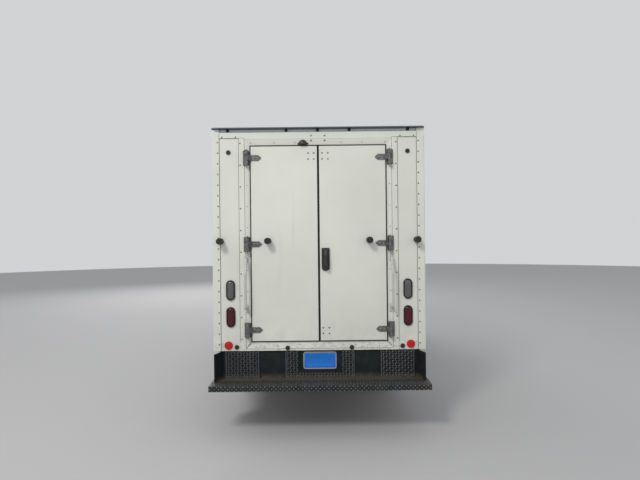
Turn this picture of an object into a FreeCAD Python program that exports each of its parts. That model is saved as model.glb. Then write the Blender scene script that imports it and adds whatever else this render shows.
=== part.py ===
import math
import os

import FreeCAD
import Part
import Sketcher

# Box truck: a van cab with a short bonnet on a ladder frame, carrying a plain aluminium load
# box with two hinged rear doors and a step bumper. Millimetres. +X is forward, +Y is the
# vehicle's left, +Z is up. The origin is on the ground below the middle of the whole truck.

SIZES = [
    ("front_overhang", 853, "front axle to the front of the bumper"),
    ("wheelbase", 3530, "front axle to rear axle"),
    ("cab_length", 1500, "front axle to the back of the cab"),
    ("body_gap", 15, "cab to load box"),
    ("box_length", 3658, "load box, front wall to rear face"),
    ("step_depth", 247, "rear face to the edge of the step"),
    ("box_width", 2032, "load box, outside"),
    ("box_top", 2876, "top of the load box above the ground"),
    ("deck_height", 830, "top of the load floor above the ground"),
    ("side_wall", 38, "load box side, skin and posts"),
    ("skin", 4, "aluminium sheet of the load box"),
    ("skin_recess", 5, "side sheet below the faces of its rails and corner posts"),
    ("post_pitch", 406, "spacing of the wall posts and roof bows"),
    ("post_width", 32, "wall post and roof bow, along the truck"),
    ("front_wall", 45, "load box front wall"),
    ("front_corner", 75, "radius of the front corners of the box"),
    ("floor_board", 30, "load floor planks"),
    ("sill_beam", 75, "cross beams below the load floor"),
    ("door_opening", 1306, "rear opening, width"),
    ("door_height", 1880, "rear opening, height"),
    ("portal_depth", 90, "rear portal, front to back"),
    ("portal_sill", 81, "rear portal below the deck"),
    ("corner_post", 74, "rear corner post, width"),
    ("lamp_panel", 185, "recessed panel that carries the lamps, width"),
    ("panel_step", 5, "how far the lamp panel lies below the corner post"),
    ("jamb_strip", 55, "raised part of the door jamb, width"),
    ("bevel_depth", 9, "how deep the frame is bevelled towards the doors"),
    ("sill_lip", 18, "flat lip below the bevel of the sill"),
    ("door_stop", 20, "lip behind the doors"),
    ("header_channel", 45, "height of the lamp channel above the header"),
    ("header_rail", 52, "flat rail between the lamp panels and the lamp channel"),
    ("visor_reach", 35, "rain visor over the rear doors"),
    ("rear_door", 40, "rear door, thickness"),
    ("door_gap", 6, "gap round a rear door"),
    ("pin_standoff", 42, "hinge pin behind the door face"),
    ("pin_inset", 22, "hinge pin outboard of the door opening"),
    ("pin_radius", 7, "hinge pin"),
    ("hinge_height", 140, "hinge butt"),
    ("hinge_width", 58, "hinge butt plate"),
    ("hinge_plate", 6, "hinge plate thickness"),
    ("strap_height", 54, "hinge strap"),
    ("strap_reach", 110, "hinge strap onto the door"),
    ("hinge_low", 118, "lowest hinge above the deck"),
    ("hinge_mid", 936, "middle hinge above the deck"),
    ("hinge_top", 1758, "top hinge above the deck"),
    ("handle_low", 300, "foot of the grab handle above the deck"),
    ("handle_top", 826, "head of the grab handle above the deck"),
    ("handle_reach", 88, "grab handle behind the rear face"),
    ("handle_tube", 25, "grab handle tube, diameter"),
    ("handle_line", 692, "grab handle to the middle of the truck"),
    ("buffer_length", 90, "rubber door buffer"),
    ("buffer_diameter", 60, "rubber door buffer"),
    ("buffer_height", 966, "rubber door buffers above the deck"),
    ("buffer_post", 934, "buffer on the corner post, to the middle"),
    ("buffer_door", 482, "buffer on the door, to the middle"),
    ("lamp_line", 846, "oval lamps, to the middle of the truck"),
    ("clear_lamp", 498, "reversing lamp above the deck"),
    ("red_lamp", 242, "stop lamp above the deck"),
    ("lamp_height", 194, "oval lamp with its rubber ring"),
    ("lamp_width", 86, "oval lamp with its rubber ring"),
    ("reflector_line", 870, "round reflector, to the middle"),
    ("reflector_drop", 29, "round reflector below the deck"),
    ("reflector_size", 79, "round reflector, diameter"),
    ("latch_line", 64, "latch handle, to the middle"),
    ("latch_height", 786, "latch handle above the deck"),
    ("latch_plate", 217, "latch plate, height"),
    ("bumper_width", 2026, "step bumper"),
    ("tread_height", 484, "top of the step above the ground"),
    ("tread_plate", 7, "step plate thickness"),
    ("step_lip", 52, "front lip of the step"),
    ("riser_pocket", 18, "depth of the plain pockets in the riser"),
    ("riser_plate", 8, "riser plate thickness"),
    ("tyre_diameter", 744, "tyre, outside"),
    ("tyre_width", 225, "tyre section"),
    ("rim_diameter", 406, "rim at the bead seat"),
    ("rim_width", 165, "rim between the flanges"),
    ("front_track", 1734, "between the front wheel centres"),
    ("rear_track", 1724, "between the rear wheel centres"),
    ("kingpin_offset", 82, "kingpin inboard of the wheel centre"),
    ("spindle_radius", 30, "wheel spindle"),
    ("steering_arm", 120, "kingpin to tie rod, along the truck"),
    ("rail_spread", 864, "frame rails, outside to outside"),
    ("rail_depth", 150, "frame rail section height"),
    ("rail_flange", 60, "frame rail flange"),
    ("rail_gauge", 6, "frame rail metal"),
    ("rail_drop", 120, "how far the rails drop below the cab"),
    ("runner", 45, "height of the runners between rails and cross beams"),
    ("cab_half", 1006, "half of the cab width at the doors"),
    ("cab_top", 2090, "cab roof above the ground"),
    ("cab_sill", 500, "bottom of the cab above the ground"),
    ("belt_height", 1240, "window line above the ground"),
    ("roof_split", 2000, "seam of the cab roof above the ground"),
    ("tumblehome", 216, "how far the cab side leans in at the roof"),
    ("screen_base", 300, "foot of the windscreen behind the front axle"),
    ("screen_lean", 440, "windscreen, foot to head along the truck"),
    ("cab_wall", 72, "cab door and side, thickness"),
    ("cab_roof_skin", 40, "cab roof, thickness"),
    ("cab_door_front", 470, "front edge of the cab door behind the axle"),
    ("cab_door_rear", 1385, "rear edge of the cab door behind the axle"),
    ("cab_door_gap", 6, "gap round a cab door"),
    ("cab_hinge_out", 8, "cab door hinge pin outboard of the cab side"),
    ("cab_hinge_height", 84, "cab door hinge"),
    ("pillar_front", 380, "front of the hinge pillar behind the axle"),
    ("nose_reach", 800, "front panel ahead of the front axle"),
    ("nose_half", 955, "half of the width at the nose"),
    ("nose_top", 1075, "bonnet height at the nose"),
    ("cowl_top", 1215, "bonnet height at the windscreen"),
    ("arch_radius", 430, "wheel arch"),
    ("panel_wall", 22, "wings and bonnet, thickness"),
    ("bonnet_gap", 14, "bonnet to the foot of the windscreen"),
    ("bonnet_half", 760, "half of the bonnet width"),
    ("bumper_height", 190, "front bumper, height"),
    ("bumper_low", 430, "front bumper above the ground"),
]

doc = FreeCAD.newDocument("BoxTruck")
sheet = doc.addObject("Spreadsheet::Sheet", "Sizes")
for row, (alias, value, meaning) in enumerate(SIZES, start=1):
    sheet.set(f"A{row}", alias)
    sheet.set(f"B{row}", str(value))
    sheet.set(f"C{row}", meaning)
    sheet.setAlias(f"B{row}", alias)
doc.recompute()


class Size:
    """A length with the formula it came from, so that it can be bound to a property."""

    def __init__(self, value, text):
        self.value = float(value)
        self.text = text

    def join(self, sign, other, value, swap=False):
        mine, theirs = self.text, formula(other)
        if swap:
            mine, theirs = theirs, mine
        return Size(value, f"({mine} {sign} {theirs})")

    def __add__(self, other):
        return self.join("+", other, self.value + number(other))

    def __radd__(self, other):
        return self.join("+", other, number(other) + self.value, swap=True)

    def __sub__(self, other):
        return self.join("-", other, self.value - number(other))

    def __rsub__(self, other):
        return self.join("-", other, number(other) - self.value, swap=True)

    def __mul__(self, other):
        return self.join("*", other, self.value * number(other))

    def __rmul__(self, other):
        return self.join("*", other, number(other) * self.value, swap=True)

    def __truediv__(self, other):
        return self.join("/", other, self.value / number(other))


def number(size):
    return size.value if isinstance(size, Size) else float(size)


def formula(size):
    return size.text if isinstance(size, Size) else f"{float(size):.6f}"


class Sheet:
    """Reads a cell of the sheet by its alias."""

    def __getattr__(self, alias):
        return Size(sheet.get(alias), f"Sizes.{alias}")


s = Sheet()


def bind(thing, name, size):
    """Ties a property to the formula of a size."""
    if isinstance(size, Size):
        thing.setExpression(name, size.text)
    elif "." in name:
        thing.setExpression(name, formula(size))
    else:
        setattr(thing, name, number(size))


def place(thing, x=0, y=0, z=0, axis=None, angle=0):
    """Sets where an object stands, and binds it there."""
    turn = FreeCAD.Rotation(FreeCAD.Vector(*(axis or (0, 0, 1))), angle)
    here = FreeCAD.Vector(number(x), number(y), number(z))
    thing.Placement = FreeCAD.Placement(here, turn)
    for letter, size in (("x", x), ("y", y), ("z", z)):
        if isinstance(size, Size):
            thing.setExpression(f"Placement.Base.{letter}", size.text)
    return thing


def block(name, x, y, z):
    """A box from pairs of low and high sizes along each axis."""
    thing = doc.addObject("Part::Box", name)
    bind(thing, "Length", x[1] - x[0])
    bind(thing, "Width", y[1] - y[0])
    bind(thing, "Height", z[1] - z[0])
    return place(thing, x[0], y[0], z[0])


ALONG = {"x": ((0, 1, 0), 90), "y": ((1, 0, 0), -90), "z": ((0, 0, 1), 0)}


def rod(name, along, radius, length, x, y, z):
    """A cylinder that starts at a point and runs along an axis."""
    thing = doc.addObject("Part::Cylinder", name)
    bind(thing, "Radius", radius)
    bind(thing, "Height", length)
    return place(thing, x, y, z, *ALONG[along])


def fuse(name, parts):
    thing = doc.addObject("Part::MultiFuse", name)
    thing.Shapes = parts
    thing.Refine = True
    return thing


def common(name, parts):
    thing = doc.addObject("Part::MultiCommon", name)
    thing.Shapes = parts
    return thing


def cut(name, base, *tools):
    """The base less one tool, or less several fused together."""
    tool = tools[0]
    if len(tools) > 1:
        tool = doc.addObject("Part::MultiFuse", name + "_tools")
        tool.Shapes = list(tools)
    thing = doc.addObject("Part::Cut", name)
    thing.Base = base
    thing.Tool = tool
    thing.Refine = True
    return thing


def mirrored(name, source):
    """The same piece on the other side of the truck."""
    thing = doc.addObject("Part::Mirroring", name)
    thing.Source = source
    thing.Base = FreeCAD.Vector(0, 0, 0)
    thing.Normal = FreeCAD.Vector(0, 1, 0)
    return thing


def sketch_polygon(body, name, role, points, level=None):
    """A closed outline on an origin plane, each corner bound to its two sizes."""
    sketch = body.newObject("Sketcher::SketchObject", name)
    plane = [item for item in body.Origin.OriginFeatures if item.Role == role][0]
    sketch.AttachmentSupport = (plane, [""])
    sketch.MapMode = "FlatFace"
    if level is not None:
        bind(sketch, "AttachmentOffset.Base.z", level)
    corners = [FreeCAD.Vector(number(p[0]), number(p[1]), 0) for p in points]
    count = len(corners)
    for i, corner in enumerate(corners):
        sketch.addGeometry(Part.LineSegment(corner, corners[(i + 1) % count]))
    for i in range(count):
        sketch.addConstraint(Sketcher.Constraint("Coincident", i, 2, (i + 1) % count, 1))
    for i, point in enumerate(points):
        for kind, size, letter in (("DistanceX", point[0], "u"), ("DistanceY", point[1], "v")):
            index = sketch.addConstraint(Sketcher.Constraint(kind, -1, 1, i, 1, number(size)))
            if isinstance(size, Size):
                sketch.renameConstraint(index, f"{letter}{i}")
                sketch.setExpression(f"Constraints.{letter}{i}", size.text)
    return sketch


FLAT = {"XY_Plane": ("x", "y", 1), "XZ_Plane": ("x", "z", -1), "YZ_Plane": ("y", "z", 1)}
NEAR = 0.01
SLACK = 0.3


def corner_edges(shape, role, point):
    """The edges that stand on one corner of a padded outline."""
    first, second, _ = FLAT[role]
    found = []
    for i, edge in enumerate(shape.Edges, start=1):
        ends = [vertex.Point for vertex in edge.Vertexes]
        if all(
            abs(getattr(end, first) - number(point[0])) < NEAR
            and abs(getattr(end, second) - number(point[1])) < NEAR
            for end in ends
        ):
            found.append(f"Edge{i}")
    return found


def slab(name, role, points, low, high):
    """An outline padded from one level to another. A corner may carry a radius as its third value."""
    body = doc.addObject("PartDesign::Body", name)
    sign = FLAT[role][2]
    level = low if sign > 0 else -1 * low
    sketch = sketch_polygon(body, name + "_outline", role, points, level)
    pad = body.newObject("PartDesign::Pad", name + "_pad")
    pad.Profile = sketch
    bind(pad, "Length", high - low)
    pad.Reversed = sign < 0
    doc.recompute()
    radii = {}
    for point in points:
        if len(point) > 2:
            radii.setdefault(formula(point[2]), []).append(point)
    for i, group in enumerate(radii.values()):
        last = body.Tip
        edges = [edge for point in group for edge in corner_edges(last.Shape, role, point)]
        round_off = body.newObject("PartDesign::Fillet", f"{name}_round{i}")
        round_off.Base = (last, edges)
        bind(round_off, "Radius", group[0][2])
        doc.recompute()
    return body


def spun(name, points, x=0, y=0, z=0, outward=1):
    """An outline of (out along Y, radius) turned about the Y axis, standing at an axle end."""
    body = doc.addObject("PartDesign::Body", name)
    turned = [(point[0] * outward, point[1]) for point in points]
    sketch = sketch_polygon(body, name + "_outline", "YZ_Plane", turned)
    turn = body.newObject("PartDesign::Revolution", name + "_turn")
    turn.Profile = sketch
    turn.ReferenceAxis = (sketch, ["H_Axis"])
    turn.Angle = 360
    doc.recompute()
    return place(body, x, y, z)


def shaped(name, shape):
    """A piece whose form is made from the sizes by Part's own functions."""
    thing = doc.addObject("Part::Feature", name)
    thing.Shape = shape
    return thing


def bent_tube(name, points, radius, bend):
    """A round tube along straight runs joined by tangent arcs."""
    corners = [FreeCAD.Vector(*[number(c) for c in point]) for point in points]
    edges = []
    start = corners[0]
    for before, corner, after in zip(corners, corners[1:], corners[2:]):
        back = (before - corner).normalize()
        ahead = (after - corner).normalize()
        half = back.getAngle(ahead) / 2
        reach = number(bend) / math.tan(half)
        first = corner + back * reach
        last = corner + ahead * reach
        middle = (back + ahead).normalize()
        centre_gap = number(bend) / math.sin(half)
        crown = corner + middle * (centre_gap - number(bend))
        edges.append(Part.LineSegment(start, first).toShape())
        edges.append(Part.Arc(first, crown, last).toShape())
        start = last
    edges.append(Part.LineSegment(start, corners[-1]).toShape())
    path = Part.Wire(edges)
    direction = corners[1] - corners[0]
    ring = Part.Wire([Part.makeCircle(number(radius), corners[0], direction)])
    return shaped(name, path.makePipeShell([ring], True, True))


NODES = {}


def node(name, thing):
    """Names a finished piece. Its label names its file."""
    thing.Label = name
    NODES[name] = thing
    return thing


# Stations along the truck and heights that several pieces share.

overall = s.front_overhang + s.cab_length + s.body_gap + s.box_length + s.step_depth
x_nose = overall / 2
x_front = x_nose - s.front_overhang
x_rear = x_front - s.wheelbase
x_cab_back = x_front - s.cab_length
x_box_front = x_cab_back - s.body_gap
x_face = x_box_front - s.box_length
x_step = x_face - s.step_depth
axle_height = s.tyre_diameter / 2
box_half = s.box_width / 2
opening_half = s.door_opening / 2
opening_top = s.deck_height + s.door_height
portal_bottom = s.deck_height - s.portal_sill
header_top = s.box_top - s.header_channel
header_seam = header_top - s.header_rail
beam_bottom = s.deck_height - s.floor_board - s.sill_beam
rail_top = beam_bottom - s.runner
rail_bottom = rail_top - s.rail_depth
front_rail_top = rail_top - s.rail_drop
front_rail_bottom = front_rail_top - s.rail_depth
rail_half = s.rail_spread / 2
post_in = box_half - s.corner_post
cab_floor_low = s.cab_sill + 70
SIDES = (("left", 1), ("right", -1))


def across(sign, near, far):
    """The span along Y between two distances from the middle of the truck, on one side."""
    return (near, far) if sign > 0 else (-1 * far, -1 * near)


def side_rod(name, sign, near, far, radius, x, z):
    """A cylinder across the truck, on one side, between two distances from its middle."""
    start, end = across(sign, near, far)
    return rod(name, "y", radius, end - start, x, start, z)


GEARBOX_LOW = 440
MEMBER_WIDTH = 60


def chassis_frame():
    """Two channel rails with a drop below the cab, tied by cross members."""
    drop_start = x_cab_back - 260
    drop_end = x_cab_back - 20
    rail_rear = x_face + s.riser_pocket + s.riser_plate
    rail_front = x_nose - 130
    gauge = s.rail_gauge
    outer = [
        (rail_rear, rail_bottom),
        (rail_rear, rail_top),
        (drop_start, rail_top),
        (drop_end, front_rail_top),
        (rail_front, front_rail_top),
        (rail_front, front_rail_bottom),
        (drop_end, front_rail_bottom),
        (drop_start, rail_bottom),
    ]
    inner = [
        (rail_rear - 1, rail_bottom + gauge),
        (rail_rear - 1, rail_top - gauge),
        (drop_start, rail_top - gauge),
        (drop_end, front_rail_top - gauge),
        (rail_front + 1, front_rail_top - gauge),
        (rail_front + 1, front_rail_bottom + gauge),
        (drop_end, front_rail_bottom + gauge),
        (drop_start, rail_bottom + gauge),
    ]
    full = slab("rail_section", "XZ_Plane", outer, rail_half - s.rail_flange, rail_half)
    hollow = slab(
        "rail_hollow", "XZ_Plane", inner, rail_half - s.rail_flange - 1, rail_half - gauge
    )
    rail = cut("rail_left", full, hollow)
    parts = [rail, mirrored("rail_right", rail)]
    reach = rail_half - gauge
    stations = [
        (x_face + 300, rail_bottom),
        (x_rear - 500, rail_bottom),
        (x_rear + 600, rail_bottom),
        (x_cab_back - 400, rail_bottom),
        (x_nose - 200, front_rail_bottom),
    ]
    for i, (x, low) in enumerate(stations):
        height = (low + gauge, low + s.rail_depth - gauge)
        parts.append(
            block(f"cross_member_{i}", (x, x + MEMBER_WIDTH), (-1 * reach, reach), height)
        )
    parts.append(
        block(
            "gearbox_member", (x_front - 860, x_front - 780), (-1 * reach, reach),
            (front_rail_bottom + gauge, GEARBOX_LOW),
        )
    )
    for side, sign in SIDES:
        span = across(sign, rail_half - 50, rail_half)
        for i, x in enumerate((x_front - 700, x_front - 1380)):
            parts.append(
                block(f"cab_mount_{side}_{i}", (x, x + 70), span, (front_rail_top, cab_floor_low))
            )
    node("chassis_frame", fuse("chassis_fused", parts))


BEAD_GAP = 0.5
FLANGE = 19


def tyre(corner, x, out, sign):
    """A tyre with a flat tread, sloping shoulders and bulged walls, seated on the rim's beads."""
    half = s.tyre_width / 2
    outer = s.tyre_diameter / 2
    bead = s.rim_diameter / 2
    wall = outer - bead
    seat = s.rim_width / 2 - BEAD_GAP
    section = [
        (seat, bead),
        (seat, bead + FLANGE + BEAD_GAP),
        (half - 6, bead + wall * 0.35),
        (half, bead + wall * 0.55),
        (half - 14, bead + wall * 0.88),
        (half - 44, outer),
    ]
    inboard = [(-1 * across, radius) for across, radius in reversed(section)]
    ring = spun(f"tyre_{corner}_body", section + inboard, x, out * sign, axle_height, sign)
    node(f"tyre_{corner}", ring)


HAND_HOLES = 8
HAND_HOLE_RADIUS = 17
WHEEL_NUTS = 8
NUT_CIRCLE = 82
NUT_RADIUS = 12
NUT_LENGTH = 26


def rim(corner, x, out, sign):
    """A pressed steel wheel: barrel with flanges and a well, dished disc, hub, nuts and cap."""
    half = s.rim_width / 2
    bead = s.rim_diameter / 2 - 0.3
    lip = bead + FLANGE
    metal = 7
    barrel = bead - metal
    crest = bead * 0.66
    bore = s.spindle_radius + 0.5
    outline = [
        (-1 * half - 6, lip),
        (-1 * half, lip),
        (-1 * half, bead),
        (half, bead),
        (half, lip),
        (half + 6, lip),
        (half + 6, barrel),
        (half - 26, barrel),
        (half - 14, crest),
        (half - 36, bead * 0.48),
        (half - 36, 62),
        (half - 4, 58),
        (half - 4, 0),
        (half - 14, 0),
        (half - 14, bore),
        (-1 * half + 58, bore),
        (-1 * half + 58, 62),
        (half - 48, 66),
        (half - 48, bead * 0.48 + 4),
        (half - 26, crest + 2),
        (half - 38, barrel - 4),
        (-1 * half - 6, barrel),
    ]
    body = spun(f"rim_{corner}_body", outline, x, out * sign, axle_height, sign)
    holes = []
    reach = bead * 0.72
    for i in range(HAND_HOLES):
        turn = 2 * math.pi * (i + 0.5) / HAND_HOLES
        holes.append(
            side_rod(
                f"rim_{corner}_hole_{i}", sign, out + half - 60, out + half + 30, HAND_HOLE_RADIUS,
                x + reach * math.cos(turn), axle_height + reach * math.sin(turn),
            )
        )
    nuts = []
    seat = across(sign, out + half - 44, out + half - 44 + NUT_LENGTH)[0]
    for i in range(WHEEL_NUTS):
        turn = 2 * math.pi * i / WHEEL_NUTS
        nut = doc.addObject("Part::Prism", f"rim_{corner}_nut_{i}")
        nut.Polygon = 6
        nut.Circumradius = NUT_RADIUS
        nut.Height = NUT_LENGTH
        nut_x = x + NUT_CIRCLE * math.cos(turn)
        nut_z = axle_height + NUT_CIRCLE * math.sin(turn)
        nuts.append(place(nut, nut_x, seat, nut_z, *ALONG["y"]))
    pierced = cut(f"rim_{corner}_pierced", body, *holes)
    node(f"rim_{corner}", fuse(f"rim_{corner}_fused", [pierced, *nuts]))


def wheels():
    for axle, x, track in (("front", x_front, s.front_track), ("rear", x_rear, s.rear_track)):
        for side, sign in SIDES:
            tyre(f"{axle}_{side}", x, track / 2, sign)
            rim(f"{axle}_{side}", x, track / 2, sign)


WHEEL_HOUSE = 480
ARM_LEVEL = 130
EYE_INSET = 15
SPINDLE_INSET = 16
BRAKE_RADIUS = 148


def front_suspension():
    """Cross member below the rails with an upper and a lower wishbone on each side."""
    kingpin = s.front_track / 2 - s.kingpin_offset
    low = axle_height - ARM_LEVEL
    high = axle_height + ARM_LEVEL
    inner = rail_half - 40
    parts = [
        block(
            "suspension_beam",
            (x_front - 80, x_front + 80),
            (-1 * rail_half, rail_half),
            (low - 20, front_rail_bottom),
        ),
    ]
    for side, sign in SIDES:
        lower = [
            (x_front - 35, kingpin * sign),
            (x_front - 35, (kingpin + 22) * sign),
            (x_front + 35, (kingpin + 22) * sign),
            (x_front + 35, kingpin * sign),
            (x_front + 150, inner * sign),
            (x_front - 150, inner * sign),
        ]
        parts.append(slab(f"lower_arm_{side}", "XY_Plane", lower, low - 16, low + 12))
        upper = [
            (x_front - 30, kingpin * sign),
            (x_front - 30, (kingpin + 20) * sign),
            (x_front + 30, (kingpin + 20) * sign),
            (x_front + 30, kingpin * sign),
            (x_front + 110, rail_half * sign),
            (x_front - 110, rail_half * sign),
        ]
        parts.append(slab(f"upper_arm_{side}", "XY_Plane", upper, high - 6, high + 16))
        parts.append(
            block(
                f"spring_tower_{side}",
                (x_front - 70, x_front + 70),
                across(sign, rail_half, rail_half + 70),
                (front_rail_bottom - 60, front_rail_top),
            )
        )
        damper_y = (rail_half + 110) * sign
        parts.append(rod(f"damper_{side}", "z", 26, high - low, x_front, damper_y, low))
    node("front_suspension", fuse("front_suspension_fused", parts))


def knuckles():
    """The upright between the wishbones, with its spindle, brake shield and steering arm."""
    kingpin = s.front_track / 2 - s.kingpin_offset
    spindle_end = s.front_track / 2 + s.rim_width / 2 - SPINDLE_INSET
    low = axle_height - ARM_LEVEL + 12.3
    high = axle_height + ARM_LEVEL - 6.3
    for side, sign in SIDES:
        span = across(sign, kingpin, kingpin + 30)
        upright = block(f"upright_{side}", (x_front - 28, x_front + 28), span, (low, high))
        spindle = side_rod(
            f"spindle_{side}", sign, kingpin, spindle_end, s.spindle_radius, x_front, axle_height
        )
        shield = side_rod(
            f"shield_{side}", sign, kingpin + 44, kingpin + 50, BRAKE_RADIUS, x_front, axle_height
        )
        eye_y = (kingpin - EYE_INSET) * sign
        eye_x = x_front - s.steering_arm
        arm_outline = [
            (x_front - 20, (kingpin + 20) * sign),
            (x_front + 20, (kingpin + 20) * sign),
            (x_front + 20, (kingpin + 5) * sign),
            (eye_x + 22, eye_y - 22 * sign, 10),
            (eye_x - 22, eye_y - 22 * sign, 10),
            (eye_x - 22, eye_y + 22 * sign, 10),
        ]
        level = axle_height - 60
        arm = slab(f"steering_arm_{side}", "XY_Plane", arm_outline, level - 18, level)
        node(f"knuckle_{side}", fuse(f"knuckle_{side}_fused", [upright, spindle, shield, arm]))


def tie_rod():
    """The rod that ties both steering arms, with an eye resting over each arm."""
    kingpin = s.front_track / 2 - s.kingpin_offset
    x = x_front - s.steering_arm
    level = axle_height - 60
    eye = kingpin - EYE_INSET
    parts = [rod("tie_rod_bar", "y", 12, eye * 2, x, -1 * eye, level + 18)]
    for side, sign in SIDES:
        parts.append(rod(f"tie_rod_eye_{side}", "z", 20, 34, x, eye * sign, level + 0.5))
    node("tie_rod", fuse("tie_rod_fused", parts))


SPRING_LINE = 520
SPRING_HALF = 32
SPRING_CAMBER = 95
LEAVES = (640, 470, 320)


def leaf_outline(x, half_length, camber, level, depth):
    """Side view of a leaf spring: a shallow arc with thickness, worked out at even steps."""
    steps = 6
    top, bottom = [], []
    for i in range(steps + 1):
        share = -1 + 2 * i / steps
        drop = camber * (share * share)
        top.append((x + half_length * share, level + drop))
        bottom.append((x + half_length * share, level + drop - depth))
    return top + bottom[::-1]


def rear_suspension():
    """Live axle with its differential and drums, on a leaf spring each side."""
    brake = s.rear_track / 2 - 80
    spindle_end = s.rear_track / 2 + s.rim_width / 2 - SPINDLE_INSET
    parts = [
        rod("axle_tube", "y", 42, brake * 2, x_rear, -1 * brake, axle_height),
        spun(
            "differential",
            [(-150, 0), (-150, 60), (-90, 140), (0, 165), (90, 140), (150, 60), (150, 0)],
            x_rear,
            0,
            axle_height,
        ),
        rod("pinion_nose", "x", 62, 260, x_rear, 0, axle_height),
    ]
    spring_bottom = axle_height + 42
    for side, sign in SIDES:
        parts.append(
            side_rod(
                f"drum_{side}", sign, brake - 8, brake + 44, BRAKE_RADIUS + 2, x_rear, axle_height
            )
        )
        parts.append(
            side_rod(
                f"rear_spindle_{side}", sign, brake, spindle_end, s.spindle_radius, x_rear,
                axle_height,
            )
        )
        line = SPRING_LINE * sign
        for i, half_length in enumerate(LEAVES):
            camber = SPRING_CAMBER * (half_length / LEAVES[0]) ** 2
            level = spring_bottom + 40 - 12 * i
            outline = leaf_outline(x_rear, half_length, camber, level, 13)
            parts.append(
                slab(f"leaf_{side}_{i}", "XZ_Plane", outline, line - SPRING_HALF, line + SPRING_HALF)
            )
        parts.append(
            block(
                f"spring_seat_{side}",
                (x_rear - 60, x_rear + 60),
                (line - 38, line + 38),
                (axle_height, spring_bottom + 5),
            )
        )
        for end, shift in (("front", 620), ("back", -620)):
            parts.append(
                block(
                    f"hanger_{side}_{end}",
                    (x_rear + shift - 28, x_rear + shift + 28),
                    across(sign, rail_half, SPRING_LINE + 30),
                    (spring_bottom + 95, rail_top - 20),
                )
            )
    node("rear_suspension", fuse("rear_suspension_fused", parts))


ENGINE_TOP = 1000


def power_unit():
    """The engine as a plain block with its gearbox, and the radiator behind the grille."""
    engine = block(
        "engine_block",
        (x_front - 200, x_front + 430),
        (-260, 260),
        (front_rail_bottom + 160, ENGINE_TOP),
    )
    gearbox = slab(
        "gearbox",
        "XZ_Plane",
        [
            (x_front - 190, 520),
            (x_front - 190, 800),
            (x_front - 500, 560),
            (x_front - 900, 540),
            (x_front - 900, GEARBOX_LOW),
            (x_front - 500, GEARBOX_LOW),
        ],
        -130,
        130,
    )
    radiator = block(
        "radiator_core",
        (x_front + 600, x_front + 650),
        (-400, 400),
        (front_rail_top, ENGINE_TOP),
    )
    mount = block(
        "engine_mount", (x_front + 80, x_front + 150), (-398, 398), (front_rail_top, 600)
    )
    node("engine", fuse("engine_fused", [engine, mount, gearbox, radiator]))


def drive_shaft():
    """Two-piece propeller shaft with a joint at each end."""
    start = FreeCAD.Vector(number(x_rear) + 264, 0, number(axle_height))
    end = FreeCAD.Vector(number(x_front) - 903, 0, 495)
    run = end - start
    yoke = 60
    tube = Part.makeCylinder(38, run.Length, start, run)
    yokes = [
        Part.makeCylinder(52, yoke, start, run),
        Part.makeCylinder(52, yoke, end - run * (yoke / run.Length), run),
    ]
    member_x = number(x_cab_back) - 390
    middle = start + run * ((member_x - start.x) / run.x)
    bearing = Part.makeCylinder(70, 40, middle, run)
    strap_top = number(rail_bottom) + number(s.rail_gauge)
    strap = Part.makeBox(30, 60, strap_top - middle.z, FreeCAD.Vector(member_x + 5, -30, middle.z))
    shape = tube.fuse([*yokes, bearing, strap]).removeSplitter()
    node("drive_shaft", shaped("drive_shaft_shape", shape))


STRAP_METAL = 4


def fuel_tank():
    """A flat tank between the rails, with rolled edges and two straps."""
    low = rail_bottom - 190
    high = rail_bottom - STRAP_METAL
    back = x_rear + 760
    front = back + 880
    near, far = 110, rail_half - 20
    outline = [
        (back, low, 40),
        (back, high, 30),
        (front, high, 30),
        (front, low, 40),
    ]
    tank = slab("tank_shell", "XZ_Plane", outline, near, far)
    straps = []
    for i, x in enumerate((back + 200, front - 240)):
        span = (near - STRAP_METAL, far + STRAP_METAL)
        straps.append(
            block(f"tank_strap_{i}", (x, x + 45), span, (low - STRAP_METAL, rail_bottom))
        )
    node("fuel_tank", fuse("fuel_tank_fused", [tank, *straps]))


def exhaust():
    """Pipe, silencer and tail pipe along the right rail."""
    y = -1 * (rail_half - 190)
    level = rail_bottom - 90
    silencer_front = x_rear + 1500
    silencer_back = x_rear + 820
    front_pipe = bent_tube(
        "front_pipe",
        [
            (x_front - 700, -200, 370),
            (x_front - 1000, -200, 370),
            (silencer_front + 260, y, level),
            (silencer_front - 20, y, level),
        ],
        27,
        110,
    )
    tail_pipe = bent_tube(
        "tail_pipe",
        [
            (silencer_back + 20, y, level),
            (x_rear + 480, y, level),
            (x_rear + 300, y, level + 130),
            (x_rear - 250, y, level + 130),
            (x_rear - 480, y, level),
            (x_rear - 760, y - 200, level - 20),
            (x_rear - 760, -1 * box_half + 60, level - 20),
        ],
        25,
        90,
    )
    silencer = rod(
        "silencer", "x", 92, silencer_front - silencer_back, silencer_back, y, level
    )
    hangers = []
    for i, x in enumerate((x_cab_back - 385, x_rear - 490)):
        hangers.append(
            block(
                f"exhaust_hanger_{i}", (x, x + 12), (y - 6, y + 6),
                (level + 8, rail_bottom + s.rail_gauge),
            )
        )
    node("exhaust", fuse("exhaust_fused", [front_pipe, tail_pipe, silencer, *hangers]))


BEAM_WIDTH = 60
FLAP_BEAM = 2


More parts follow.
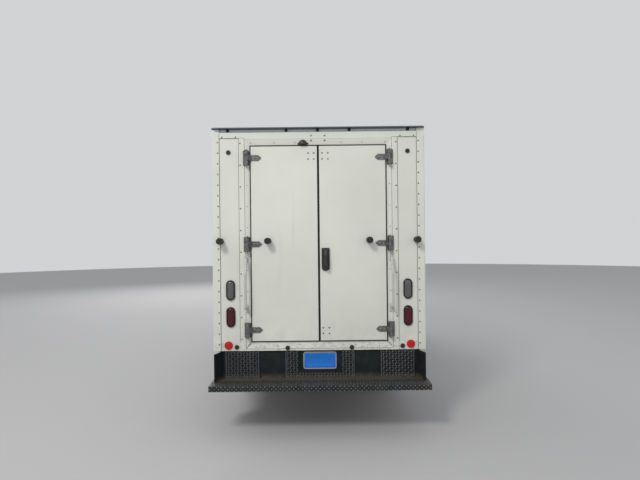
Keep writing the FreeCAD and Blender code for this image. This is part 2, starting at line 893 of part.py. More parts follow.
def load_floor():
    """Planked deck on cross beams, with the mud flaps on one of them."""
    front = x_box_front - s.front_wall
    back = x_face + s.portal_depth
    half = box_half - s.side_wall
    under = s.deck_height - s.floor_board
    parts = [block("deck", (back, front), (-1 * half, half), (under, s.deck_height))]
    count = max(2, int(number(s.box_length - s.portal_depth) // number(s.post_pitch)))
    pitch = (front - back - BEAM_WIDTH) / count
    for i in range(count + 1):
        x = back + pitch * i
        parts.append(
            block(f"cross_beam_{i}", (x, x + BEAM_WIDTH), (-1 * half, half), (beam_bottom, under))
        )
    flap_x = back + pitch * FLAP_BEAM + BEAM_WIDTH
    wells = []
    for side, sign in SIDES:
        span = across(sign, rail_half - s.rail_flange, rail_half)
        parts.append(block(f"runner_{side}", (back, front), span, (rail_top, beam_bottom)))
        wells.append(
            side_rod(
                f"wheel_well_{side}", sign, s.rear_track / 2 - 160, box_half, axle_height + 35,
                x_rear, axle_height,
            )
        )
    whole = fuse("load_floor_fused", parts)
    node("load_floor", cut("load_floor_cut", whole, *wells))
    mud_flaps(flap_x)


FLAP_FOOT = 215
FLAP_METAL = 8


def mud_flaps(x):
    """A ribbed rubber flap behind each rear wheel, on the front face of a cross beam."""
    top = beam_bottom + 60
    near = s.rear_track / 2 - s.tyre_width / 2 - 20
    far = s.rear_track / 2 + s.tyre_width / 2
    parts = []
    for side, sign in SIDES:
        sheet = (x, x + FLAP_METAL)
        parts.append(block(f"flap_{side}", sheet, across(sign, near, far), (FLAP_FOOT, top)))
        ribs = 4
        pitch = (far - near) / (ribs + 1)
        for i in range(ribs):
            y = near + pitch * (i + 1)
            span = across(sign, y - 6, y + 6)
            parts.append(
                block(f"flap_rib_{side}_{i}", (x, x + FLAP_METAL + 4), span,
                      (FLAP_FOOT + 30, beam_bottom - 20))
            )
    node("mud_flaps", fuse("mud_flaps_all", parts))


def box_side(side, sign):
    """Side wall: sheet outside, hat posts inside, a rail along the top and the bottom."""
    front = x_box_front - s.front_corner - 20
    back = x_face + s.portal_depth
    low = portal_bottom
    high = header_top
    sheet_out = box_half - s.skin_recess
    sheet_in = sheet_out - s.skin
    post_in = box_half - s.side_wall
    sheet_span = across(sign, sheet_in, sheet_out)
    post_span = across(sign, post_in, sheet_in)
    parts = [block(f"{side}_sheet", (back, front), sheet_span, (low, high))]
    count = max(2, int(number(front - back) // number(s.post_pitch)))
    pitch = (front - back - s.post_width) / count
    for i in range(count + 1):
        x = back + pitch * i
        parts.append(block(f"{side}_post_{i}", (x, x + s.post_width), post_span, (low, high)))
    base_rail = [
        (post_in * sign, s.deck_height),
        (post_in * sign, s.deck_height + 90),
        (sheet_in * sign, s.deck_height + 110),
        (sheet_out * sign, s.deck_height + 110),
        (box_half * sign, s.deck_height + 104),
        (box_half * sign, low),
        ((box_half - 14) * sign, low),
        ((box_half - 14) * sign, s.deck_height - s.floor_board),
        (post_in * sign, s.deck_height - s.floor_board),
    ]
    parts.append(slab(f"{side}_base_rail", "YZ_Plane", base_rail, back, front))
    top_rail = [
        (post_in * sign, high - 70),
        (post_in * sign, high),
        (box_half * sign, high),
        (box_half * sign, high - 84),
        (sheet_out * sign, high - 90),
        (sheet_in * sign, high - 90),
    ]
    parts.append(slab(f"{side}_top_rail", "YZ_Plane", top_rail, back, front))
    node(f"box_side_{side}", fuse(f"box_side_{side}_fused", parts))


def box_front():
    """Front wall with round corner posts that wrap onto the sides."""
    back = x_box_front - s.front_corner - 20
    inside = box_half - s.side_wall
    wall_in = x_box_front - s.front_wall
    outline = [
        (back, box_half),
        (x_box_front, box_half, s.front_corner),
        (x_box_front, -1 * box_half, s.front_corner),
        (back, -1 * box_half),
        (back, -1 * inside),
        (wall_in, -1 * inside),
        (wall_in, inside),
        (back, inside),
    ]
    node("box_front", slab("box_front_wall", "XY_Plane", outline, beam_bottom, header_top))


def box_roof():
    """Roof sheet with bows below and a rolled edge at the front."""
    back = x_face + s.portal_depth
    top = s.box_top
    low = header_top
    sheet_low = top - s.skin
    outline = [
        (back, sheet_low),
        (back, top),
        (x_box_front, top, s.header_channel - 6),
        (x_box_front, low),
        (x_box_front - s.front_wall, low),
        (x_box_front - s.front_wall, sheet_low),
    ]
    parts = [slab("roof_sheet", "XZ_Plane", outline, -1 * box_half, box_half)]
    half = box_half - s.side_wall
    count = max(2, int(number(x_box_front - back) // number(s.post_pitch)))
    pitch = (x_box_front - s.front_wall - back - s.post_width) / count
    for i in range(count + 1):
        x = back + pitch * i
        parts.append(
            block(f"roof_bow_{i}", (x, x + s.post_width), (-1 * half, half), (low, sheet_low))
        )
    for side, sign in SIDES:
        edge = [
            (box_half * sign, low),
            (box_half * sign, top, 14),
            (half * sign, top),
            (half * sign, low),
        ]
        parts.append(slab(f"roof_rail_{side}", "YZ_Plane", edge, back, x_box_front - s.front_corner))
    node("box_roof", fuse("box_roof_fused", parts))


CHANNEL_DEPTH = 22
CAP_EDGE = 3
CAP_RISE = 20


def rear_portal():
    """The riveted door frame: stepped side posts with sloping caps, a bevelled header and a sill."""
    face = x_face
    front = x_face + s.portal_depth
    panel_in = post_in - s.lamp_panel
    strip_in = panel_in - s.jamb_strip
    low_face = face + s.panel_step
    stop_x = face + s.rear_door + 8
    parts = []
    for side, sign in SIDES:
        outline = [
            (front, box_half * sign),
            (face, box_half * sign, 12),
            (face, post_in * sign),
            (low_face, (post_in - 1) * sign),
            (low_face, (panel_in + 1) * sign),
            (face, panel_in * sign),
            (face, strip_in * sign),
            (face + s.bevel_depth, opening_half * sign),
            (stop_x, opening_half * sign),
            (stop_x, (opening_half - s.door_stop) * sign),
            (front, (opening_half - s.door_stop) * sign),
        ]
        parts.append(slab(f"portal_post_{side}", "XY_Plane", outline, portal_bottom, header_seam))
        cap = [
            (box_half * sign, header_top - 1),
            (box_half * sign, header_top + CAP_EDGE),
            (post_in * sign, header_top + CAP_RISE),
            (post_in * sign, header_top - 1),
        ]
        parts.append(slab(f"post_cap_{side}", "YZ_Plane", cap, face + 2, face + CHANNEL_DEPTH))
    rail = [
        (face, header_seam),
        (face, header_top),
        (front, header_top),
        (front, header_seam),
    ]
    parts.append(slab("portal_rail", "XZ_Plane", rail, -1 * box_half, box_half))
    header = [
        (face + s.bevel_depth, opening_top),
        (face, opening_top + strip_in - opening_half),
        (face, header_seam + 1),
        (front, header_seam + 1),
        (front, opening_top - s.door_stop),
        (stop_x, opening_top - s.door_stop),
        (stop_x, opening_top),
    ]
    parts.append(slab("portal_header", "XZ_Plane", header, -1 * strip_in, strip_in))
    sill = [
        (face, portal_bottom),
        (face, portal_bottom + s.sill_lip),
        (face + s.bevel_depth, s.deck_height - 6),
        (face + s.bevel_depth, s.deck_height),
        (front, s.deck_height),
        (front, portal_bottom),
    ]
    parts.append(slab("portal_sill", "XZ_Plane", sill, -1 * strip_in, strip_in))
    node("rear_portal", fuse("rear_portal_fused", parts))


def roof_channel():
    """The channel above the header, roofed by a rain visor with mitred ends."""
    face = x_face
    edge = face - s.visor_reach
    outline = [
        (face + CHANNEL_DEPTH, header_top),
        (face + CHANNEL_DEPTH, s.box_top - 8),
        (edge, s.box_top - 8),
        (edge, s.box_top - 4),
        (edge + 6, s.box_top),
        (face + s.portal_depth, s.box_top),
        (face + s.portal_depth, header_top),
    ]
    channel = slab("channel_section", "XZ_Plane", outline, -1 * box_half, box_half)
    mitres = []
    gussets = []
    for side, sign in SIDES:
        corner = [
            (edge - 1, (box_half + 1) * sign),
            (edge - 1, (box_half - s.visor_reach) * sign),
            (face, (box_half + 1) * sign),
        ]
        mitres.append(slab(f"visor_mitre_{side}", "XY_Plane", corner, header_top, s.box_top + 1))
        gusset = [
            (box_half * sign, header_top + CAP_EDGE + SLACK),
            (box_half * sign, s.box_top - 4),
            (post_in * sign, s.box_top - 4),
            (post_in * sign, header_top + CAP_RISE + SLACK),
        ]
        gussets.append(
            slab(f"channel_end_{side}", "YZ_Plane", gusset, face + 2, face + CHANNEL_DEPTH + 1)
        )
    body = cut("channel_mitred", channel, *mitres)
    node("roof_channel", fuse("roof_channel_fused", [body, *gussets]))


HINGES = ("low", "mid", "top")
KNUCKLE_RADIUS = 13


def hinge_level(which):
    return s.deck_height + {"low": s.hinge_low, "mid": s.hinge_mid, "top": s.hinge_top}[which]


def hinge_butts():
    """Plate, two ears and the pin of each hinge, on the door jamb."""
    pin_x = x_face - s.pin_standoff
    pin_y = opening_half + s.pin_inset
    parts = []
    ear = (s.hinge_height - s.strap_height) / 2 - 2
    near = opening_half + 4
    far = near + s.hinge_width
    for side, sign in SIDES:
        for which in HINGES:
            level = hinge_level(which)
            low = level - s.hinge_height / 2
            high = level + s.hinge_height / 2
            name = f"{side}_{which}"
            plate = block(
                f"butt_plate_{name}", (x_face - s.hinge_plate, x_face), across(sign, near, far),
                (low, high),
            )
            ears = []
            for end, z in (("low", low), ("high", high - ear)):
                outline = [
                    (x_face - s.hinge_plate, (far - 6) * sign),
                    (x_face - s.hinge_plate, (near + 2) * sign),
                    (pin_x - 12, (pin_y - 11) * sign, 9),
                    (pin_x - 12, (pin_y + 13) * sign, 9),
                ]
                ears.append(slab(f"butt_ear_{name}_{end}", "XY_Plane", outline, z, z + ear))
            pin = rod(
                f"hinge_pin_{name}", "z", s.pin_radius, s.hinge_height + 12, pin_x, pin_y * sign,
                low - 6,
            )
            parts.append(fuse(f"butt_{name}", [plate, *ears, pin]))
    node("hinge_butts", fuse("hinge_butts_all", parts))


def hinge_straps(side, sign):
    """The pointed straps on one door, each rolled round its pin."""
    pin_x = x_face - s.pin_standoff
    pin_y = opening_half + s.pin_inset
    plate = s.hinge_plate
    straps = []
    for which in HINGES:
        level = hinge_level(which)
        low = level - s.strap_height / 2
        high = level + s.strap_height / 2
        name = f"{side}_{which}"
        tip = opening_half - s.strap_reach
        outline = [
            (x_face, tip * sign),
            (x_face, (opening_half - s.door_gap - 2) * sign),
            (pin_x + 8, (pin_y + 4) * sign),
            (pin_x - 8, (pin_y - 4) * sign),
            (x_face - plate, (opening_half - 22) * sign),
            (x_face - plate, tip * sign),
        ]
        leaf = slab(f"strap_leaf_{name}", "XY_Plane", outline, low, high)
        knuckle = rod(
            f"strap_knuckle_{name}", "z", KNUCKLE_RADIUS, s.strap_height, pin_x, pin_y * sign, low
        )
        bore = rod(
            f"strap_bore_{name}", "z", s.pin_radius + SLACK, s.strap_height + 2, pin_x,
            pin_y * sign, low - 1,
        )
        point = s.strap_height / 2
        corners = []
        for end, z, turn in (("low", low, -1), ("high", high, 1)):
            wedge = [
                ((tip - 1) * sign, z + turn),
                ((tip + point) * sign, z + turn),
                ((tip - 1) * sign, level + 4 * turn),
            ]
            corners.append(
                slab(f"strap_wedge_{name}_{end}", "YZ_Plane", wedge, x_face - plate - 1, x_face + 1)
            )
        solid = fuse(f"strap_solid_{name}", [leaf, knuckle])
        straps.append(cut(f"strap_{name}", solid, bore, *corners))
    stop = rod(
        f"door_buffer_{side}", "x", s.buffer_diameter / 2, s.buffer_length,
        x_face - s.buffer_length, s.buffer_door * sign, s.deck_height + s.buffer_height,
    )
    node(f"hinge_straps_{side}", fuse(f"hinge_straps_{side}_all", straps))
    node(f"door_buffer_{side}", stop)


def rear_doors():
    """Flat doors, the meeting edges bevelled so that each swings past the other."""
    free = 4
    hinged = opening_half - s.door_gap / 2
    for side, sign in SIDES:
        outline = [
            (x_face, free * sign, 3),
            (x_face, hinged * sign, 3),
            (x_face + s.rear_door, hinged * sign),
            (x_face + s.rear_door, (free + 6) * sign),
        ]
        panel = slab(
            f"rear_door_{side}_panel", "XY_Plane", outline,
            s.deck_height + s.door_gap, opening_top - s.door_gap,
        )
        node(f"rear_door_{side}", panel)
        hinge_straps(side, sign)


LATCH_WIDTH = 76
LATCH_DEPTH = 14
PADDLE_WIDTH = 30


def latch_handle():
    """Latch plate with a paddle handle and a lock boss, on the right door."""
    y = -1 * s.latch_line
    z = s.deck_height + s.latch_height
    half = s.latch_plate / 2
    edge = LATCH_WIDTH / 2
    out = x_face - LATCH_DEPTH
    outline = [
        (y - edge, z - half, 30),
        (y + edge, z - half, 30),
        (y + edge, z + half, 8),
        (y - edge, z + half, 8),
    ]
    plate = slab("latch_base", "YZ_Plane", outline, out, x_face)
    side_view = [
        (out, z + 60),
        (out, z + 92),
        (out - 20, z + 96),
        (out - 48, z + 40),
        (out - 52, z - 50),
        (out - 44, z - 84),
        (out - 32, z - 80),
        (out - 36, z - 44),
        (out - 32, z + 30),
        (out - 16, z + 60),
    ]
    paddle = slab(
        "latch_paddle", "XZ_Plane", side_view, y - PADDLE_WIDTH / 2, y + PADDLE_WIDTH / 2
    )
    lock = rod("latch_lock", "x", 14, 16, out - 14, y, z - 64)
    node("latch_handle", fuse("latch_handle_fused", [plate, paddle, lock]))


HANDLE_BEND = 28


def grab_handles():
    """Steel tube handles beside the doors, long curve at the top and a square turn at the foot."""
    both = []
    low = s.deck_height + s.handle_low
    high = s.deck_height + s.handle_top
    out = x_face - s.handle_reach
    radius = s.handle_tube / 2
    feet = (x_face - s.hinge_plate, x_face)
    for side, sign in SIDES:
        y = s.handle_line * sign
        width = (y - 16, y + 16)
        route = [
            (x_face - 3, y, high - 25),
            (x_face - 34, y, high - 25),
            (out, y, high - 175),
            (out, y, low + 30),
            (x_face - 3, y, low + 30),
        ]
        tube = bent_tube(f"handle_tube_{side}", route, radius, HANDLE_BEND)
        foot_low = block(f"handle_foot_{side}", feet, width, (low - 14, low + 60))
        foot_high = block(f"handle_head_{side}", feet, width, (high - 60, high + 22))
        both.append(fuse(f"handle_{side}", [tube, foot_low, foot_high]))
    node("grab_handles", fuse("grab_handles_all", both))


def stadium(name, y, z, width, height, low, high):
    """An upright oval with round ends, facing along the truck."""
    reach = width / 2 - 0.02
    outline = [
        (y - width / 2, z - height / 2, reach),
        (y + width / 2, z - height / 2, reach),
        (y + width / 2, z + height / 2, reach),
        (y - width / 2, z + height / 2, reach),
    ]
    return slab(name, "YZ_Plane", outline, low, high)


LAMP_DEPTH = 18


def rear_lamps():
    """Oval reversing and stop lamps on the lamp panels, and round reflectors below them."""
    seat = x_face + s.panel_step
    clear, red = [], []
    for side, sign in SIDES:
        for colour, level, lamps in (("clear", s.clear_lamp, clear), ("red", s.red_lamp, red)):
            lamps.append(
                stadium(
                    f"{colour}_lamp_{side}", s.lamp_line * sign, s.deck_height + level,
                    s.lamp_width, s.lamp_height, seat - LAMP_DEPTH, seat,
                )
            )
        red.append(
            rod(
                f"reflector_{side}", "x", s.reflector_size / 2, 12, seat - 12,
                s.reflector_line * sign, s.deck_height - s.reflector_drop,
            )
        )
    node("reversing_lamps", fuse("reversing_lamps_all", clear))
    node("stop_lamps", fuse("stop_lamps_all", red))


MARKER_SPREAD = (-862, -302, 0, 302, 862)


def marker_lamps():
    """Five small round lamps in the header channel, and five on the front of the roof."""
    lamps = []
    z = (header_top + s.box_top) / 2
    for i, y in enumerate(MARKER_SPREAD):
        lamps.append(rod(f"rear_marker_{i}", "x", 11, 16, x_face + 6, y, z))
        lamps.append(
            rod(f"front_marker_{i}", "x", 18, 22, x_box_front, y, header_top - 60)
        )
    node("marker_lamps", fuse("marker_lamps_all", lamps))


def rubber_buffers():
    """Door buffers on the corner posts and the round rubber plugs of the portal."""
    parts = []
    seat = x_face + s.panel_step
    for side, sign in SIDES:
        parts.append(
            rod(
                f"post_buffer_{side}", "x", s.buffer_diameter / 2, s.buffer_length,
                x_face - s.buffer_length, s.buffer_post * sign, s.deck_height + s.buffer_height,
            )
        )
        plugs = (
            (791, -46, seat),
            (306, -56, x_face),
            (855, s.door_height - 67, seat),
        )
        for i, (y, rise, base) in enumerate(plugs):
            parts.append(
                rod(f"plug_{side}_{i}", "x", 21, 9, base - 9, y * sign, s.deck_height + rise)
            )
    node("rubber_buffers", fuse("rubber_buffers_all", parts))


CENTRE_PANEL = 327
SIDE_PANEL = (580, 900)
PLATE_ROOM = 196
PLATE_DROP = 100
PLATE_HALF = (152, 76)
PLATE_RIM = 8


def plate_layer(name, low, high, grow):
    """One layer of the number plate and its frame, grown round its edge."""
    width, height = PLATE_HALF[0] + grow, PLATE_HALF[1] + grow
    middle = portal_bottom - PLATE_DROP
    return block(name, (low, high), (-1 * width, width), (middle - height, middle + height))


def rear_bumper():
    """Step bumper: riser with raised tread-plate panels, flared gussets, step plate and lip."""
    half = s.bumper_width / 2
    back = x_face + s.riser_pocket
    tread = s.tread_height
    top = portal_bottom
    riser = (back, back + s.riser_plate)
    parts = [
        block("riser", riser, (-1 * half + 60, half - 60), (tread - 30, top)),
        block("centre_panel", (x_face, back), (-1 * CENTRE_PANEL, CENTRE_PANEL), (tread, top)),
    ]
    for side, sign in SIDES:
        span = across(sign, *SIDE_PANEL)
        parts.append(block(f"side_panel_{side}", (x_face, back), span, (tread, top)))
        gusset = [
            (back, (half - 78) * sign),
            (back, (half - 86) * sign),
            (x_face - 126, (half - 36) * sign),
            (x_face - 126, (half - 28) * sign),
        ]
        parts.append(slab(f"gusset_{side}", "XY_Plane", gusset, tread - 2, top - 4))
    step = [
        (back + s.riser_plate, tread - s.tread_plate),
        (back + s.riser_plate, tread),
        (x_step + 4, tread),
        (x_step, tread - 4),
        (x_step, tread - s.step_lip),
        (x_step + 30, tread - s.step_lip),
        (x_step + 30, tread - s.step_lip + s.tread_plate),
        (x_step + s.tread_plate, tread - s.step_lip + s.tread_plate),
        (x_step + s.tread_plate, tread - s.tread_plate),
    ]
    parts.append(slab("step_plate", "XZ_Plane", step, -1 * half, half))
    for side, sign in SIDES:
        end = across(sign, half - s.tread_plate, half)
        parts.append(
            block(f"step_end_{side}", (x_step, x_face), end, (tread - s.step_lip, tread - 2))
        )
        brace = [
            (back, tread - 30),
            (back, tread - 2),
            (x_step + 20, tread - 2),
            (x_step + 20, tread - 40),
        ]
        start, end = across(sign, rail_half - 12, rail_half)
        parts.append(slab(f"step_brace_{side}", "XZ_Plane", brace, start, end))
    body = fuse("bumper_body", parts)
    recess = block(
        "plate_recess", (x_face - 1, back), (-1 * PLATE_ROOM, PLATE_ROOM), (top - 186, top + 1)
    )
    node("rear_bumper", cut("rear_bumper_cut", body, recess))
    board = plate_layer("plate_board", back - 2, back, 0)
    rim_out = plate_layer("plate_rim_out", back - 5, back, PLATE_RIM)
    rim_in = plate_layer("plate_rim_in", back - 6, back + 1, -4)
    frame = cut("plate_rim", rim_out, rim_in)
    node("licence_plate", fuse("licence_plate_fused", [board, frame]))


def cab_envelope(name, wall, upper, roof, front, back, bottom):
    """The outer form of the cab, or the same form set in by its wall thicknesses."""
    head_x = x_front - s.screen_base - s.screen_lean
    foot_x = x_front - s.screen_base
    side_view = [
        (x_cab_back + back, bottom),
        (x_cab_back + back, s.cab_top - roof, 60),
        (head_x - 20 - front, s.cab_top - roof, 190),
        (foot_x - front, s.belt_height),
        (foot_x - front, s.cowl_top - 30),
        (x_front - s.pillar_front - front, s.cowl_top - 30),
        (x_front - s.pillar_front - front, bottom),
    ]
    half = s.cab_half
    lean = s.tumblehome
    from_side = slab(f"{name}_side_view", "XZ_Plane", side_view, -1 * half - 10, half + 10)
    front_view = [
        (half - wall, s.belt_height - 230, 300),
        (half - 21 - upper, s.belt_height + 25, 300),
        (half - lean - upper, s.cab_top - roof, 150),
        (-1 * half + lean + upper, s.cab_top - roof, 150),
        (-1 * half + 21 + upper, s.belt_height + 25, 300),
        (-1 * half + wall, s.belt_height - 230, 300),
        (-1 * half + wall + 6, bottom + 150),
        (-1 * half + wall + 40, bottom - 1),
        (half - wall - 40, bottom - 1),
        (half - wall - 6, bottom + 150),
    ]
    from_front = slab(
        f"{name}_front_view", "YZ_Plane", front_view, x_cab_back - 10, x_front + 10
    )
    return common(name, [from_side, from_front])


def door_outline(grow):
    """Side view of the cab door, grown by a gap for its opening."""
    front = x_front - s.cab_door_front + grow
    rear = x_front - s.cab_door_rear - grow
    low = cab_floor_low - grow
    high = s.roof_split - 14 + grow
    return [
        (front, low, 60),
        (front, s.belt_height),
        (front - 320, high, 50),
        (rear, high, 50),
        (rear, low, 50),
    ]


DOOR_DEPTH = 330


def door_plug(name, sign, grow):
    """The block of space that a door fills, narrower inside than outside so that it can swing."""
    reach = s.cab_half + 20
    start, end = across(sign, reach - DOOR_DEPTH, reach)
    outline = slab(f"{name}_outline", "XZ_Plane", door_outline(grow), start, end)
    rear = x_front - s.cab_door_rear - grow
    plan = [
        (x_front - s.cab_door_front + grow, reach * sign),
        (rear, reach * sign),
        (rear + 100, (reach - DOOR_DEPTH) * sign),
        (x_front - s.cab_door_front + grow, (reach - DOOR_DEPTH) * sign),
    ]
    wedge = slab(f"{name}_plan", "XY_Plane", plan, s.cab_sill - 50, s.cab_top)
    return common(name, [outline, wedge])


def window_outline(grow):
    front = x_front - s.cab_door_front - 62 + grow
    rear = x_front - s.cab_door_rear + 75 - grow
    low = s.belt_height + 22 - grow
    high = s.roof_split - 78 + grow
    return [
        (front, low, 30),
        (front - 268, high, 36),
        (rear, high, 36),
        (rear, low, 30),
    ]


CAB_PIN = 4
CAB_BARREL = 8


def cab_hinges(side, sign, form):
    """Outside hinges of a cab door: fixed leaves with their pins, and the leaves on the door."""
    x = x_front - s.cab_door_front + s.cab_door_gap / 2
    pin_out = s.cab_half + s.cab_hinge_out
    y = pin_out * sign
    leaf_span = across(sign, s.cab_half - 30, s.cab_half + 4)
    arm_span = across(sign, pin_out - 8, pin_out)
    third = s.cab_hinge_height / 3
    fixed, moving = [], []
    for which, level in (("low", s.cab_sill + 190), ("top", s.belt_height - 170)):
        name = f"{side}_{which}"
        leaf = block(
            f"post_leaf_{name}", (x + 9, x + 46), leaf_span, (level, level + third * 3)
        )
        seated = cut(f"post_leaf_seated_{name}", leaf, form)
        pin = rod(f"door_pin_{name}", "z", CAB_PIN, third * 3, x, y, level)
        fixed += [seated, pin]
        for i, low in enumerate((level, level + third * 2 + SLACK)):
            high = low + third - SLACK
            barrel = rod(f"post_barrel_{name}_{i}", "z", CAB_BARREL, high - low, x, y, low)
            arm = block(f"post_arm_{name}_{i}", (x, x + 12), arm_span, (low, high))
            fixed += [barrel, cut(f"post_arm_cut_{name}_{i}", arm, form)]
        moving_leaf = block(
            f"door_leaf_{name}", (x - 46, x - 9), leaf_span, (level + 2, level + third * 3 - 2)
        )
        low = level + third + SLACK
        high = level + third * 2 - SLACK
        barrel = rod(f"door_barrel_{name}", "z", CAB_BARREL, high - low, x, y, low)
        arm = block(f"door_arm_{name}", (x - 12, x), arm_span, (low, high))
        bore = rod(f"door_bore_{name}", "z", CAB_PIN + SLACK, third * 3, x, y, level)
        solid = fuse(f"door_leaf_solid_{name}", [moving_leaf, barrel, arm])
        moving.append(cut(f"door_leaf_cut_{name}", solid, form, bore))
    return fixed, moving


BONNET_HINGES = (-600, 600)


def bonnet_pins():
    """Hinge pins of the bonnet, held in front of the cowl."""
    x = x_front - s.screen_base + s.bonnet_gap / 2
    z = s.cowl_top - 15
    parts = []
    for i, y in enumerate(BONNET_HINGES):
        parts.append(rod(f"bonnet_pin_{i}", "y", 4, 60, x, y - 30, z))
        for end, low in (("right", y - 30), ("left", y + 16)):
            parts.append(
                block(
                    f"bonnet_pin_arm_{i}_{end}", (x_front - s.screen_base, x), (low, low + 14),
                    (z - 4, z + 4),
                )
            )
    return parts


def bonnet_knuckles():
    """The knuckles on the rear edge of the bonnet that turn on those pins."""
    x = x_front - s.screen_base + s.bonnet_gap / 2
    z = s.cowl_top - 15
    parts = []
    for i, y in enumerate(BONNET_HINGES):
        barrel = rod(f"bonnet_barrel_{i}", "y", 6.5, 31, x, y - 15.5, z)
        arm = block(
            f"bonnet_arm_{i}", (x, x + s.bonnet_gap / 2 + 3), (y - 15.5, y + 15.5), (z - 5, z + 5)
        )
        bore = rod(f"bonnet_bore_{i}", "y", 4.3, 60, x, y - 30, z)
        solid = fuse(f"bonnet_knuckle_{i}", [barrel, arm])
        parts.append(cut(f"bonnet_knuckle_cut_{i}", solid, bore))
    return parts


def cab():
    """Cab shell split at its real seams: roof, side and back frame, doors and glass."""
    outer = cab_envelope("cab_outer", 0, 0, 0, 0, 0, s.cab_sill)
    inner = cab_envelope(
        "cab_inner", s.cab_wall, 50, s.cab_roof_skin, 34, 40, s.cab_sill - 40
    )
    shell = cut("cab_shell", outer, inner)
    far = x_front + 50
    above = block(
        "roof_zone", (x_cab_back - 20, far), (-1 * s.cab_half - 20, s.cab_half + 20),
        (s.roof_split, s.cab_top + 20),
    )
    node("cab_roof", common("cab_roof_part", [shell, above]))
    lower = cut("cab_lower", shell, above)

    screen = [
        (s.cab_half - 150, s.belt_height + 22, 50),
        (s.cab_half - 300, s.roof_split - 30, 60),
        (-1 * s.cab_half + 300, s.roof_split - 30, 60),
        (-1 * s.cab_half + 150, s.belt_height + 22, 50),
    ]
    screen_zone = slab("screen_zone", "YZ_Plane", screen, x_front - 900, far)
    arches = []
    house = s.cab_half - WHEEL_HOUSE
    out = s.cab_half + 20
    for side, sign in SIDES:
        arches.append(
            side_rod(f"cab_arch_{side}", sign, house, out, s.arch_radius, x_front, axle_height)
        )
    openings = []
    for side, sign in SIDES:
        openings.append(door_plug(f"door_opening_{side}", sign, s.cab_door_gap))
    openings.append(
        block(
            "engine_tunnel",
            (x_front - 700, x_front - 300),
            (-1 * house, house),
            (s.cab_sill - 10, s.cab_sill + 310),
        )
    )
    openings.append(
        block(
            "rail_tunnel", (x_cab_back - 10, x_cab_back + 60), (-1 * rail_half - 30, rail_half + 30),
            (s.cab_sill - 10, s.cab_sill + 70),
        )
    )
    frame = cut("cab_frame_part", lower, screen_zone, *openings, *arches)
    hinges = {side: cab_hinges(side, sign, outer) for side, sign in SIDES}
    fixed = [*hinges["left"][0], *hinges["right"][0], *bonnet_pins()]
    node("cab_frame", fuse("cab_frame_fused", [frame, *fixed]))

    pane_out = cab_envelope("pane_outer", 20, 20, 10, 12, 10, s.cab_sill + 10)
    pane_in = cab_envelope("pane_inner", 26, 26, 16, 18, 16, s.cab_sill)
    panes = cut("pane_shell", pane_out, pane_in)
    screen_glass = slab("screen_cutter", "YZ_Plane", screen, x_front - 900, far)
    node("windscreen", common("windscreen_pane", [panes, screen_glass]))

    for side, sign in SIDES:
        plug = door_plug(f"door_plug_{side}", sign, 0)
        blank = common(f"door_blank_{side}", [lower, plug])
        start, end = across(sign, s.cab_half - DOOR_DEPTH, s.cab_half + 20)
        window = slab(f"window_{side}", "XZ_Plane", window_outline(0), start, end)
        panel = cut(f"cab_door_{side}_panel", blank, window)
        node(f"cab_door_{side}", fuse(f"cab_door_{side}_fused", [panel, *hinges[side][1]]))
        pane = slab(f"pane_{side}", "XZ_Plane", window_outline(-1 * SLACK), start, end)
        node(f"door_glass_{side}", common(f"door_glass_{side}_pane", [panes, pane]))
    return outer


FLOOR_METAL = 28
bulkhead = x_front - s.pillar_front - 34 - SLACK


def cab_floor():
    """Floor pan with the toe board and the bulkhead behind the engine, in one pressing."""
    low = cab_floor_low
    back = x_cab_back + 40 + SLACK
    toe = x_front - 600
    wall = bulkhead
    top = s.cowl_top - 36
    outline = [
        (back, low),
        (back, low + FLOOR_METAL),
        (toe, low + FLOOR_METAL),
        (wall - FLOOR_METAL, low + 250),
        (wall - FLOOR_METAL, top),
        (wall, top),
        (wall, low + 240),
        (toe + 14, low),
    ]
    half = s.cab_half - s.cab_wall - 30
    node("cab_floor", slab("cab_floor_pan", "XZ_Plane", outline, -1 * half, half))


DRIVER_LINE = 380


def dashboard():
    """Dashboard moulding with the instrument hood, and the steering wheel behind it."""
    wall = bulkhead - FLOOR_METAL - SLACK
    half = s.cab_half - s.cab_wall - 60
    top = s.cowl_top - 40
    outline = [
        (wall, top),
        (wall - 170, top, 40),
        (wall - 235, top - 90, 30),
        (wall - 200, top - 290, 30),
        (wall - 60, top - 350),
        (wall, top - 350),
    ]
    moulding = slab("dash_moulding", "XZ_Plane", outline, -1 * half, half)
    y = DRIVER_LINE
    hood = slab(
        "dash_hood",
        "XZ_Plane",
        [
            (wall - 120, top - 10),
            (wall - 150, top + 45, 20),
            (wall - 262, top + 20, 10),
            (wall - 250, top - 40),
            (wall - 150, top - 60),
        ],
        y - 170,
        y + 170,
    )
    node("dashboard", fuse("dashboard_fused", [moulding, hood]))
    steering_wheel(wall - 395, y, top + 10)


WHEEL_RADIUS = 190
WHEEL_GRIP = 14
COLUMN_TILT = 28


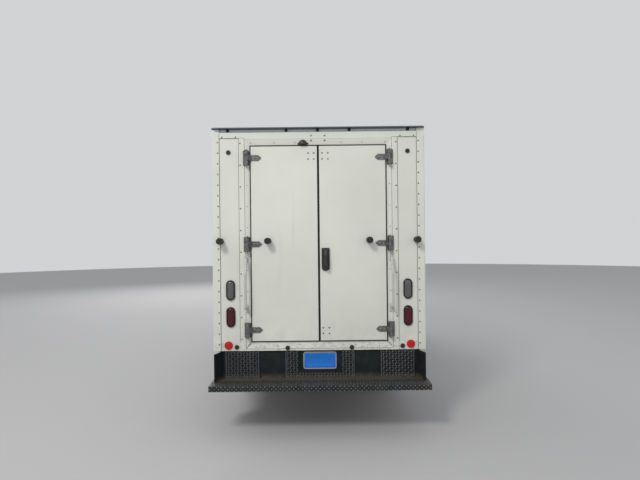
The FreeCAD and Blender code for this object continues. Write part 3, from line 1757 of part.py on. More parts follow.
def steering_wheel(x, y, z):
    """Ring, three spokes, boss and column, turned about Y and then tilted towards the driver."""
    grip = []
    for i in range(8):
        turn = math.radians(45 * i + 22.5)
        grip.append((WHEEL_GRIP * math.cos(turn), WHEEL_RADIUS + WHEEL_GRIP * math.sin(turn)))
    hub = [(-215, 0), (-215, 30), (-30, 30), (-30, 55), (6, 55), (6, 0)]
    parts = [
        spun("steering_ring", grip),
        spun("steering_hub", hub),
        rod("steering_spokes", "x", 11, 2 * WHEEL_RADIUS, -WHEEL_RADIUS, -10, 0),
        rod("steering_low_spoke", "z", 11, WHEEL_RADIUS, 0, -10, -WHEEL_RADIUS),
    ]
    wheel = fuse("steering_parts", parts)
    lean = math.radians(COLUMN_TILT)
    turn = FreeCAD.Rotation(
        FreeCAD.Vector(0, 1, 0),
        FreeCAD.Vector(-math.cos(lean), 0, math.sin(lean)),
        FreeCAD.Vector(math.sin(lean), 0, math.cos(lean)),
        "XYZ",
    )
    wheel.Placement = FreeCAD.Placement(FreeCAD.Vector(number(x), y, number(z)), turn)
    bind(wheel, "Placement.Base.x", x)
    bind(wheel, "Placement.Base.z", z)
    node("steering_wheel", cut("steering_wheel_trimmed", wheel, NODES["dashboard"]))


SEAT_LINE = 400


def seats():
    """Driver's and passenger's seats: plinth, cushion, raked back and head rest."""
    both = []
    low = cab_floor_low + FLOOR_METAL + SLACK
    back = x_cab_back + 60
    cushion = [
        (back + 100, low + 180, 20),
        (back + 100, low + 310, 40),
        (back + 600, low + 340, 55),
        (back + 600, low + 200, 40),
    ]
    rest = [
        (back + 90, low + 230, 30),
        (back + 20, low + 930, 45),
        (back + 110, low + 940, 45),
        (back + 230, low + 270, 30),
    ]
    head = [
        (back + 20, low + 925, 20),
        (back + 5, low + 1120, 30),
        (back + 90, low + 1125, 30),
        (back + 105, low + 930, 20),
    ]
    forms = (("cushion", cushion, 250), ("back", rest, 240), ("head", head, 130))
    for side, sign in SIDES:
        y = SEAT_LINE * sign
        parts = [
            block(
                f"seat_plinth_{side}", (back + 150, back + 520), (y - 190, y + 190), (low, low + 190)
            )
        ]
        for part_name, outline, half in forms:
            parts.append(
                slab(f"seat_{part_name}_{side}", "XZ_Plane", outline, y - half, y + half)
            )
        both.append(fuse(f"seat_{side}", parts))
    node("seats", fuse("seats_all", both))


def nose_form(name, inset, bottom):
    """The form of the front end: plan view with round corners, met by the bonnet line."""
    rear = x_front - s.pillar_front
    front = x_front + s.nose_reach - inset
    half = s.cab_half - inset
    nose = s.nose_half - inset
    plan = [
        (rear, half),
        (x_front + 330, half - 8),
        (front, nose, 150),
        (front, -1 * nose, 150),
        (x_front + 330, -1 * half + 8),
        (rear, -1 * half),
    ]
    from_top = slab(f"{name}_plan", "XY_Plane", plan, bottom, s.cowl_top + 60)
    side_view = [
        (rear - 10, bottom - 10),
        (rear - 10, s.cowl_top - inset),
        (x_front + 200, s.cowl_top - 42 - inset),
        (front - 10, s.nose_top - inset, 90),
        (front + 10, s.nose_top - 320),
        (front + 10, bottom - 10),
    ]
    from_side = slab(f"{name}_profile", "XZ_Plane", side_view, -1 * half - 20, half + 20)
    front_view = [
        (half + 10, bottom - 10),
        (half + 10, s.nose_top - 60),
        (half - 70, s.cowl_top + 10 - inset, 130),
        (-1 * half + 70, s.cowl_top + 10 - inset, 130),
        (-1 * half - 10, s.nose_top - 60),
        (-1 * half - 10, bottom - 10),
    ]
    from_front = slab(f"{name}_face", "YZ_Plane", front_view, rear - 20, front + 30)
    return common(name, [from_top, from_side, from_front])


def arch_band(name, sign, near, far, depth, bottom):
    """A band bent round the front wheel arch, ending at the wing's foot and the hinge pillar."""
    outside = side_rod(
        f"{name}_out", sign, near, far, s.arch_radius + depth, x_front, axle_height
    )
    inside = side_rod(
        f"{name}_in", sign, near - 2, far + 2, s.arch_radius, x_front, axle_height
    )
    span = across(sign, near - 5, far + 5)
    low = axle_height - 500
    foot = block(f"{name}_foot", (x_front - 500, x_front + 500), span, (low, bottom))
    rearward = block(
        f"{name}_rear", (x_front - 500, x_front - s.pillar_front), span, (low, s.cowl_top)
    )
    return cut(name, outside, inside, foot, rearward)


LAMP_NEAR = 560
LAMP_FAR = 860
LAMP_LOW = 800
LAMP_HIGH = 985
GRILLE_BARS = 5
GRILLE_RIM = 26


def front_end():
    """Wings with wheel housings and the front panel, the bonnet, grille and head lamps."""
    bottom = s.cab_sill + 60
    outer = nose_form("nose_outer", 0, bottom)
    inner = nose_form("nose_inner", s.panel_wall, bottom - 20)
    behind = block(
        "nose_rear_cut", (x_front - s.pillar_front - 60, x_front - s.screen_base),
        (-1 * s.cab_half, s.cab_half), (s.cowl_top - 30, s.cowl_top + 80),
    )
    shell = cut("nose_shell", outer, inner, behind)
    nose_x = x_front + s.nose_reach
    bonnet_front = nose_x - 60
    bonnet_zone = slab(
        "bonnet_zone",
        "XY_Plane",
        [
            (x_front - s.screen_base + s.bonnet_gap, s.bonnet_half + 60),
            (bonnet_front, s.bonnet_half - 20, 60),
            (bonnet_front, -1 * s.bonnet_half + 20, 60),
            (x_front - s.screen_base + s.bonnet_gap, -1 * s.bonnet_half - 60),
        ],
        s.nose_top - 130,
        s.cowl_top + 80,
    )
    bonnet_hole = slab(
        "bonnet_hole",
        "XY_Plane",
        [
            (x_front - s.pillar_front - 20, s.bonnet_half + 66),
            (x_front - s.screen_base + s.bonnet_gap, s.bonnet_half + 66),
            (bonnet_front + 10, s.bonnet_half - 14, 64),
            (bonnet_front + 10, -1 * s.bonnet_half + 14, 64),
            (x_front - s.screen_base + s.bonnet_gap, -1 * s.bonnet_half - 66),
            (x_front - s.pillar_front - 20, -1 * s.bonnet_half - 66),
        ],
        s.nose_top - 136,
        s.cowl_top + 90,
    )
    panel = common("bonnet_panel", [shell, bonnet_zone])
    node("bonnet", fuse("bonnet_fused", [panel, *bonnet_knuckles()]))

    cuts = [
        bonnet_hole,
        block(
            "bumper_room", (x_front + 440, nose_x + 30), (-1 * s.cab_half - 20, s.cab_half + 20),
            (bottom - 10, s.bumper_low + s.bumper_height + 4),
        ),
    ]
    for side, sign in SIDES:
        cuts.append(
            side_rod(
                f"wing_arch_{side}", sign, s.cab_half - 500, s.cab_half + 20, s.arch_radius,
                x_front, axle_height,
            )
        )
        span = across(sign, LAMP_NEAR, LAMP_FAR)
        cuts.append(
            block(f"lamp_pocket_{side}", (nose_x - 160, nose_x + 30), span, (LAMP_LOW, LAMP_HIGH))
        )
    grille_low = LAMP_LOW - 60
    grille_half = LAMP_NEAR - 20
    cuts.append(
        block(
            "grille_hole", (nose_x - 120, nose_x + 30), (-1 * grille_half, grille_half),
            (grille_low, LAMP_HIGH),
        )
    )
    panels = cut("wing_panels", shell, *cuts)
    liners = []
    near = s.cab_half - WHEEL_HOUSE
    for side, sign in SIDES:
        liners.append(arch_band(f"liner_{side}", sign, near, s.cab_half - 24, 5, bottom))
        liners.append(
            arch_band(f"lip_{side}", sign, s.cab_half - 30, s.cab_half + 6, 24, bottom)
        )
        apron = [
            (400 * sign, front_rail_top),
            (near * sign, front_rail_top),
            (near * sign, s.nose_top - 55),
            ((near - 6) * sign, s.nose_top - 55),
            ((near - 6) * sign, front_rail_top + 6),
            (400 * sign, front_rail_top + 6),
        ]
        liners.append(
            slab(f"apron_{side}", "YZ_Plane", apron, x_front - s.pillar_front, x_front + 590)
        )
    node("wings", fuse("wings_fused", [panels, *liners]))

    seat = nose_x - 34
    frame_out = block(
        "grille_rim", (seat, nose_x + 6), (-1 * grille_half + SLACK, grille_half - SLACK),
        (grille_low + SLACK, LAMP_HIGH - SLACK),
    )
    frame_in = block(
        "grille_void", (seat - 5, nose_x + 10), (-1 * grille_half + GRILLE_RIM, grille_half - GRILLE_RIM),
        (grille_low + GRILLE_RIM, LAMP_HIGH - GRILLE_RIM),
    )
    bars = [cut("grille_frame", frame_out, frame_in)]
    pitch = (LAMP_HIGH - grille_low - 2 * GRILLE_RIM) / (GRILLE_BARS + 1)
    for i in range(GRILLE_BARS):
        z = grille_low + GRILLE_RIM + pitch * (i + 1)
        bar = slab(
            f"grille_bar_{i}",
            "XZ_Plane",
            [
                (seat, z - 3),
                (seat, z + 9),
                (nose_x - 4, z + 6, 3),
                (nose_x - 4, z - 7, 3),
            ],
            -1 * grille_half + 20,
            grille_half - 20,
        )
        bars.append(bar)
    node("grille", fuse("grille_fused", bars))

    lamps = []
    for side, sign in SIDES:
        corner = [
            (nose_x - 110, (LAMP_NEAR + 0.5) * sign),
            (nose_x + 4, (LAMP_NEAR + 0.5) * sign),
            (nose_x + 2, (LAMP_FAR - 70) * sign, 60),
            (nose_x - 28, (LAMP_FAR - 0.5) * sign, 20),
            (nose_x - 110, (LAMP_FAR - 0.5) * sign),
        ]
        lamps.append(
            slab(f"head_lamp_{side}", "XY_Plane", corner, LAMP_LOW + 0.5, LAMP_HIGH - 0.5)
        )
    node("head_lamps", fuse("head_lamps_all", lamps))


def front_bumper():
    """Wrap-round bumper bar with a folded section, on two brackets from the rails."""
    low = s.bumper_low
    high = low + s.bumper_height
    face = x_nose
    half = s.cab_half - 6
    end = x_front + 470
    outside = [
        (end, half),
        (end + 230, half),
        (face - 70, half - 120, 120),
        (face, 400, 900),
    ]
    inside = [
        (face - 30, 400, 880),
        (face - 96, half - 136, 96),
        (end + 220, half - 24),
        (end, half - 24),
    ]
    right = [(x, -1 * y, *bend) for x, y, *bend in outside[::-1]]
    right_inside = [(x, -1 * y, *bend) for x, y, *bend in inside[::-1]]
    outline = [*outside, *right, *right_inside, *inside]
    bar = slab("bumper_bar", "XY_Plane", outline, low, high)
    brackets = []
    for side, sign in SIDES:
        span = across(sign, rail_half - 30, rail_half)
        brackets.append(
            block(
                f"bumper_bracket_{side}", (x_nose - 130, x_nose - 28), span, (low + 20, high - 20)
            )
        )
    node("front_bumper", fuse("front_bumper_fused", [bar, *brackets]))


def mirrors(cab_form):
    """Door mirrors: upright housing on two arms from the front corner of the door."""
    x = x_front - s.cab_door_front - 62
    low = s.belt_height + 10
    near = s.cab_half - 60
    far = s.cab_half + 70
    for side, sign in SIDES:
        housing = slab(
            f"mirror_{side}_housing",
            "XY_Plane",
            [
                (x + 70, far * sign, 25),
                (x + 60, (far + 190) * sign, 40),
                (x, (far + 200) * sign, 12),
                (x, (far - 6) * sign, 12),
            ],
            low,
            low + 330,
        )
        arms = []
        span = across(sign, near, far + 20)
        for i, level in enumerate((low + 12, low + 60)):
            arms.append(
                block(f"mirror_{side}_arm_{i}", (x + 12, x + 36), span, (level - 16, level))
            )
        whole = fuse(f"mirror_{side}_fused", [housing, *arms])
        node(f"mirror_{side}", cut(f"mirror_{side}_trimmed", whole, cab_form))


chassis_frame()
wheels()
front_suspension()
knuckles()
tie_rod()
rear_suspension()
power_unit()
drive_shaft()
fuel_tank()
exhaust()
load_floor()
for side_name, side_sign in SIDES:
    box_side(side_name, side_sign)
box_front()
box_roof()
rear_portal()
roof_channel()
hinge_butts()
rear_doors()
latch_handle()
grab_handles()
rear_lamps()
marker_lamps()
rubber_buffers()
rear_bumper()
cab_form = cab()
cab_floor()
dashboard()
seats()
front_end()
front_bumper()
mirrors(cab_form)

doc.recompute()
for thing in doc.Objects:
    if "Invalid" in thing.State or "Error" in thing.State:
        raise RuntimeError(f"{thing.Name} could not be built: {thing.State}")
os.makedirs("parts", exist_ok=True)
for name, thing in NODES.items():
    shape = thing.Shape
    if shape.isNull() or not shape.isValid() or not shape.Solids:
        raise RuntimeError(f"{name} has no valid solid")
    shape.exportStep(f"parts/{name}.step")
print(len(NODES), "nodes written")
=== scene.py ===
# %% [markdown]
# # A box truck, dressed in Blender
#
# The truck's rigid pieces come from CAD as a fixed frame. This file gives them their finishes and
# adds what CAD leaves out: rivets, bolts, tread plate, lamp lenses, tyre treads, seals and cloth.
# Everything is in metres. +X is forward, +Y is the truck's left and +Z is up.

import math

import bmesh
import bpy
from mathutils import Matrix, Vector


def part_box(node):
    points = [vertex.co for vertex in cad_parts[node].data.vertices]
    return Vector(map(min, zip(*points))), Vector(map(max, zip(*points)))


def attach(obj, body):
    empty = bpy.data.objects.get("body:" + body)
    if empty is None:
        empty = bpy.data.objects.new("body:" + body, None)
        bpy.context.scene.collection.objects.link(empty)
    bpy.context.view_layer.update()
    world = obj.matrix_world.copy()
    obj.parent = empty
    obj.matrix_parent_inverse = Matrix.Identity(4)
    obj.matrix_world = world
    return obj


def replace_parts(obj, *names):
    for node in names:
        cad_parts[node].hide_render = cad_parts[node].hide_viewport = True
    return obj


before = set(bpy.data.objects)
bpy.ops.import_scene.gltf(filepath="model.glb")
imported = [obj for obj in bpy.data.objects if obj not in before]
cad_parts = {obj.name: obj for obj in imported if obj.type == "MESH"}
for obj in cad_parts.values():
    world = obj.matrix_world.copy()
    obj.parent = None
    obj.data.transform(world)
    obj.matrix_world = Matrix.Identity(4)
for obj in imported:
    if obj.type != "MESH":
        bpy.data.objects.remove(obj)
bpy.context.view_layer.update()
print("CAD nodes:", len(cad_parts))

# %% [markdown]
# ## Landmarks
#
# The truck's main faces and edges are read from the boxes of CAD nodes, so that the dressing follows
# if they change. Other places are metres from these faces or from the truck's origin. The rear
# portal carries most of what the photograph shows.

# %% Read the landmarks
LEFT, RIGHT = 1, -1
SIDES = (("left", LEFT), ("right", RIGHT))
FORWARD, BACKWARD = (1, 0, 0), (-1, 0, 0)
LEFTWARD, RIGHTWARD = (0, 1, 0), (0, -1, 0)
UP, DOWN = (0, 0, 1), (0, 0, -1)
INCH = 0.0254
DOOR_RISE = 0.006
TREAD_RISE = 0.052

door_low, door_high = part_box("rear_door_left")
side_low, side_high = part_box("box_side_left")
step_low, step_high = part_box("rear_bumper")

REAR_FACE = door_low[0]
DECK = door_low[2] - DOOR_RISE
DOOR_EDGE = door_high[1]
DOOR_TOP = door_high[2]
BOX_HALF = side_high[1]
BOX_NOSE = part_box("box_front")[1][0]
PORTAL_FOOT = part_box("rear_portal")[0][2]
HEADER_TOP = side_high[2]
ROOF_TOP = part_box("roof_channel")[1][2]
STEP_EDGE = step_low[0]
STEP_HALF = step_high[1]
TREAD_TOP = step_low[2] + TREAD_RISE
print("rear face at x =", round(REAR_FACE, 3), "deck at z =", round(DECK, 3))

# %% [markdown]
# ## Helpers for meshes
#
# Most small parts repeat: rivets, bolts, tread lugs. The same small shape is stamped at every place
# into a single object, which keeps the scene light and moves as one piece. Trim is drawn as an
# outline on a face, and a place function says where u, v and the height above it lie.

# %% Mesh helpers
PIECE_CREASE = math.radians(35)


def in_scene(name, data):
    """A new object that shows the data."""
    thing = bpy.data.objects.new(name, data)
    bpy.context.collection.objects.link(thing)
    return thing


def shown(name, bm, finish, smooth=True):
    """Turns a bmesh into an object with one finish."""
    mesh = bpy.data.meshes.new(name)
    bmesh.ops.recalc_face_normals(bm, faces=bm.faces)
    bm.to_mesh(mesh)
    bm.free()
    mesh.materials.append(finish)
    for face in mesh.polygons:
        face.use_smooth = smooth
    if smooth:
        mesh.set_sharp_from_angle(angle=PIECE_CREASE)
    return in_scene(name, mesh)


def piece(name, bm, finish, slot=None, body="truck", smooth=True):
    """An object made from a bmesh that rides on a body of the frame."""
    thing = shown(name, bm, finish, smooth)
    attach(thing, body)
    return thing


def add_loops(bm, loops, hoop=False):
    """Skins rings of points. Both ends are closed, or in a hoop the last ring joins the first."""
    rings = [[bm.verts.new(point) for point in ring] for ring in loops]
    for lower, upper in zip(rings, rings[1:] + rings[:1] if hoop else rings[1:]):
        for i in range(len(lower)):
            j = (i + 1) % len(lower)
            bm.faces.new((lower[i], lower[j], upper[j], upper[i]))
    if not hoop:
        bm.faces.new(rings[0][::-1])
        bm.faces.new(rings[-1])


def add_block(bm, low, high, bevel=0.0):
    """A box between two corners, with its edges rounded if a bevel is given."""
    corners = [
        bm.verts.new((x, y, z)) for x in (low[0], high[0]) for y in (low[1], high[1])
        for z in (low[2], high[2])
    ]
    faces = ((0, 1, 3, 2), (4, 6, 7, 5), (0, 4, 5, 1), (2, 3, 7, 6), (0, 2, 6, 4), (1, 5, 7, 3))
    made = [bm.faces.new([corners[i] for i in face]) for face in faces]
    if bevel:
        edges = list({edge for face in made for edge in face.edges})
        bmesh.ops.bevel(bm, geom=edges, offset=bevel, segments=2, affect="EDGES", profile=0.5)


def turned(profile, sides, axis, centre):
    """Rings of a turned shape: profile is (along the axis, radius), standing at a centre."""
    first = axis.orthogonal().normalized()
    second = axis.cross(first)
    rings = []
    for along, radius in profile:
        ring = []
        for i in range(sides):
            angle = 2 * math.pi * i / sides
            spoke = first * math.cos(angle) + second * math.sin(angle)
            ring.append(centre + axis * along + spoke * radius)
        rings.append(ring)
    return rings


def add_turned(bm, profile, sides, axis, centre):
    add_loops(bm, turned(profile, sides, Vector(axis).normalized(), Vector(centre)))


def add_rod(bm, start, end, steps, sides=10):
    """A straight rod. Each step is (share of the way, radius)."""
    run = end - start
    add_turned(bm, [(share * run.length, radius) for share, radius in steps], sides, run, start)


def stamped(name, places, profile, sides, axis, finish, slot=None, body="truck"):
    """One turned shape stamped at many places, as a single piece."""
    bm = bmesh.new()
    for place in places:
        add_turned(bm, profile, sides, axis, place)
    return piece(name, bm, finish, slot, body)


def rounded(corners, steps=5):
    """A closed outline in a plane. Each corner is (u, v, radius) and becomes an arc."""
    outline = []
    for i, (u, v, radius) in enumerate(corners):
        corner = Vector((u, v))
        back = (Vector(corners[i - 1][:2]) - corner).normalized()
        ahead = (Vector(corners[(i + 1) % len(corners)][:2]) - corner).normalized()
        half = back.angle(ahead) / 2
        centre = corner + (back + ahead).normalized() * (radius / math.sin(half))
        first = corner + back * (radius / math.tan(half)) - centre
        last = corner + ahead * (radius / math.tan(half)) - centre
        start = math.atan2(first.y, first.x)
        swing = (math.atan2(last.y, last.x) - start + math.pi) % (2 * math.pi) - math.pi
        for j in range(steps + 1):
            angle = start + swing * j / steps
            outline.append(centre + radius * Vector((math.cos(angle), math.sin(angle))))
    return outline


def rectangle(u, v, width, height, radius, steps=4):
    """A rounded rectangle about a middle."""
    near, far, low, high = u - width / 2, u + width / 2, v - height / 2, v + height / 2
    corners = [(near, low, radius), (far, low, radius), (far, high, radius), (near, high, radius)]
    return rounded(corners, steps)


def inset(outline, shift):
    """The outline moved towards its inside by a distance, mitred at its corners."""
    count = len(outline)
    area = sum(outline[i - 1].cross(outline[i]) for i in range(count))
    moved = []
    for i, point in enumerate(outline):
        back = (point - outline[i - 1]).normalized()
        ahead = (outline[(i + 1) % count] - point).normalized()
        along = (back + ahead).normalized()
        inward = Vector((-along.y, along.x)) * math.copysign(1, area)
        moved.append(point + inward * shift / max(0.5, along.dot(ahead)))
    return moved


def flat(origin, across, up, out):
    """A place function for a flat face: the directions of u, v and the height above it."""
    origin, across, up, out = (Vector(part) for part in (origin, across, up, out))
    return lambda u, v, height: origin + across * u + up * v + out * height


def lifted(outline, place, section):
    """The outline on a face, once for each (inward, height) of a section."""
    return [[place(point.x, point.y, height) for point in inset(outline, shift)]
            for shift, height in section]


def add_strip(bm, outline, place, section):
    """A strip round a closed outline. Its section is a closed loop."""
    add_loops(bm, lifted(outline, place, section), hoop=True)


def add_panel(bm, outline, place, section):
    """A closed plate with the outline. Its section runs from its back to its face."""
    add_loops(bm, lifted(outline, place, section))


def spread(start, stop, pitch):
    """Even stops between two ends, as near to the pitch as fits."""
    count = max(1, round(abs(stop - start) / pitch))
    return [start + (stop - start) * i / count for i in range(count + 1)]


def box_middle(node):
    """The middle of a CAD node's box."""
    low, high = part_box(node)
    return (Vector(low) + Vector(high)) / 2


print("middle of the deck:", [round(c, 3) for c in box_middle("load_floor")])

# %% [markdown]
# ## Helpers for finishes
#
# A finish is a Principled shader with a little life in it: noise that shifts the colour, breaks up
# the gloss and lifts the surface. All noise reads object coordinates, which are metres here, so a
# grain of 2 mm is a scale of 500 on every piece.

# %% Finish helpers


class Finish:
    """A procedural material under construction."""

    def __init__(self, name, colour, rough, metal=0.0):
        self.material = bpy.data.materials.new(name)
        self.material.use_nodes = True
        self.tree = self.material.node_tree
        self.shader = self.tree.nodes["Principled BSDF"]
        self.shader.inputs["Base Color"].default_value = (*colour, 1)
        self.shader.inputs["Roughness"].default_value = rough
        self.shader.inputs["Metallic"].default_value = metal
        self.place = self.add("ShaderNodeTexCoord").outputs["Object"]

    def add(self, kind):
        return self.tree.nodes.new(kind)

    def join(self, source, target):
        self.tree.links.new(source, target)

    def stretched(self, scale):
        """Coordinates stretched along the axes, for streaks and brushed metal."""
        mapping = self.add("ShaderNodeMapping")
        mapping.inputs["Scale"].default_value = scale
        self.join(self.place, mapping.inputs["Vector"])
        return mapping.outputs["Vector"]

    def noise(self, scale, detail=4.0, rough=0.55, place=None):
        node = self.add("ShaderNodeTexNoise")
        node.inputs["Scale"].default_value = scale
        node.inputs["Detail"].default_value = detail
        node.inputs["Roughness"].default_value = rough
        self.join(place or self.place, node.inputs["Vector"])
        return node.outputs["Fac"]

    def cells(self, scale, feature="F1", place=None):
        node = self.add("ShaderNodeTexVoronoi")
        node.feature = feature
        node.inputs["Scale"].default_value = scale
        self.join(place or self.place, node.inputs["Vector"])
        return node

    def waves(self, scale, direction, place=None):
        """Even bands across a direction."""
        node = self.add("ShaderNodeTexWave")
        node.bands_direction = direction
        node.inputs["Scale"].default_value = scale
        self.join(place or self.place, node.inputs["Vector"])
        return node.outputs["Fac"]

    def ramp(self, source, low, high, start=0.0, end=1.0):
        """Maps a value's range low..high onto start..end."""
        node = self.add("ShaderNodeMapRange")
        node.inputs["From Min"].default_value = low
        node.inputs["From Max"].default_value = high
        node.inputs["To Min"].default_value = start
        node.inputs["To Max"].default_value = end
        self.join(source, node.inputs["Value"])
        return node.outputs["Result"]

    def patches(self, scale, low, high, most, rough=0.7):
        """Ragged patches that rise to a limit, as dirt and rust lie."""
        return self.ramp(self.noise(scale, 6, rough), low, high, 0.0, most)

    def combine(self, operation, first, second):
        node = self.add("ShaderNodeMath")
        node.operation = operation
        self.join(first, node.inputs[0])
        self.join(second, node.inputs[1])
        return node.outputs["Value"]

    def times(self, first, second):
        return self.combine("MULTIPLY", first, second)

    def larger(self, first, second):
        return self.combine("MAXIMUM", first, second)

    def axis(self, letter):
        node = self.add("ShaderNodeSeparateXYZ")
        self.join(self.place, node.inputs["Vector"])
        return node.outputs[letter]

    def mix(self, amount, under, over):
        """Blends from one colour to another. Either may be a plain colour or a socket."""
        node = self.add("ShaderNodeMix")
        node.data_type = "RGBA"
        self.join(amount, node.inputs[0])
        for value, socket in ((under, node.inputs[6]), (over, node.inputs[7])):
            if isinstance(value, bpy.types.NodeSocket):
                self.join(value, socket)
            else:
                socket.default_value = (*value, 1)
        return node.outputs[2]

    def paint(self, socket):
        self.join(socket, self.shader.inputs["Base Color"])

    def gloss(self, socket):
        self.join(socket, self.shader.inputs["Roughness"])

    def uneven_gloss(self, scale, low, high, detail=4):
        """Roughness that wanders between two values."""
        self.gloss(self.ramp(self.noise(scale, detail), 0.3, 0.7, low, high))

    def bump(self, height, strength, distance):
        node = self.add("ShaderNodeBump")
        node.inputs["Strength"].default_value = strength
        node.inputs["Distance"].default_value = distance
        self.join(height, node.inputs["Height"])
        before = self.shader.inputs["Normal"].links
        if before:
            self.join(before[0].from_socket, node.inputs["Normal"])
        self.join(node.outputs["Normal"], self.shader.inputs["Normal"])


def shade(colour, factor):
    return tuple(min(1.0, channel * factor) for channel in colour)


print("half grey in shade:", shade((0.5,), 0.8))

# %% [markdown]
# ## Paint
#
# The load box is white enamel on aluminium sheet: slightly warm, dulled by road film, with runs
# below the rivets, a darker hem where the road throws dirt, and scuffs on the sill. Sheet is never
# flat, so a broad, weak bump makes the highlights wander. The cab's white is glossier. The chassis is
# black under dust and rust.

# %% Paint finishes
BOX_WHITE = (0.7, 0.71, 0.64)
ROAD_FILM = (0.36, 0.34, 0.29)
SCUFF = (0.13, 0.11, 0.085)
RUST = (0.13, 0.05, 0.02)


def box_paint():
    finish = Finish("box_enamel", BOX_WHITE, 0.42)
    broad = finish.ramp(finish.noise(1.3, 3), 0.35, 0.7)
    runs = finish.noise(14, 5, 0.6, finish.stretched((1, 1, 0.07)))
    fine = finish.noise(160, 3)
    tone = finish.mix(broad, shade(BOX_WHITE, 0.95), shade(BOX_WHITE, 1.05))
    low = finish.ramp(finish.axis("Z"), DECK + 0.35, PORTAL_FOOT - 0.05)
    film = finish.larger(
        finish.times(low, finish.patches(9, 0.35, 0.8, 0.5)),
        finish.ramp(runs, 0.6, 0.8, 0.0, 0.16),
    )
    sill = finish.ramp(finish.axis("Z"), DECK + 0.015, DECK - 0.02)
    grit = finish.noise(38, 8, 0.85, finish.stretched((1, 0.5, 1.6)))
    scuffs = finish.times(sill, finish.ramp(grit, 0.535, 0.6, 0.0, 0.7))
    finish.paint(finish.mix(scuffs, finish.mix(film, tone, ROAD_FILM), SCUFF))
    finish.uneven_gloss(5, 0.36, 0.52, 5)
    finish.bump(finish.noise(2.2, 2), 0.12, 0.02)
    finish.bump(fine, 0.05, 0.001)
    return finish.material


def cab_paint():
    finish = Finish("cab_enamel", (0.74, 0.74, 0.72), 0.22)
    finish.shader.inputs["Coat Weight"].default_value = 0.5
    finish.shader.inputs["Coat Roughness"].default_value = 0.06
    tone = finish.mix(finish.noise(1.7, 3), (0.72, 0.72, 0.7), (0.77, 0.77, 0.755))
    low = finish.ramp(finish.axis("Z"), 1.0, 0.45)
    film = finish.times(low, finish.patches(11, 0.35, 0.85, 0.5))
    finish.paint(finish.mix(film, tone, ROAD_FILM))
    finish.uneven_gloss(7, 0.18, 0.3)
    finish.bump(finish.noise(220, 2), 0.03, 0.0006)
    return finish.material


def chassis_paint():
    finish = Finish("chassis_black", (0.02, 0.02, 0.02), 0.5)
    dust = finish.patches(6, 0.45, 0.75, 0.55)
    rust = finish.patches(23, 0.6, 0.7, 0.7, 0.75)
    tone = finish.mix(dust, (0.018, 0.018, 0.018), (0.12, 0.1, 0.08))
    finish.paint(finish.mix(rust, tone, RUST))
    finish.uneven_gloss(18, 0.42, 0.75)
    finish.bump(finish.noise(120, 5), 0.2, 0.002)
    return finish.material


box_white = box_paint()
cab_white = cab_paint()
chassis_black = chassis_paint()
print("paints:", box_white.name, cab_white.name, chassis_black.name)

# %% [markdown]
# ## The step's finish
#
# The step is black paint on tread plate. Feet wear it grey, road dirt lies in the bend between
# riser and tread, and rust shows at the right end of the lip. Position picks where each of these
# falls, and noise tears its edge. The lip's own diamonds are a pattern of two crossing waves, painted
# lighter as worn steel and as painted highlight on their tips.

# %% Step finish
LIP_PITCH = 0.04
LIP_LEAN = 1.1
BEND = REAR_FACE - 0.015
PLATE_BLACK = (0.01, 0.013, 0.015)
PLATE_DUST = (0.09, 0.09, 0.088)
TRODDEN = (0.075, 0.074, 0.07)
BEND_DIRT = (0.085, 0.072, 0.055)
LIP_RUST = (0.13, 0.065, 0.035)
DIAMOND_WEAR_AND_HIGHLIGHT = (0.2, 0.205, 0.195)


def lattice(finish, pitch):
    """Small diamonds where two sets of slanting bands cross, one to a pitch across the vehicle."""
    scale = math.pi / (5 * pitch)
    bands = []
    for lean in (LIP_LEAN, -LIP_LEAN):
        wave = finish.waves(scale, "DIAGONAL", finish.stretched((0, 1, lean)))
        bands.append(finish.ramp(wave, 0.55, 0.85))
    return finish.times(*bands)


def step_paint():
    finish = Finish("step_black", (0.012, 0.015, 0.017), 0.5)
    finish.shader.inputs["Specular IOR Level"].default_value = 0.2
    along = finish.axis("X")
    height = finish.axis("Z")
    across = finish.axis("Y")
    near_bend = finish.times(
        finish.ramp(along, BEND - 0.1, BEND - 0.05),
        finish.ramp(height, TREAD_TOP + 0.05, TREAD_TOP + 0.005),
    )
    torn = finish.ramp(finish.noise(26, 6, 0.7), 0.15, 0.55)
    dirt = finish.times(near_bend, torn)
    right_end = finish.times(
        finish.ramp(across, -STEP_HALF + 0.16, -STEP_HALF + 0.02),
        finish.ramp(height, TREAD_TOP + 0.03, TREAD_TOP - 0.01),
    )
    rust = finish.times(right_end, finish.patches(31, 0.45, 0.65, 0.8))
    dust = finish.patches(13, 0.45, 0.8, 0.22, 0.75)
    on_top = finish.times(
        finish.ramp(height, TREAD_TOP + 0.012, TREAD_TOP + 0.002),
        finish.ramp(height, TREAD_TOP - 0.014, TREAD_TOP - 0.006, 0.25),
    )
    worn = finish.times(on_top, finish.ramp(finish.noise(17, 5, 0.7), 0.3, 0.7, 0.1, 0.5))
    dusty = finish.mix(dust, PLATE_BLACK, PLATE_DUST)
    trodden = finish.mix(worn, dusty, TRODDEN)
    rusty = finish.mix(rust, finish.mix(dirt, trodden, BEND_DIRT), LIP_RUST)
    lip = finish.ramp(along, STEP_EDGE + 0.003, STEP_EDGE + 0.001)
    diamonds = finish.times(lip, lattice(finish, LIP_PITCH))
    patchy = finish.times(diamonds, finish.ramp(finish.noise(40, 4), 0.3, 0.6, 0.4))
    # Wear and painted highlight: the lip's diamonds are painted lighter, as worn steel and as the glint on
    # their tips.
    finish.paint(finish.mix(patchy, rusty, DIAMOND_WEAR_AND_HIGHLIGHT))
    finish.bump(diamonds, 0.6, 0.003)
    finish.uneven_gloss(30, 0.42, 0.68)
    finish.bump(finish.noise(180, 4), 0.15, 0.0015)
    return finish.material


step_black = step_paint()
print("step:", step_black.name)

# %% [markdown]
# ## Metal, rubber, glass and the rest
#
# Galvanised steel shows spangle, a patchwork of crystals, so a Voronoi pattern shifts its gloss.
# Rubber and tyre differ by dust. Clear glass is real transmission with a tint. Coloured lenses are
# opaque, because only their outside shows: a pattern of cells gives them depth.

# %% Metal finishes


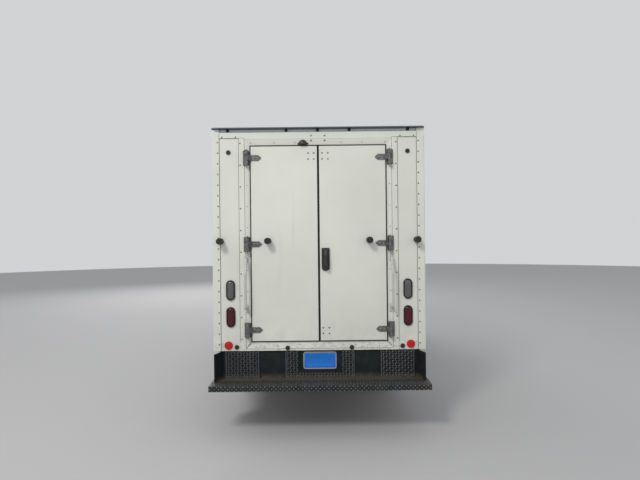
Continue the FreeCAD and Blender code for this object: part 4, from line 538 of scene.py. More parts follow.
def galvanised():
    finish = Finish("galvanised_steel", (0.36, 0.36, 0.35), 0.45, 0.8)
    spangle = finish.cells(90).outputs["Color"]
    spark = finish.ramp(spangle, 0.0, 1.0)
    stain = finish.patches(40, 0.45, 0.75, 0.75)
    tone = finish.mix(spark, (0.13, 0.135, 0.13), (0.27, 0.275, 0.265))
    finish.paint(finish.mix(stain, tone, (0.035, 0.035, 0.032)))
    finish.gloss(finish.ramp(spangle, 0.0, 1.0, 0.3, 0.52))
    finish.bump(finish.noise(300, 3), 0.1, 0.0008)
    return finish.material


def plain_metal(name, colour, rough, metal, stain_colour, stain, grain=200):
    """Metal or enamel with stains in another colour."""
    finish = Finish(name, colour, rough, metal)
    finish.paint(finish.mix(finish.patches(19, 0.42, 0.74, stain), colour, stain_colour))
    finish.uneven_gloss(33, rough - 0.07, rough + 0.15)
    finish.bump(finish.noise(grain, 4), 0.2, 0.001)
    return finish.material


zinc = galvanised()
handle_white = plain_metal("handle_enamel", (0.52, 0.525, 0.49), 0.4, 0.0, (0.26, 0.25, 0.22), 0.35)
cast_grey = plain_metal("cast_iron", (0.1, 0.095, 0.09), 0.6, 0.4, (0.11, 0.06, 0.035), 0.6, 90)
pipe_steel = plain_metal("exhaust_steel", (0.3, 0.29, 0.27), 0.45, 0.8, (0.2, 0.11, 0.06), 0.8)
rim_paint = plain_metal("rim_enamel", (0.6, 0.6, 0.59), 0.36, 0.1, (0.2, 0.18, 0.15), 0.4)
bumper_grey = plain_metal("bumper_enamel", (0.3, 0.3, 0.31), 0.35, 0.3, (0.2, 0.19, 0.17), 0.3)
rivet_grey = plain_metal("rivet_aluminium", (0.17, 0.17, 0.165), 0.5, 0.4, (0.05, 0.05, 0.05), 0.7)
bolt_steel = plain_metal("bolt_steel", (0.3, 0.3, 0.29), 0.38, 0.9, (0.1, 0.08, 0.06), 0.6)
print("metals:", zinc.name, cast_grey.name, bolt_steel.name)

# %% Roof channel finish
# Share of the channel's height where the painted shadow under the roof's edge begins.
SHADOW_EDGE_SHARE = 0.66


def channel_finish():
    """Bare aluminium, light grey on its lower flange, with painted shadow above where the roof's edge
    shades it.
    """
    finish = Finish("channel_aluminium", (0.32, 0.35, 0.38), 0.45, 0.2)
    step = HEADER_TOP + SHADOW_EDGE_SHARE * (ROOF_TOP - HEADER_TOP)
    # Painted shadow: above this height the channel is darkened as the roof's edge shades it.
    painted_shadow = finish.ramp(finish.axis("Z"), step - 0.002, step + 0.003, 0.05, 1.0)
    worn = finish.mix(finish.noise(25, 5, 0.6), (0.6, 0.63, 0.645), (0.78, 0.8, 0.8))
    # The dark colour is painted shade; the light grey below is the metal's own colour.
    finish.paint(finish.mix(painted_shadow, worn, (0.16, 0.19, 0.215)))
    finish.uneven_gloss(33, 0.38, 0.6)
    finish.bump(finish.noise(200, 4), 0.15, 0.001)
    return finish.material


channel_grey = channel_finish()
print("channel:", channel_grey.name)

# %% Rubber, plastic and cloth finishes


def matt(name, colour, rough, dust_colour, dust, grain, lift):
    """Rubber or plastic with dust on it."""
    finish = Finish(name, colour, rough)
    finish.paint(finish.mix(finish.patches(12, 0.38, 0.78, dust), colour, dust_colour))
    finish.uneven_gloss(25, rough - 0.06, min(1.0, rough + 0.1))
    finish.bump(finish.noise(grain, 3), lift, 0.001)
    return finish.material


def cloth(name, colour):
    """A plain weave: two stretched noises that cross, with the threads about 1 mm apart."""
    finish = Finish(name, colour, 0.9)
    finish.shader.inputs["Sheen Weight"].default_value = 0.35
    warp = finish.noise(900, 1, 0.4, finish.stretched((1, 0.12, 1)))
    weft = finish.noise(900, 1, 0.4, finish.stretched((0.12, 1, 0.12)))
    weave = finish.larger(warp, weft)
    finish.paint(finish.mix(finish.ramp(weave, 0.4, 0.7), shade(colour, 0.7), shade(colour, 1.3)))
    finish.bump(weave, 0.5, 0.001)
    return finish.material


rubber = matt("black_rubber", (0.012, 0.012, 0.012), 0.62, (0.06, 0.057, 0.052), 0.3, 140, 0.2)
tyre_rubber = matt("tyre_rubber", (0.02, 0.02, 0.02), 0.72, (0.1, 0.09, 0.075), 0.6, 200, 0.25)
# One black for real rubber seals and gaskets, also used as painted shade in gaps and along sheet steps.
black_seal_and_shade = matt("seal_rubber_and_shade", (0.005, 0.005, 0.005), 0.85, (0.02, 0.02, 0.02), 0.3, 160, 0.2)
trim_black = matt("black_plastic", (0.02, 0.02, 0.021), 0.45, (0.06, 0.06, 0.06), 0.3, 700, 0.25)
dash_grey = matt("dash_plastic", (0.065, 0.066, 0.07), 0.6, (0.1, 0.1, 0.1), 0.3, 900, 0.4)
mat_black = matt("floor_mat", (0.03, 0.03, 0.03), 0.8, (0.1, 0.09, 0.08), 0.5, 400, 0.4)
seat_cloth = cloth("seat_cloth", (0.075, 0.078, 0.088))
roof_cloth = cloth("roof_lining", (0.36, 0.36, 0.35))
belt_web = cloth("belt_web", (0.03, 0.03, 0.034))
print("soft finishes:", rubber.name, trim_black.name, seat_cloth.name)

# %% Wood, glass and lens finishes


def plank_wood():
    """Hardwood floor boards laid lengthways, each board a little different."""
    finish = Finish("deck_boards", (0.3, 0.17, 0.08), 0.5)
    board = finish.cells(1.0, "F1", finish.stretched((0.35, 22, 1))).outputs["Color"]
    grain = finish.noise(9, 6, 0.65, finish.stretched((0.5, 14, 14)))
    wear = finish.ramp(finish.noise(2.4, 5, 0.7), 0.45, 0.7, 0.0, 0.55)
    tone = finish.mix(board, (0.23, 0.13, 0.065), (0.36, 0.22, 0.115))
    grained = finish.mix(finish.ramp(grain, 0.45, 0.7, 0.0, 0.5), tone, (0.13, 0.07, 0.035))
    finish.paint(finish.mix(wear, grained, (0.3, 0.27, 0.23)))
    finish.gloss(finish.ramp(grain, 0.3, 0.7, 0.42, 0.62))
    finish.bump(grain, 0.25, 0.002)
    return finish.material


def clear(name, colour, rough, flutes=0.0):
    """Glass or a moulded lens. Flutes are the bands that spread a lamp's light."""
    finish = Finish(name, colour, rough)
    finish.shader.inputs["Transmission Weight"].default_value = 1.0
    finish.shader.inputs["IOR"].default_value = 1.45
    finish.gloss(finish.ramp(finish.noise(8, 5), 0.4, 0.8, rough, rough + 0.08))
    if flutes:
        finish.bump(finish.waves(flutes, "Y"), 0.6, 0.002)
    return finish.material


def lens(name, colour, dark):
    """A coloured lens seen from outside: the colour deepens in the cells of its pattern."""
    finish = Finish(name, colour, 0.14)
    finish.shader.inputs["Specular IOR Level"].default_value = 0.3
    finish.shader.inputs["Coat Weight"].default_value = 0.4
    finish.shader.inputs["Coat Roughness"].default_value = 0.08
    prism = finish.cells(150, "DISTANCE_TO_EDGE").outputs["Distance"]
    finish.paint(finish.mix(finish.ramp(prism, 0.0, 0.12), dark, colour))
    finish.bump(prism, 0.5, 0.002)
    return finish.material


deck_wood = plank_wood()
window_glass = clear("window_glass", (0.8, 0.86, 0.84), 0.02)
lamp_glass = clear("lamp_glass", (0.92, 0.94, 0.94), 0.05, 60)
mirror_glass = plain_metal("mirror_glass", (0.82, 0.84, 0.85), 0.03, 1.0, (0.7, 0.7, 0.7), 0.1, 20)
red_lens = lens("red_lens", (0.085, 0.001, 0.004), (0.024, 0.001, 0.002))
red_reflector = lens("red_reflector", (0.6, 0.001, 0.006), (0.34, 0.001, 0.004))
amber_lens = lens("amber_lens", (0.75, 0.22, 0.02), (0.4, 0.09, 0.008))
dark_lens = lens("dark_lens", (0.035, 0.012, 0.012), (0.012, 0.005, 0.005))
smoke_lens = lens("reversing_lens", (0.13, 0.135, 0.135), (0.025, 0.027, 0.028))
bright = plain_metal("lamp_reflector", (0.75, 0.75, 0.76), 0.12, 1.0, (0.5, 0.5, 0.5), 0.2, 300)
plate_blue = plain_metal("plate_blue", (0.004, 0.17, 0.66), 0.4, 0.0, (0.01, 0.11, 0.46), 0.5, 400)
# The same pale paint also draws the painted highlight lines on the riser of the step.
plate_pale = plain_metal("plate_frame", (0.33, 0.35, 0.42), 0.35, 0.3, (0.22, 0.22, 0.24), 0.4, 400)
print("materials:", len(bpy.data.materials))

# %% [markdown]
# ## Finishes for the CAD nodes
#
# A CAD node keeps its shape and only changes its material. The table below reads like the list in a
# paint shop. Curved panels are shaded smooth, with sharp edges kept by their angle.

# %% Dress the CAD nodes
NODE_CREASE = math.radians(32)
dressed = {
    box_white: ["box_side_left", "box_side_right", "box_front", "box_roof", "rear_portal",
                "rear_door_left", "rear_door_right"],
    cab_white: ["cab_roof", "cab_frame", "cab_door_left", "cab_door_right", "bonnet", "wings"],
    chassis_black: ["chassis_frame", "front_suspension", "rear_suspension", "fuel_tank", "tie_rod"],
    cast_grey: ["engine", "knuckle_left", "knuckle_right"],
    pipe_steel: ["exhaust", "drive_shaft"],
    deck_wood: ["load_floor"],
    zinc: ["hinge_butts", "hinge_straps_left", "hinge_straps_right"],
    channel_grey: ["roof_channel"],
    handle_white: ["grab_handles"],
    rubber: ["door_buffer_left", "door_buffer_right", "rubber_buffers", "mud_flaps"],
    trim_black: ["latch_handle", "steering_wheel", "grille", "mirror_left", "mirror_right"],
    step_black: ["rear_bumper"],
    plate_blue: ["licence_plate"],
    window_glass: ["windscreen", "door_glass_left", "door_glass_right"],
    mat_black: ["cab_floor"],
    dash_grey: ["dashboard"],
    seat_cloth: ["seats"],
    bumper_grey: ["front_bumper"],
    lamp_glass: ["head_lamps"],
    amber_lens: ["marker_lamps"],
    smoke_lens: ["reversing_lamps"],
    red_lens: ["stop_lamps"],
}
CORNERS = [f"{axle}_{side_name}" for axle in ("front", "rear") for side_name, _ in SIDES]
dressed[tyre_rubber] = [f"tyre_{corner}" for corner in CORNERS]
dressed[rim_paint] = [f"rim_{corner}" for corner in CORNERS]

for finish, names in dressed.items():
    for name in names:
        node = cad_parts[name]
        for held in node.material_slots:
            held.material = finish
        for face in node.data.polygons:
            face.use_smooth = True
        node.data.set_sharp_from_angle(angle=NODE_CREASE)
undressed = set(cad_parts) - {name for names in dressed.values() for name in names}
print("undressed nodes:", sorted(undressed))

# %% [markdown]
# ## Rivets of the rear portal
#
# The portal is sheet riveted to extrusions. The corner posts have a rivet every four inches, the
# door jambs every eight. In the photograph they show as dark dots, because dirt sits round them.

# %% Rivets
RIVET = [(0.0, 0.0072), (0.0012, 0.007), (0.003, 0.005), (0.0038, 0.0022)]
SMALL_RIVET = [(0.0, 0.0046), (0.0012, 0.0042), (0.0022, 0.002)]
POST_RIVETS = 0.957
JAMB_RIVETS = 0.743
STOP_RIVETS = 0.681
STOP_FACE = REAR_FACE + 0.003
RIVET_PITCH = 4 * INCH


def rear_places(side, widths, heights, x=REAR_FACE):
    """Places on the rear face: every distance from the middle with every height."""
    return [(x, side * y, z) for y in widths for z in heights]


rivets, small_rivets = [], []
for _, side in SIDES:
    rivets += rear_places(side, [POST_RIVETS], spread(DECK - 0.02, DECK + 1.91, RIVET_PITCH))
    rivets += rear_places(side, [JAMB_RIVETS], spread(DECK + 0.03, DECK + 1.9, 2 * RIVET_PITCH))
    rivets += rear_places(side, (0.785, 0.915), [HEADER_TOP - 0.041])
    on_stop = spread(DECK + 0.28, DECK + 1.5, 2 * RIVET_PITCH)
    small_rivets += rear_places(side, [STOP_RIVETS], on_stop, STOP_FACE)
    small_rivets += rear_places(side, (0.57, 0.4, 0.21), [PORTAL_FOOT + 0.034], STOP_FACE)
    small_rivets += rear_places(side, (0.64, 0.42, 0.22), [HEADER_TOP - 0.098])
stamped("portal_rivets", rivets, RIVET, 10, BACKWARD, rivet_grey)
stamped("portal_small_rivets", small_rivets, SMALL_RIVET, 8, BACKWARD, rivet_grey)
print("rivets:", len(rivets), "large,", len(small_rivets), "small")

# %% [markdown]
# ## Shade lines of the portal
#
# Where one sheet steps over another, the step casts a thin line of shade. Each line is painted shade: a
# black strip that stands half a millimetre proud of the sheet.

# %% Portal shade lines
POST_EDGE = 0.942
PANEL_EDGE = 0.757
JAMB_EDGE = 0.702
HEADER_FOOT = DECK + 1.949
SILL = DECK - 0.06
SHADE_LINE = 0.002
WIDE_SHADE_LINE = 0.0024
FINE_SHADE_LINE = 0.001
SHADE_LINE_PROUD = 0.0006
SHADE_LINE_DEPTH = 0.004


def add_shade_line(bm, start, end, width=SHADE_LINE):
    """A thin flat black strip of painted shade on the rear face from one (y, z) to another."""
    run = Vector((0, end[0] - start[0], end[1] - start[1]))
    across = Vector(FORWARD).cross(run.normalized()) * width / 2
    rings = []
    for x in (REAR_FACE - SHADE_LINE_PROUD, REAR_FACE + SHADE_LINE_DEPTH):
        foot = Vector((x, *start))
        rings.append([foot + across, foot - across, foot - across + run, foot + across + run])
    add_loops(bm, rings)


# Black strips painted as the shade lines along the steps of the portal's sheets.
shade_and_highlight_lines = bmesh.new()
for _, side in SIDES:
    for y, low, high in ((POST_EDGE, PORTAL_FOOT, HEADER_TOP - 0.003), (PANEL_EDGE, DECK, HEADER_FOOT),
                         (JAMB_EDGE, SILL, HEADER_FOOT)):
        add_shade_line(shade_and_highlight_lines, (side * y, low), (side * y, high), WIDE_SHADE_LINE)
    add_shade_line(shade_and_highlight_lines, (side * JAMB_EDGE, HEADER_FOOT), (side * POST_EDGE, HEADER_FOOT))
    add_shade_line(shade_and_highlight_lines, (side * DOOR_EDGE, DECK), (side * JAMB_EDGE, SILL))
add_shade_line(shade_and_highlight_lines, (-JAMB_EDGE, SILL - 0.002), (JAMB_EDGE, SILL - 0.002))
add_shade_line(shade_and_highlight_lines, (-JAMB_EDGE, HEADER_FOOT - 0.012), (JAMB_EDGE, HEADER_FOOT - 0.012), FINE_SHADE_LINE)
piece("portal_shade_lines", shade_and_highlight_lines, black_seal_and_shade, smooth=False)
print("header's foot at z =", round(HEADER_FOOT, 3))

# %% [markdown]
# ## Door seals
#
# A black rubber lip runs round each door and fills the gap to the frame. Its black is also painted
# shade for the gaps and draws the dark outline of the doors. Each lip rides on its door, so it leaves
# the frame when the door opens.

# %% Door seals
SEAL_WIDTH = 0.0095
SEAL_ROUND = 0.0012
SEAL_FRONT = REAR_FACE - 0.002
SEAL_BACK = REAR_FACE + 0.012
SEAL_LOW = door_low[2] - 0.0035
SEAL_HIGH = DOOR_TOP + 0.0035
SEAL_NEAR = 0.0005
SEAL_FAR = DOOR_EDGE + 0.0015

# The seals' black stands for the rubber and also paints the shade in the door gaps.
for side_name, side in SIDES:
    bm = bmesh.new()
    near, far = sorted((side * SEAL_NEAR, side * SEAL_FAR))
    for z in (SEAL_LOW, SEAL_HIGH - SEAL_WIDTH):
        add_block(bm, (SEAL_FRONT, near, z), (SEAL_BACK, far, z + SEAL_WIDTH), SEAL_ROUND)
    for inner in (SEAL_NEAR, SEAL_FAR - SEAL_WIDTH):
        near, far = sorted((side * inner, side * (inner + SEAL_WIDTH)))
        add_block(bm, (SEAL_FRONT, near, SEAL_LOW), (SEAL_BACK, far, SEAL_HIGH), SEAL_ROUND)
    piece(f"door_seal_{side_name}", bm, black_seal_and_shade, body=f"rear_door_{side_name}")
print("door seals reach y =", round(SEAL_FAR, 3))

# %% [markdown]
# ## Bolts on the doors
#
# Four bolts at the top and bottom of the doors hold the latch gear inside. Two round-headed bolts
# hold each hinge strap to its door, and three smaller ones hold each butt to the jamb.

# %% Bolts
BOLT = [(0.0, 0.0085), (0.0015, 0.0085), (0.004, 0.0062), (0.0052, 0.0025)]
BUTT_BOLT = [(along, radius * 0.62) for along, radius in BOLT]
HINGE_HEIGHTS = (0.118, 0.936, 1.758)
STRAP_FACE = REAR_FACE - 0.006
STRAP_BOLTS = (0.586, 0.618)
BUTT_LINE = 0.708
BUTT_PITCH = 0.052
HEADER_GROUP = (DECK + 1.967, DECK + 1.921)
TOP_GROUP = (DECK + 1.802, DECK + 1.744)
FOOT_GROUP = (DECK + 0.134, DECK + 0.08)

stamped("header_bolts", rear_places(LEFT, (-0.065, 0.065), HEADER_GROUP), BOLT, 12, BACKWARD, bolt_steel)
butts = []
for side_name, side in SIDES:
    on_door = rear_places(side, (0.04, 0.094), TOP_GROUP)
    if side == RIGHT:
        on_door += rear_places(side, (0.035, 0.092), FOOT_GROUP)
    for rise in HINGE_HEIGHTS:
        on_door += rear_places(side, STRAP_BOLTS, [DECK + rise], STRAP_FACE)
        heights = [DECK + rise + lift for lift in (-BUTT_PITCH, 0.0, BUTT_PITCH)]
        butts += rear_places(side, [BUTT_LINE], heights, STRAP_FACE)
    stamped(f"door_bolts_{side_name}", on_door, BOLT, 12, BACKWARD, bolt_steel,
            body=f"rear_door_{side_name}")
stamped("butt_bolts", butts, BUTT_BOLT, 10, BACKWARD, bolt_steel)
print("bolts on the jambs:", len(butts))

# %% [markdown]
# ## Lamps on the posts
#
# Each oval lamp is a moulded lens that bulges out of a rubber grommet, a soft ring with a rolled
# lip. Rings of points shaped like a racetrack make both: the grommet is a closed hoop, the lens a
# stack of shrinking rings.

# %% Oval lamps
LAMP_SEAT = REAR_FACE + 0.005
LAMP_LINE = 0.846
GROMMET = ((0.0, 0.086, 0.194), (0.01, 0.086, 0.194), (0.014, 0.083, 0.191), (0.0155, 0.077, 0.185),
           (0.014, 0.068, 0.176), (0.009, 0.064, 0.172), (0.0, 0.064, 0.172))
LENS_WIDTH = 0.0645
LENS_HEIGHT = 0.1725
LENS_SHRINK = 0.06
DOME_RISE = 0.008
DOME_BULGE = 0.01
DOME_STEPS = 6


def oval(side, z, out, width, height, arc=14):
    """A racetrack of points: two half rounds joined by straight sides."""
    radius = width / 2
    rise = height / 2 - radius
    ring = []
    for turn, lift in ((0, rise), (math.pi, -rise)):
        for i in range(arc + 1):
            angle = turn + math.pi * i / arc
            ring.append(Vector((LAMP_SEAT - out, side * LAMP_LINE - radius * math.cos(angle),
                                z + lift + radius * math.sin(angle))))
    return ring


def oval_lamps(kind, z, finish, slot):
    """A lamp on each post: rings of (out, width, height) for the grommet, a dome for the lens."""
    grommets, lenses = bmesh.new(), bmesh.new()
    dome = [(0.002, LENS_WIDTH, LENS_HEIGHT)]
    for step in range(DOME_STEPS):
        angle = math.pi / 2 * step / DOME_STEPS
        shrink = (1 - math.cos(angle)) * LENS_SHRINK
        out = DOME_RISE + DOME_BULGE * math.sin(angle)
        dome.append((out, LENS_WIDTH - shrink, LENS_HEIGHT - shrink))
    for _, side in SIDES:
        add_loops(grommets, [oval(side, z, *ring) for ring in GROMMET], hoop=True)
        add_loops(lenses, [oval(side, z, *ring) for ring in dome])
    held = piece(f"{kind}_grommets", grommets, rubber, "rubber_black")
    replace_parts(held, f"{kind}_lamps")
    piece(f"{kind}_lenses", lenses, finish, slot)


clear_z = box_middle("reversing_lamps").z
red_z = DECK + 0.242
oval_lamps("reversing", clear_z, smoke_lens, "lens_clear")
oval_lamps("stop", red_z, red_lens, "lens_red")
print("lamps at z =", round(clear_z, 3), "and", round(red_z, 3))

# %% Reflectors
REFLECTOR = [(0.0, 0.0395), (0.006, 0.0395), (0.0085, 0.0375), (0.009, 0.035), (0.008, 0.034),
             (0.0088, 0.03), (0.01, 0.015), (0.0104, 0.003)]
REFLECTOR_LINE = 0.87
REFLECTOR_Z = DECK - 0.029
reflectors = [(LAMP_SEAT, side * REFLECTOR_LINE, REFLECTOR_Z) for _, side in SIDES]
stamped("round_reflectors", reflectors, REFLECTOR, 40, BACKWARD, red_reflector, "lens_red")
print("reflectors at z =", round(REFLECTOR_Z, 3))

# %% [markdown]
# ## Tread plate
#
# Tread plate is rolled with small raised lugs that point two ways in turn. One lug is a low ridge
# with six base corners. A checkerboard of places fills each plate, and feet polish the ridges. Their
# lighter steel is worn metal and also painted highlight.

# %% Tread lugs
LUG_ACROSS = 0.0295
LUG_ALONG = 0.0225
LUG_LENGTH = 0.026
LUG_WIDTH = 0.0088
LUG_HEIGHT = 0.0026
LUG_RIDGE = 0.28
LUG_FOOT = ((-0.5, 0), (-0.25, -0.5), (0.25, -0.5), (0.5, 0), (0.25, 0.5), (-0.25, 0.5))
LUG_FACES = ((0, 1, 6), (1, 2, 7, 6), (2, 3, 7), (3, 4, 7), (4, 5, 6, 7), (5, 0, 6))


def add_lug(bm, centre, forward, normal):
    """One lug: a low ridge between corners 6 and 7 over six corners at its foot."""
    sideways = normal.cross(forward)
    corners = [bm.verts.new(centre + forward * a * LUG_LENGTH + sideways * b * LUG_WIDTH)
               for a, b in LUG_FOOT]
    corners += [bm.verts.new(centre + forward * a * LUG_LENGTH + normal * LUG_HEIGHT)
                for a in (-LUG_RIDGE, LUG_RIDGE)]
    for face in LUG_FACES:
        bm.faces.new([corners[i] for i in face])


def add_lugs(bm, origin, across, along, size_across, size_along, keep=lambda u, v: True):
    """Lugs over a rectangle that starts at a corner and runs along two directions."""
    origin, across, along = Vector(origin), Vector(across), Vector(along)
    columns = int(size_across / LUG_ACROSS)
    rows = int(size_along / LUG_ALONG)
    first_u = (size_across - (columns - 1) * LUG_ACROSS) / 2
    first_v = (size_along - (rows - 1) * LUG_ALONG) / 2
    for i in range(columns):
        for j in range(rows):
            u, v = first_u + i * LUG_ACROSS, first_v + j * LUG_ALONG
            if keep(u, v):
                turn = math.pi / 4 * (1 if (i + j) % 2 else -1)
                forward = across * math.cos(turn) + along * math.sin(turn)
                add_lug(bm, origin + across * u + along * v, forward, across.cross(along))


# The lugs' lighter steel is worn metal and also painted highlight on the ridges.
lug_steel_and_highlight = plain_metal("lug_steel_and_highlight", (0.11, 0.116, 0.123), 0.38, 0.45, (0.018, 0.019, 0.02), 0.85, 250)
RISER_LOW = TREAD_TOP + 0.006
RISER_HIGH = PORTAL_FOOT - 0.004
RISER = RISER_HIGH - RISER_LOW
OUTER_SEAM, INNER_SEAM, CENTRE_SEAM = 0.896, 0.584, 0.325
RECESS_HALF = 0.206
RECESS_DROP = 0.196
TREAD_MARGIN = 0.01
TREAD_DEPTH = 0.122
lugs = bmesh.new()
for start in (OUTER_SEAM, -INNER_SEAM):
    add_lugs(lugs, (REAR_FACE, start, RISER_LOW), RIGHTWARD, UP, OUTER_SEAM - INNER_SEAM, RISER)


def beside_plate(u, v):
    """Keeps the lugs of the centre panel clear of the recess for the plate."""
    return abs(u - CENTRE_SEAM) > RECESS_HALF or v < RISER - RECESS_DROP


add_lugs(lugs, (REAR_FACE, CENTRE_SEAM, RISER_LOW), RIGHTWARD, UP, 2 * CENTRE_SEAM, RISER, beside_plate)
add_lugs(lugs, (STEP_EDGE + 0.002, STEP_HALF - TREAD_MARGIN, TREAD_TOP), RIGHTWARD, FORWARD,
         2 * (STEP_HALF - TREAD_MARGIN), TREAD_DEPTH)
lug_thing = piece("tread_lugs", lugs, lug_steel_and_highlight, "step_black", smooth=False)
print("tread lug triangles:", sum(len(face.vertices) - 2 for face in lug_thing.data.polygons))

# %% [markdown]
# ## Lamp over the doors
#
# A small hooded lamp sits on the header, left of the middle, just above the door gap. Its body is
# half a dome of black casting with a flange and a dark lens below the hood.

# %% Hooded lamp
HOOD_Y = 0.142
HOOD_FOOT = DOOR_TOP + 0.008
HOOD_HALF = 0.043
HOOD_HEIGHT = 0.044
HOOD_DEPTH = 0.034
HOOD_ROUND = 0.036
RINGS = 8
RING_POINTS = 16

bm = bmesh.new()
add_block(bm, (REAR_FACE - 0.004, HOOD_Y - 0.05, HOOD_FOOT),
          (REAR_FACE, HOOD_Y + 0.05, HOOD_FOOT + 0.018), 0.0015)
rings = []
for i in range(RINGS + 1):
    out = HOOD_DEPTH * i / RINGS
    shrink = math.sqrt(1 - (out / HOOD_ROUND) ** 2)
    angles = [math.pi * j / RING_POINTS for j in range(RING_POINTS + 1)]
    rings.append([(REAR_FACE - out, HOOD_Y + HOOD_HALF * shrink * math.cos(angle),
                   HOOD_FOOT + 0.002 + HOOD_HEIGHT * shrink * math.sin(angle)) for angle in angles])
add_loops(bm, rings)
piece("hooded_lamp", bm, trim_black)
eye = bmesh.new()
add_block(eye, (REAR_FACE - 0.026, HOOD_Y - 0.026, HOOD_FOOT - 0.002),
          (REAR_FACE - 0.008, HOOD_Y + 0.026, HOOD_FOOT + 0.0035), 0.002)
piece("hooded_lamp_lens", eye, dark_lens)
print("hooded lamp at z =", round(HOOD_FOOT, 3))

# %% [markdown]
# ## Tyres
#
# The CAD tyre is a smooth ring. The modelled one keeps its outline and cuts the tread into it: four
# zigzag grooves between ribs, and notched shoulders. It is a grid of points, one column per point of
# the section, one row per step round the wheel, and the tread pattern only moves those points.

# %% Tyre section
GROOVES = (-0.046, -0.0155, 0.0155, 0.046)
GROOVE_DEPTH = 0.008
GROOVE_HALF = 0.0045
CROWN = 0.0014
ZIGZAG = 0.0022
NOTCH = 0.0055
WALL_HEIGHT = 0.169
TREAD_STEPS = 132
WALL = ((0.038, 0), (0.034, 0.05), (0.029, 0.13), (0.025, 0.14), (0.013, 0.28), (0.005, 0.4), (0, 0.52),
        (0.001, 0.6), (0.005, 0.72), (0.009, 0.8), (0.009, 0.815))
SHOULDER = ((0.014, 0.88), (0.021, 0.93), (0.03, 1 - 0.0055 / WALL_HEIGHT))


def tyre_section(half, outer):
    """Points (across, radius, kind) from bead to bead. Walls are (inward, share of the height)."""
    bead = outer - WALL_HEIGHT
    left = [(inward - half, bead + share * WALL_HEIGHT, kind)
            for points, kind in ((WALL, "wall"), (SHOULDER, "shoulder")) for inward, share in points]
    left.append((0.042 - half, outer - 0.002, "tread"))
    tread = []
    for groove in GROOVES:
        top = outer - CROWN * (groove / 0.06) ** 2
        floor = top - GROOVE_DEPTH
        tread += [(groove + share * GROOVE_HALF, radius, "zigzag")
                  for share, radius in ((-1, top), (-0.6, floor), (0.6, floor), (1, top))]
    return left + tread + [(-across, radius, kind) for across, radius, kind in reversed(left)]


def tyre(corner):
    """Winds the section round a wheel, and moves its points for the zigzag and the notches."""
    low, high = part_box(f"tyre_{corner}")
    centre = box_middle(f"tyre_{corner}")
    section = tyre_section((high[1] - low[1]) / 2, (high[2] - low[2]) / 2)
    bm = bmesh.new()
    rows = []
    for step in range(TREAD_STEPS):
        angle = 2 * math.pi * step / TREAD_STEPS
        shift = ZIGZAG * (1 if step % 2 else -1)
        notch = 0.0 if step % 4 else NOTCH
        row = []
        for across, radius, kind in section:
            if kind == "zigzag":
                across += shift
            if kind == "shoulder":
                radius -= notch
                across += math.copysign(notch * 0.4, -across)
            spoke = Vector((radius * math.cos(angle), across, radius * math.sin(angle)))
            row.append(bm.verts.new(centre + spoke))
        rows.append(row)
    for row, following in zip(rows, rows[1:] + rows[:1]):
        for i in range(len(section) - 1):
            bm.faces.new((row[i], row[i + 1], following[i + 1], following[i]))
    made = piece(f"treaded_tyre_{corner}", bm, tyre_rubber, "tyre_black", f"wheel_{corner}")
    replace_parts(made, f"tyre_{corner}")
    return made


for corner in CORNERS:
    made = tyre(corner)
print("tyre faces:", len(made.data.polygons))

# %% [markdown]
# ## Marker lamps
#
# Wide vehicles carry small lamps along the roof edge: dark red ones at the back, sunk in the roof
# channel in rubber rings, and amber ones over the cab. Each is a turned lens.

# %% Marker lamps
MARKERS = (-0.862, -0.302, 0.0, 0.302, 0.862)
MARKER_RING = [(0.0, 0.0145), (0.009, 0.0145), (0.0115, 0.013), (0.0115, 0.0105), (0.0, 0.0105)]
MARKER_LENS = [(0.0, 0.0104), (0.01, 0.0104), (0.0145, 0.0085), (0.0165, 0.0045), (0.0168, 0.001)]
WIDE_LENS = [(along * 1.3, radius * 1.7) for along, radius in MARKER_LENS]

rear_markers = [(REAR_FACE + 0.022, y, (HEADER_TOP + ROOF_TOP) / 2) for y in MARKERS]
front_markers = [(BOX_NOSE - 0.001, y, HEADER_TOP - 0.06) for y in MARKERS]
rings = stamped("marker_rings", rear_markers, MARKER_RING, 28, BACKWARD, rubber, "rubber_black")
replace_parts(rings, "marker_lamps")
stamped("rear_markers", rear_markers, MARKER_LENS, 28, BACKWARD, dark_lens, "lens_red")
stamped("front_markers", front_markers, WIDE_LENS, 32, FORWARD, amber_lens, "lens_amber")
print("markers:", len(rear_markers) + len(front_markers))

# %% [markdown]
# ## Number plate
#
# The plate stands blank in a recess of the bumper: a pressed sheet with a raised border, held by four
# screws inside a bright frame. A recess keeps it clear of the step.

# %% Number plate
PLATE_WIDTH = 12 * INCH
PLATE_HEIGHT = 6 * INCH
PLATE_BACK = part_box("licence_plate")[1][0]
SCREW = [(0.0, 0.0058), (0.0012, 0.0055), (0.0024, 0.003)]
SCREW_HALF = (0.089, 0.059)
plate_middle = box_middle("licence_plate")
on_recess = flat((PLATE_BACK, plate_middle.y, plate_middle.z), LEFTWARD, UP, BACKWARD)

bm = bmesh.new()
add_strip(bm, rectangle(0, 0, PLATE_WIDTH + 0.014, PLATE_HEIGHT + 0.014, 0.024), on_recess,
          [(0, 0), (0, 0.0045), (0.0015, 0.006), (0.009, 0.006), (0.011, 0.0045), (0.011, 0)])
plate_frame = piece("plate_frame", bm, plate_pale, "plate_blue")
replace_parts(plate_frame, "licence_plate")
bm = bmesh.new()
add_panel(bm, rectangle(0, 0, PLATE_WIDTH - 0.004, PLATE_HEIGHT - 0.004, 0.02), on_recess,
          [(0, 0.0005), (0, 0.0025), (0.01, 0.0025), (0.012, 0.0037), (0.015, 0.0037), (0.017, 0.0028)])
piece("plate_board", bm, plate_blue, "plate_blue")
screws = [on_recess(SCREW_HALF[0] * i, SCREW_HALF[1] * j, 0.0028) for i in (-1, 1) for j in (-1, 1)]
stamped("plate_screws", screws, SCREW, 10, BACKWARD, bolt_steel)
print("plate:", PLATE_WIDTH, "by", PLATE_HEIGHT)

# %% [markdown]
# ## Rivets along the box
#
# The side sheets are riveted to every inside post and to the rails above and below. The rows of dots
# tell where the posts stand, so the places follow the same even spacing as the posts in CAD.

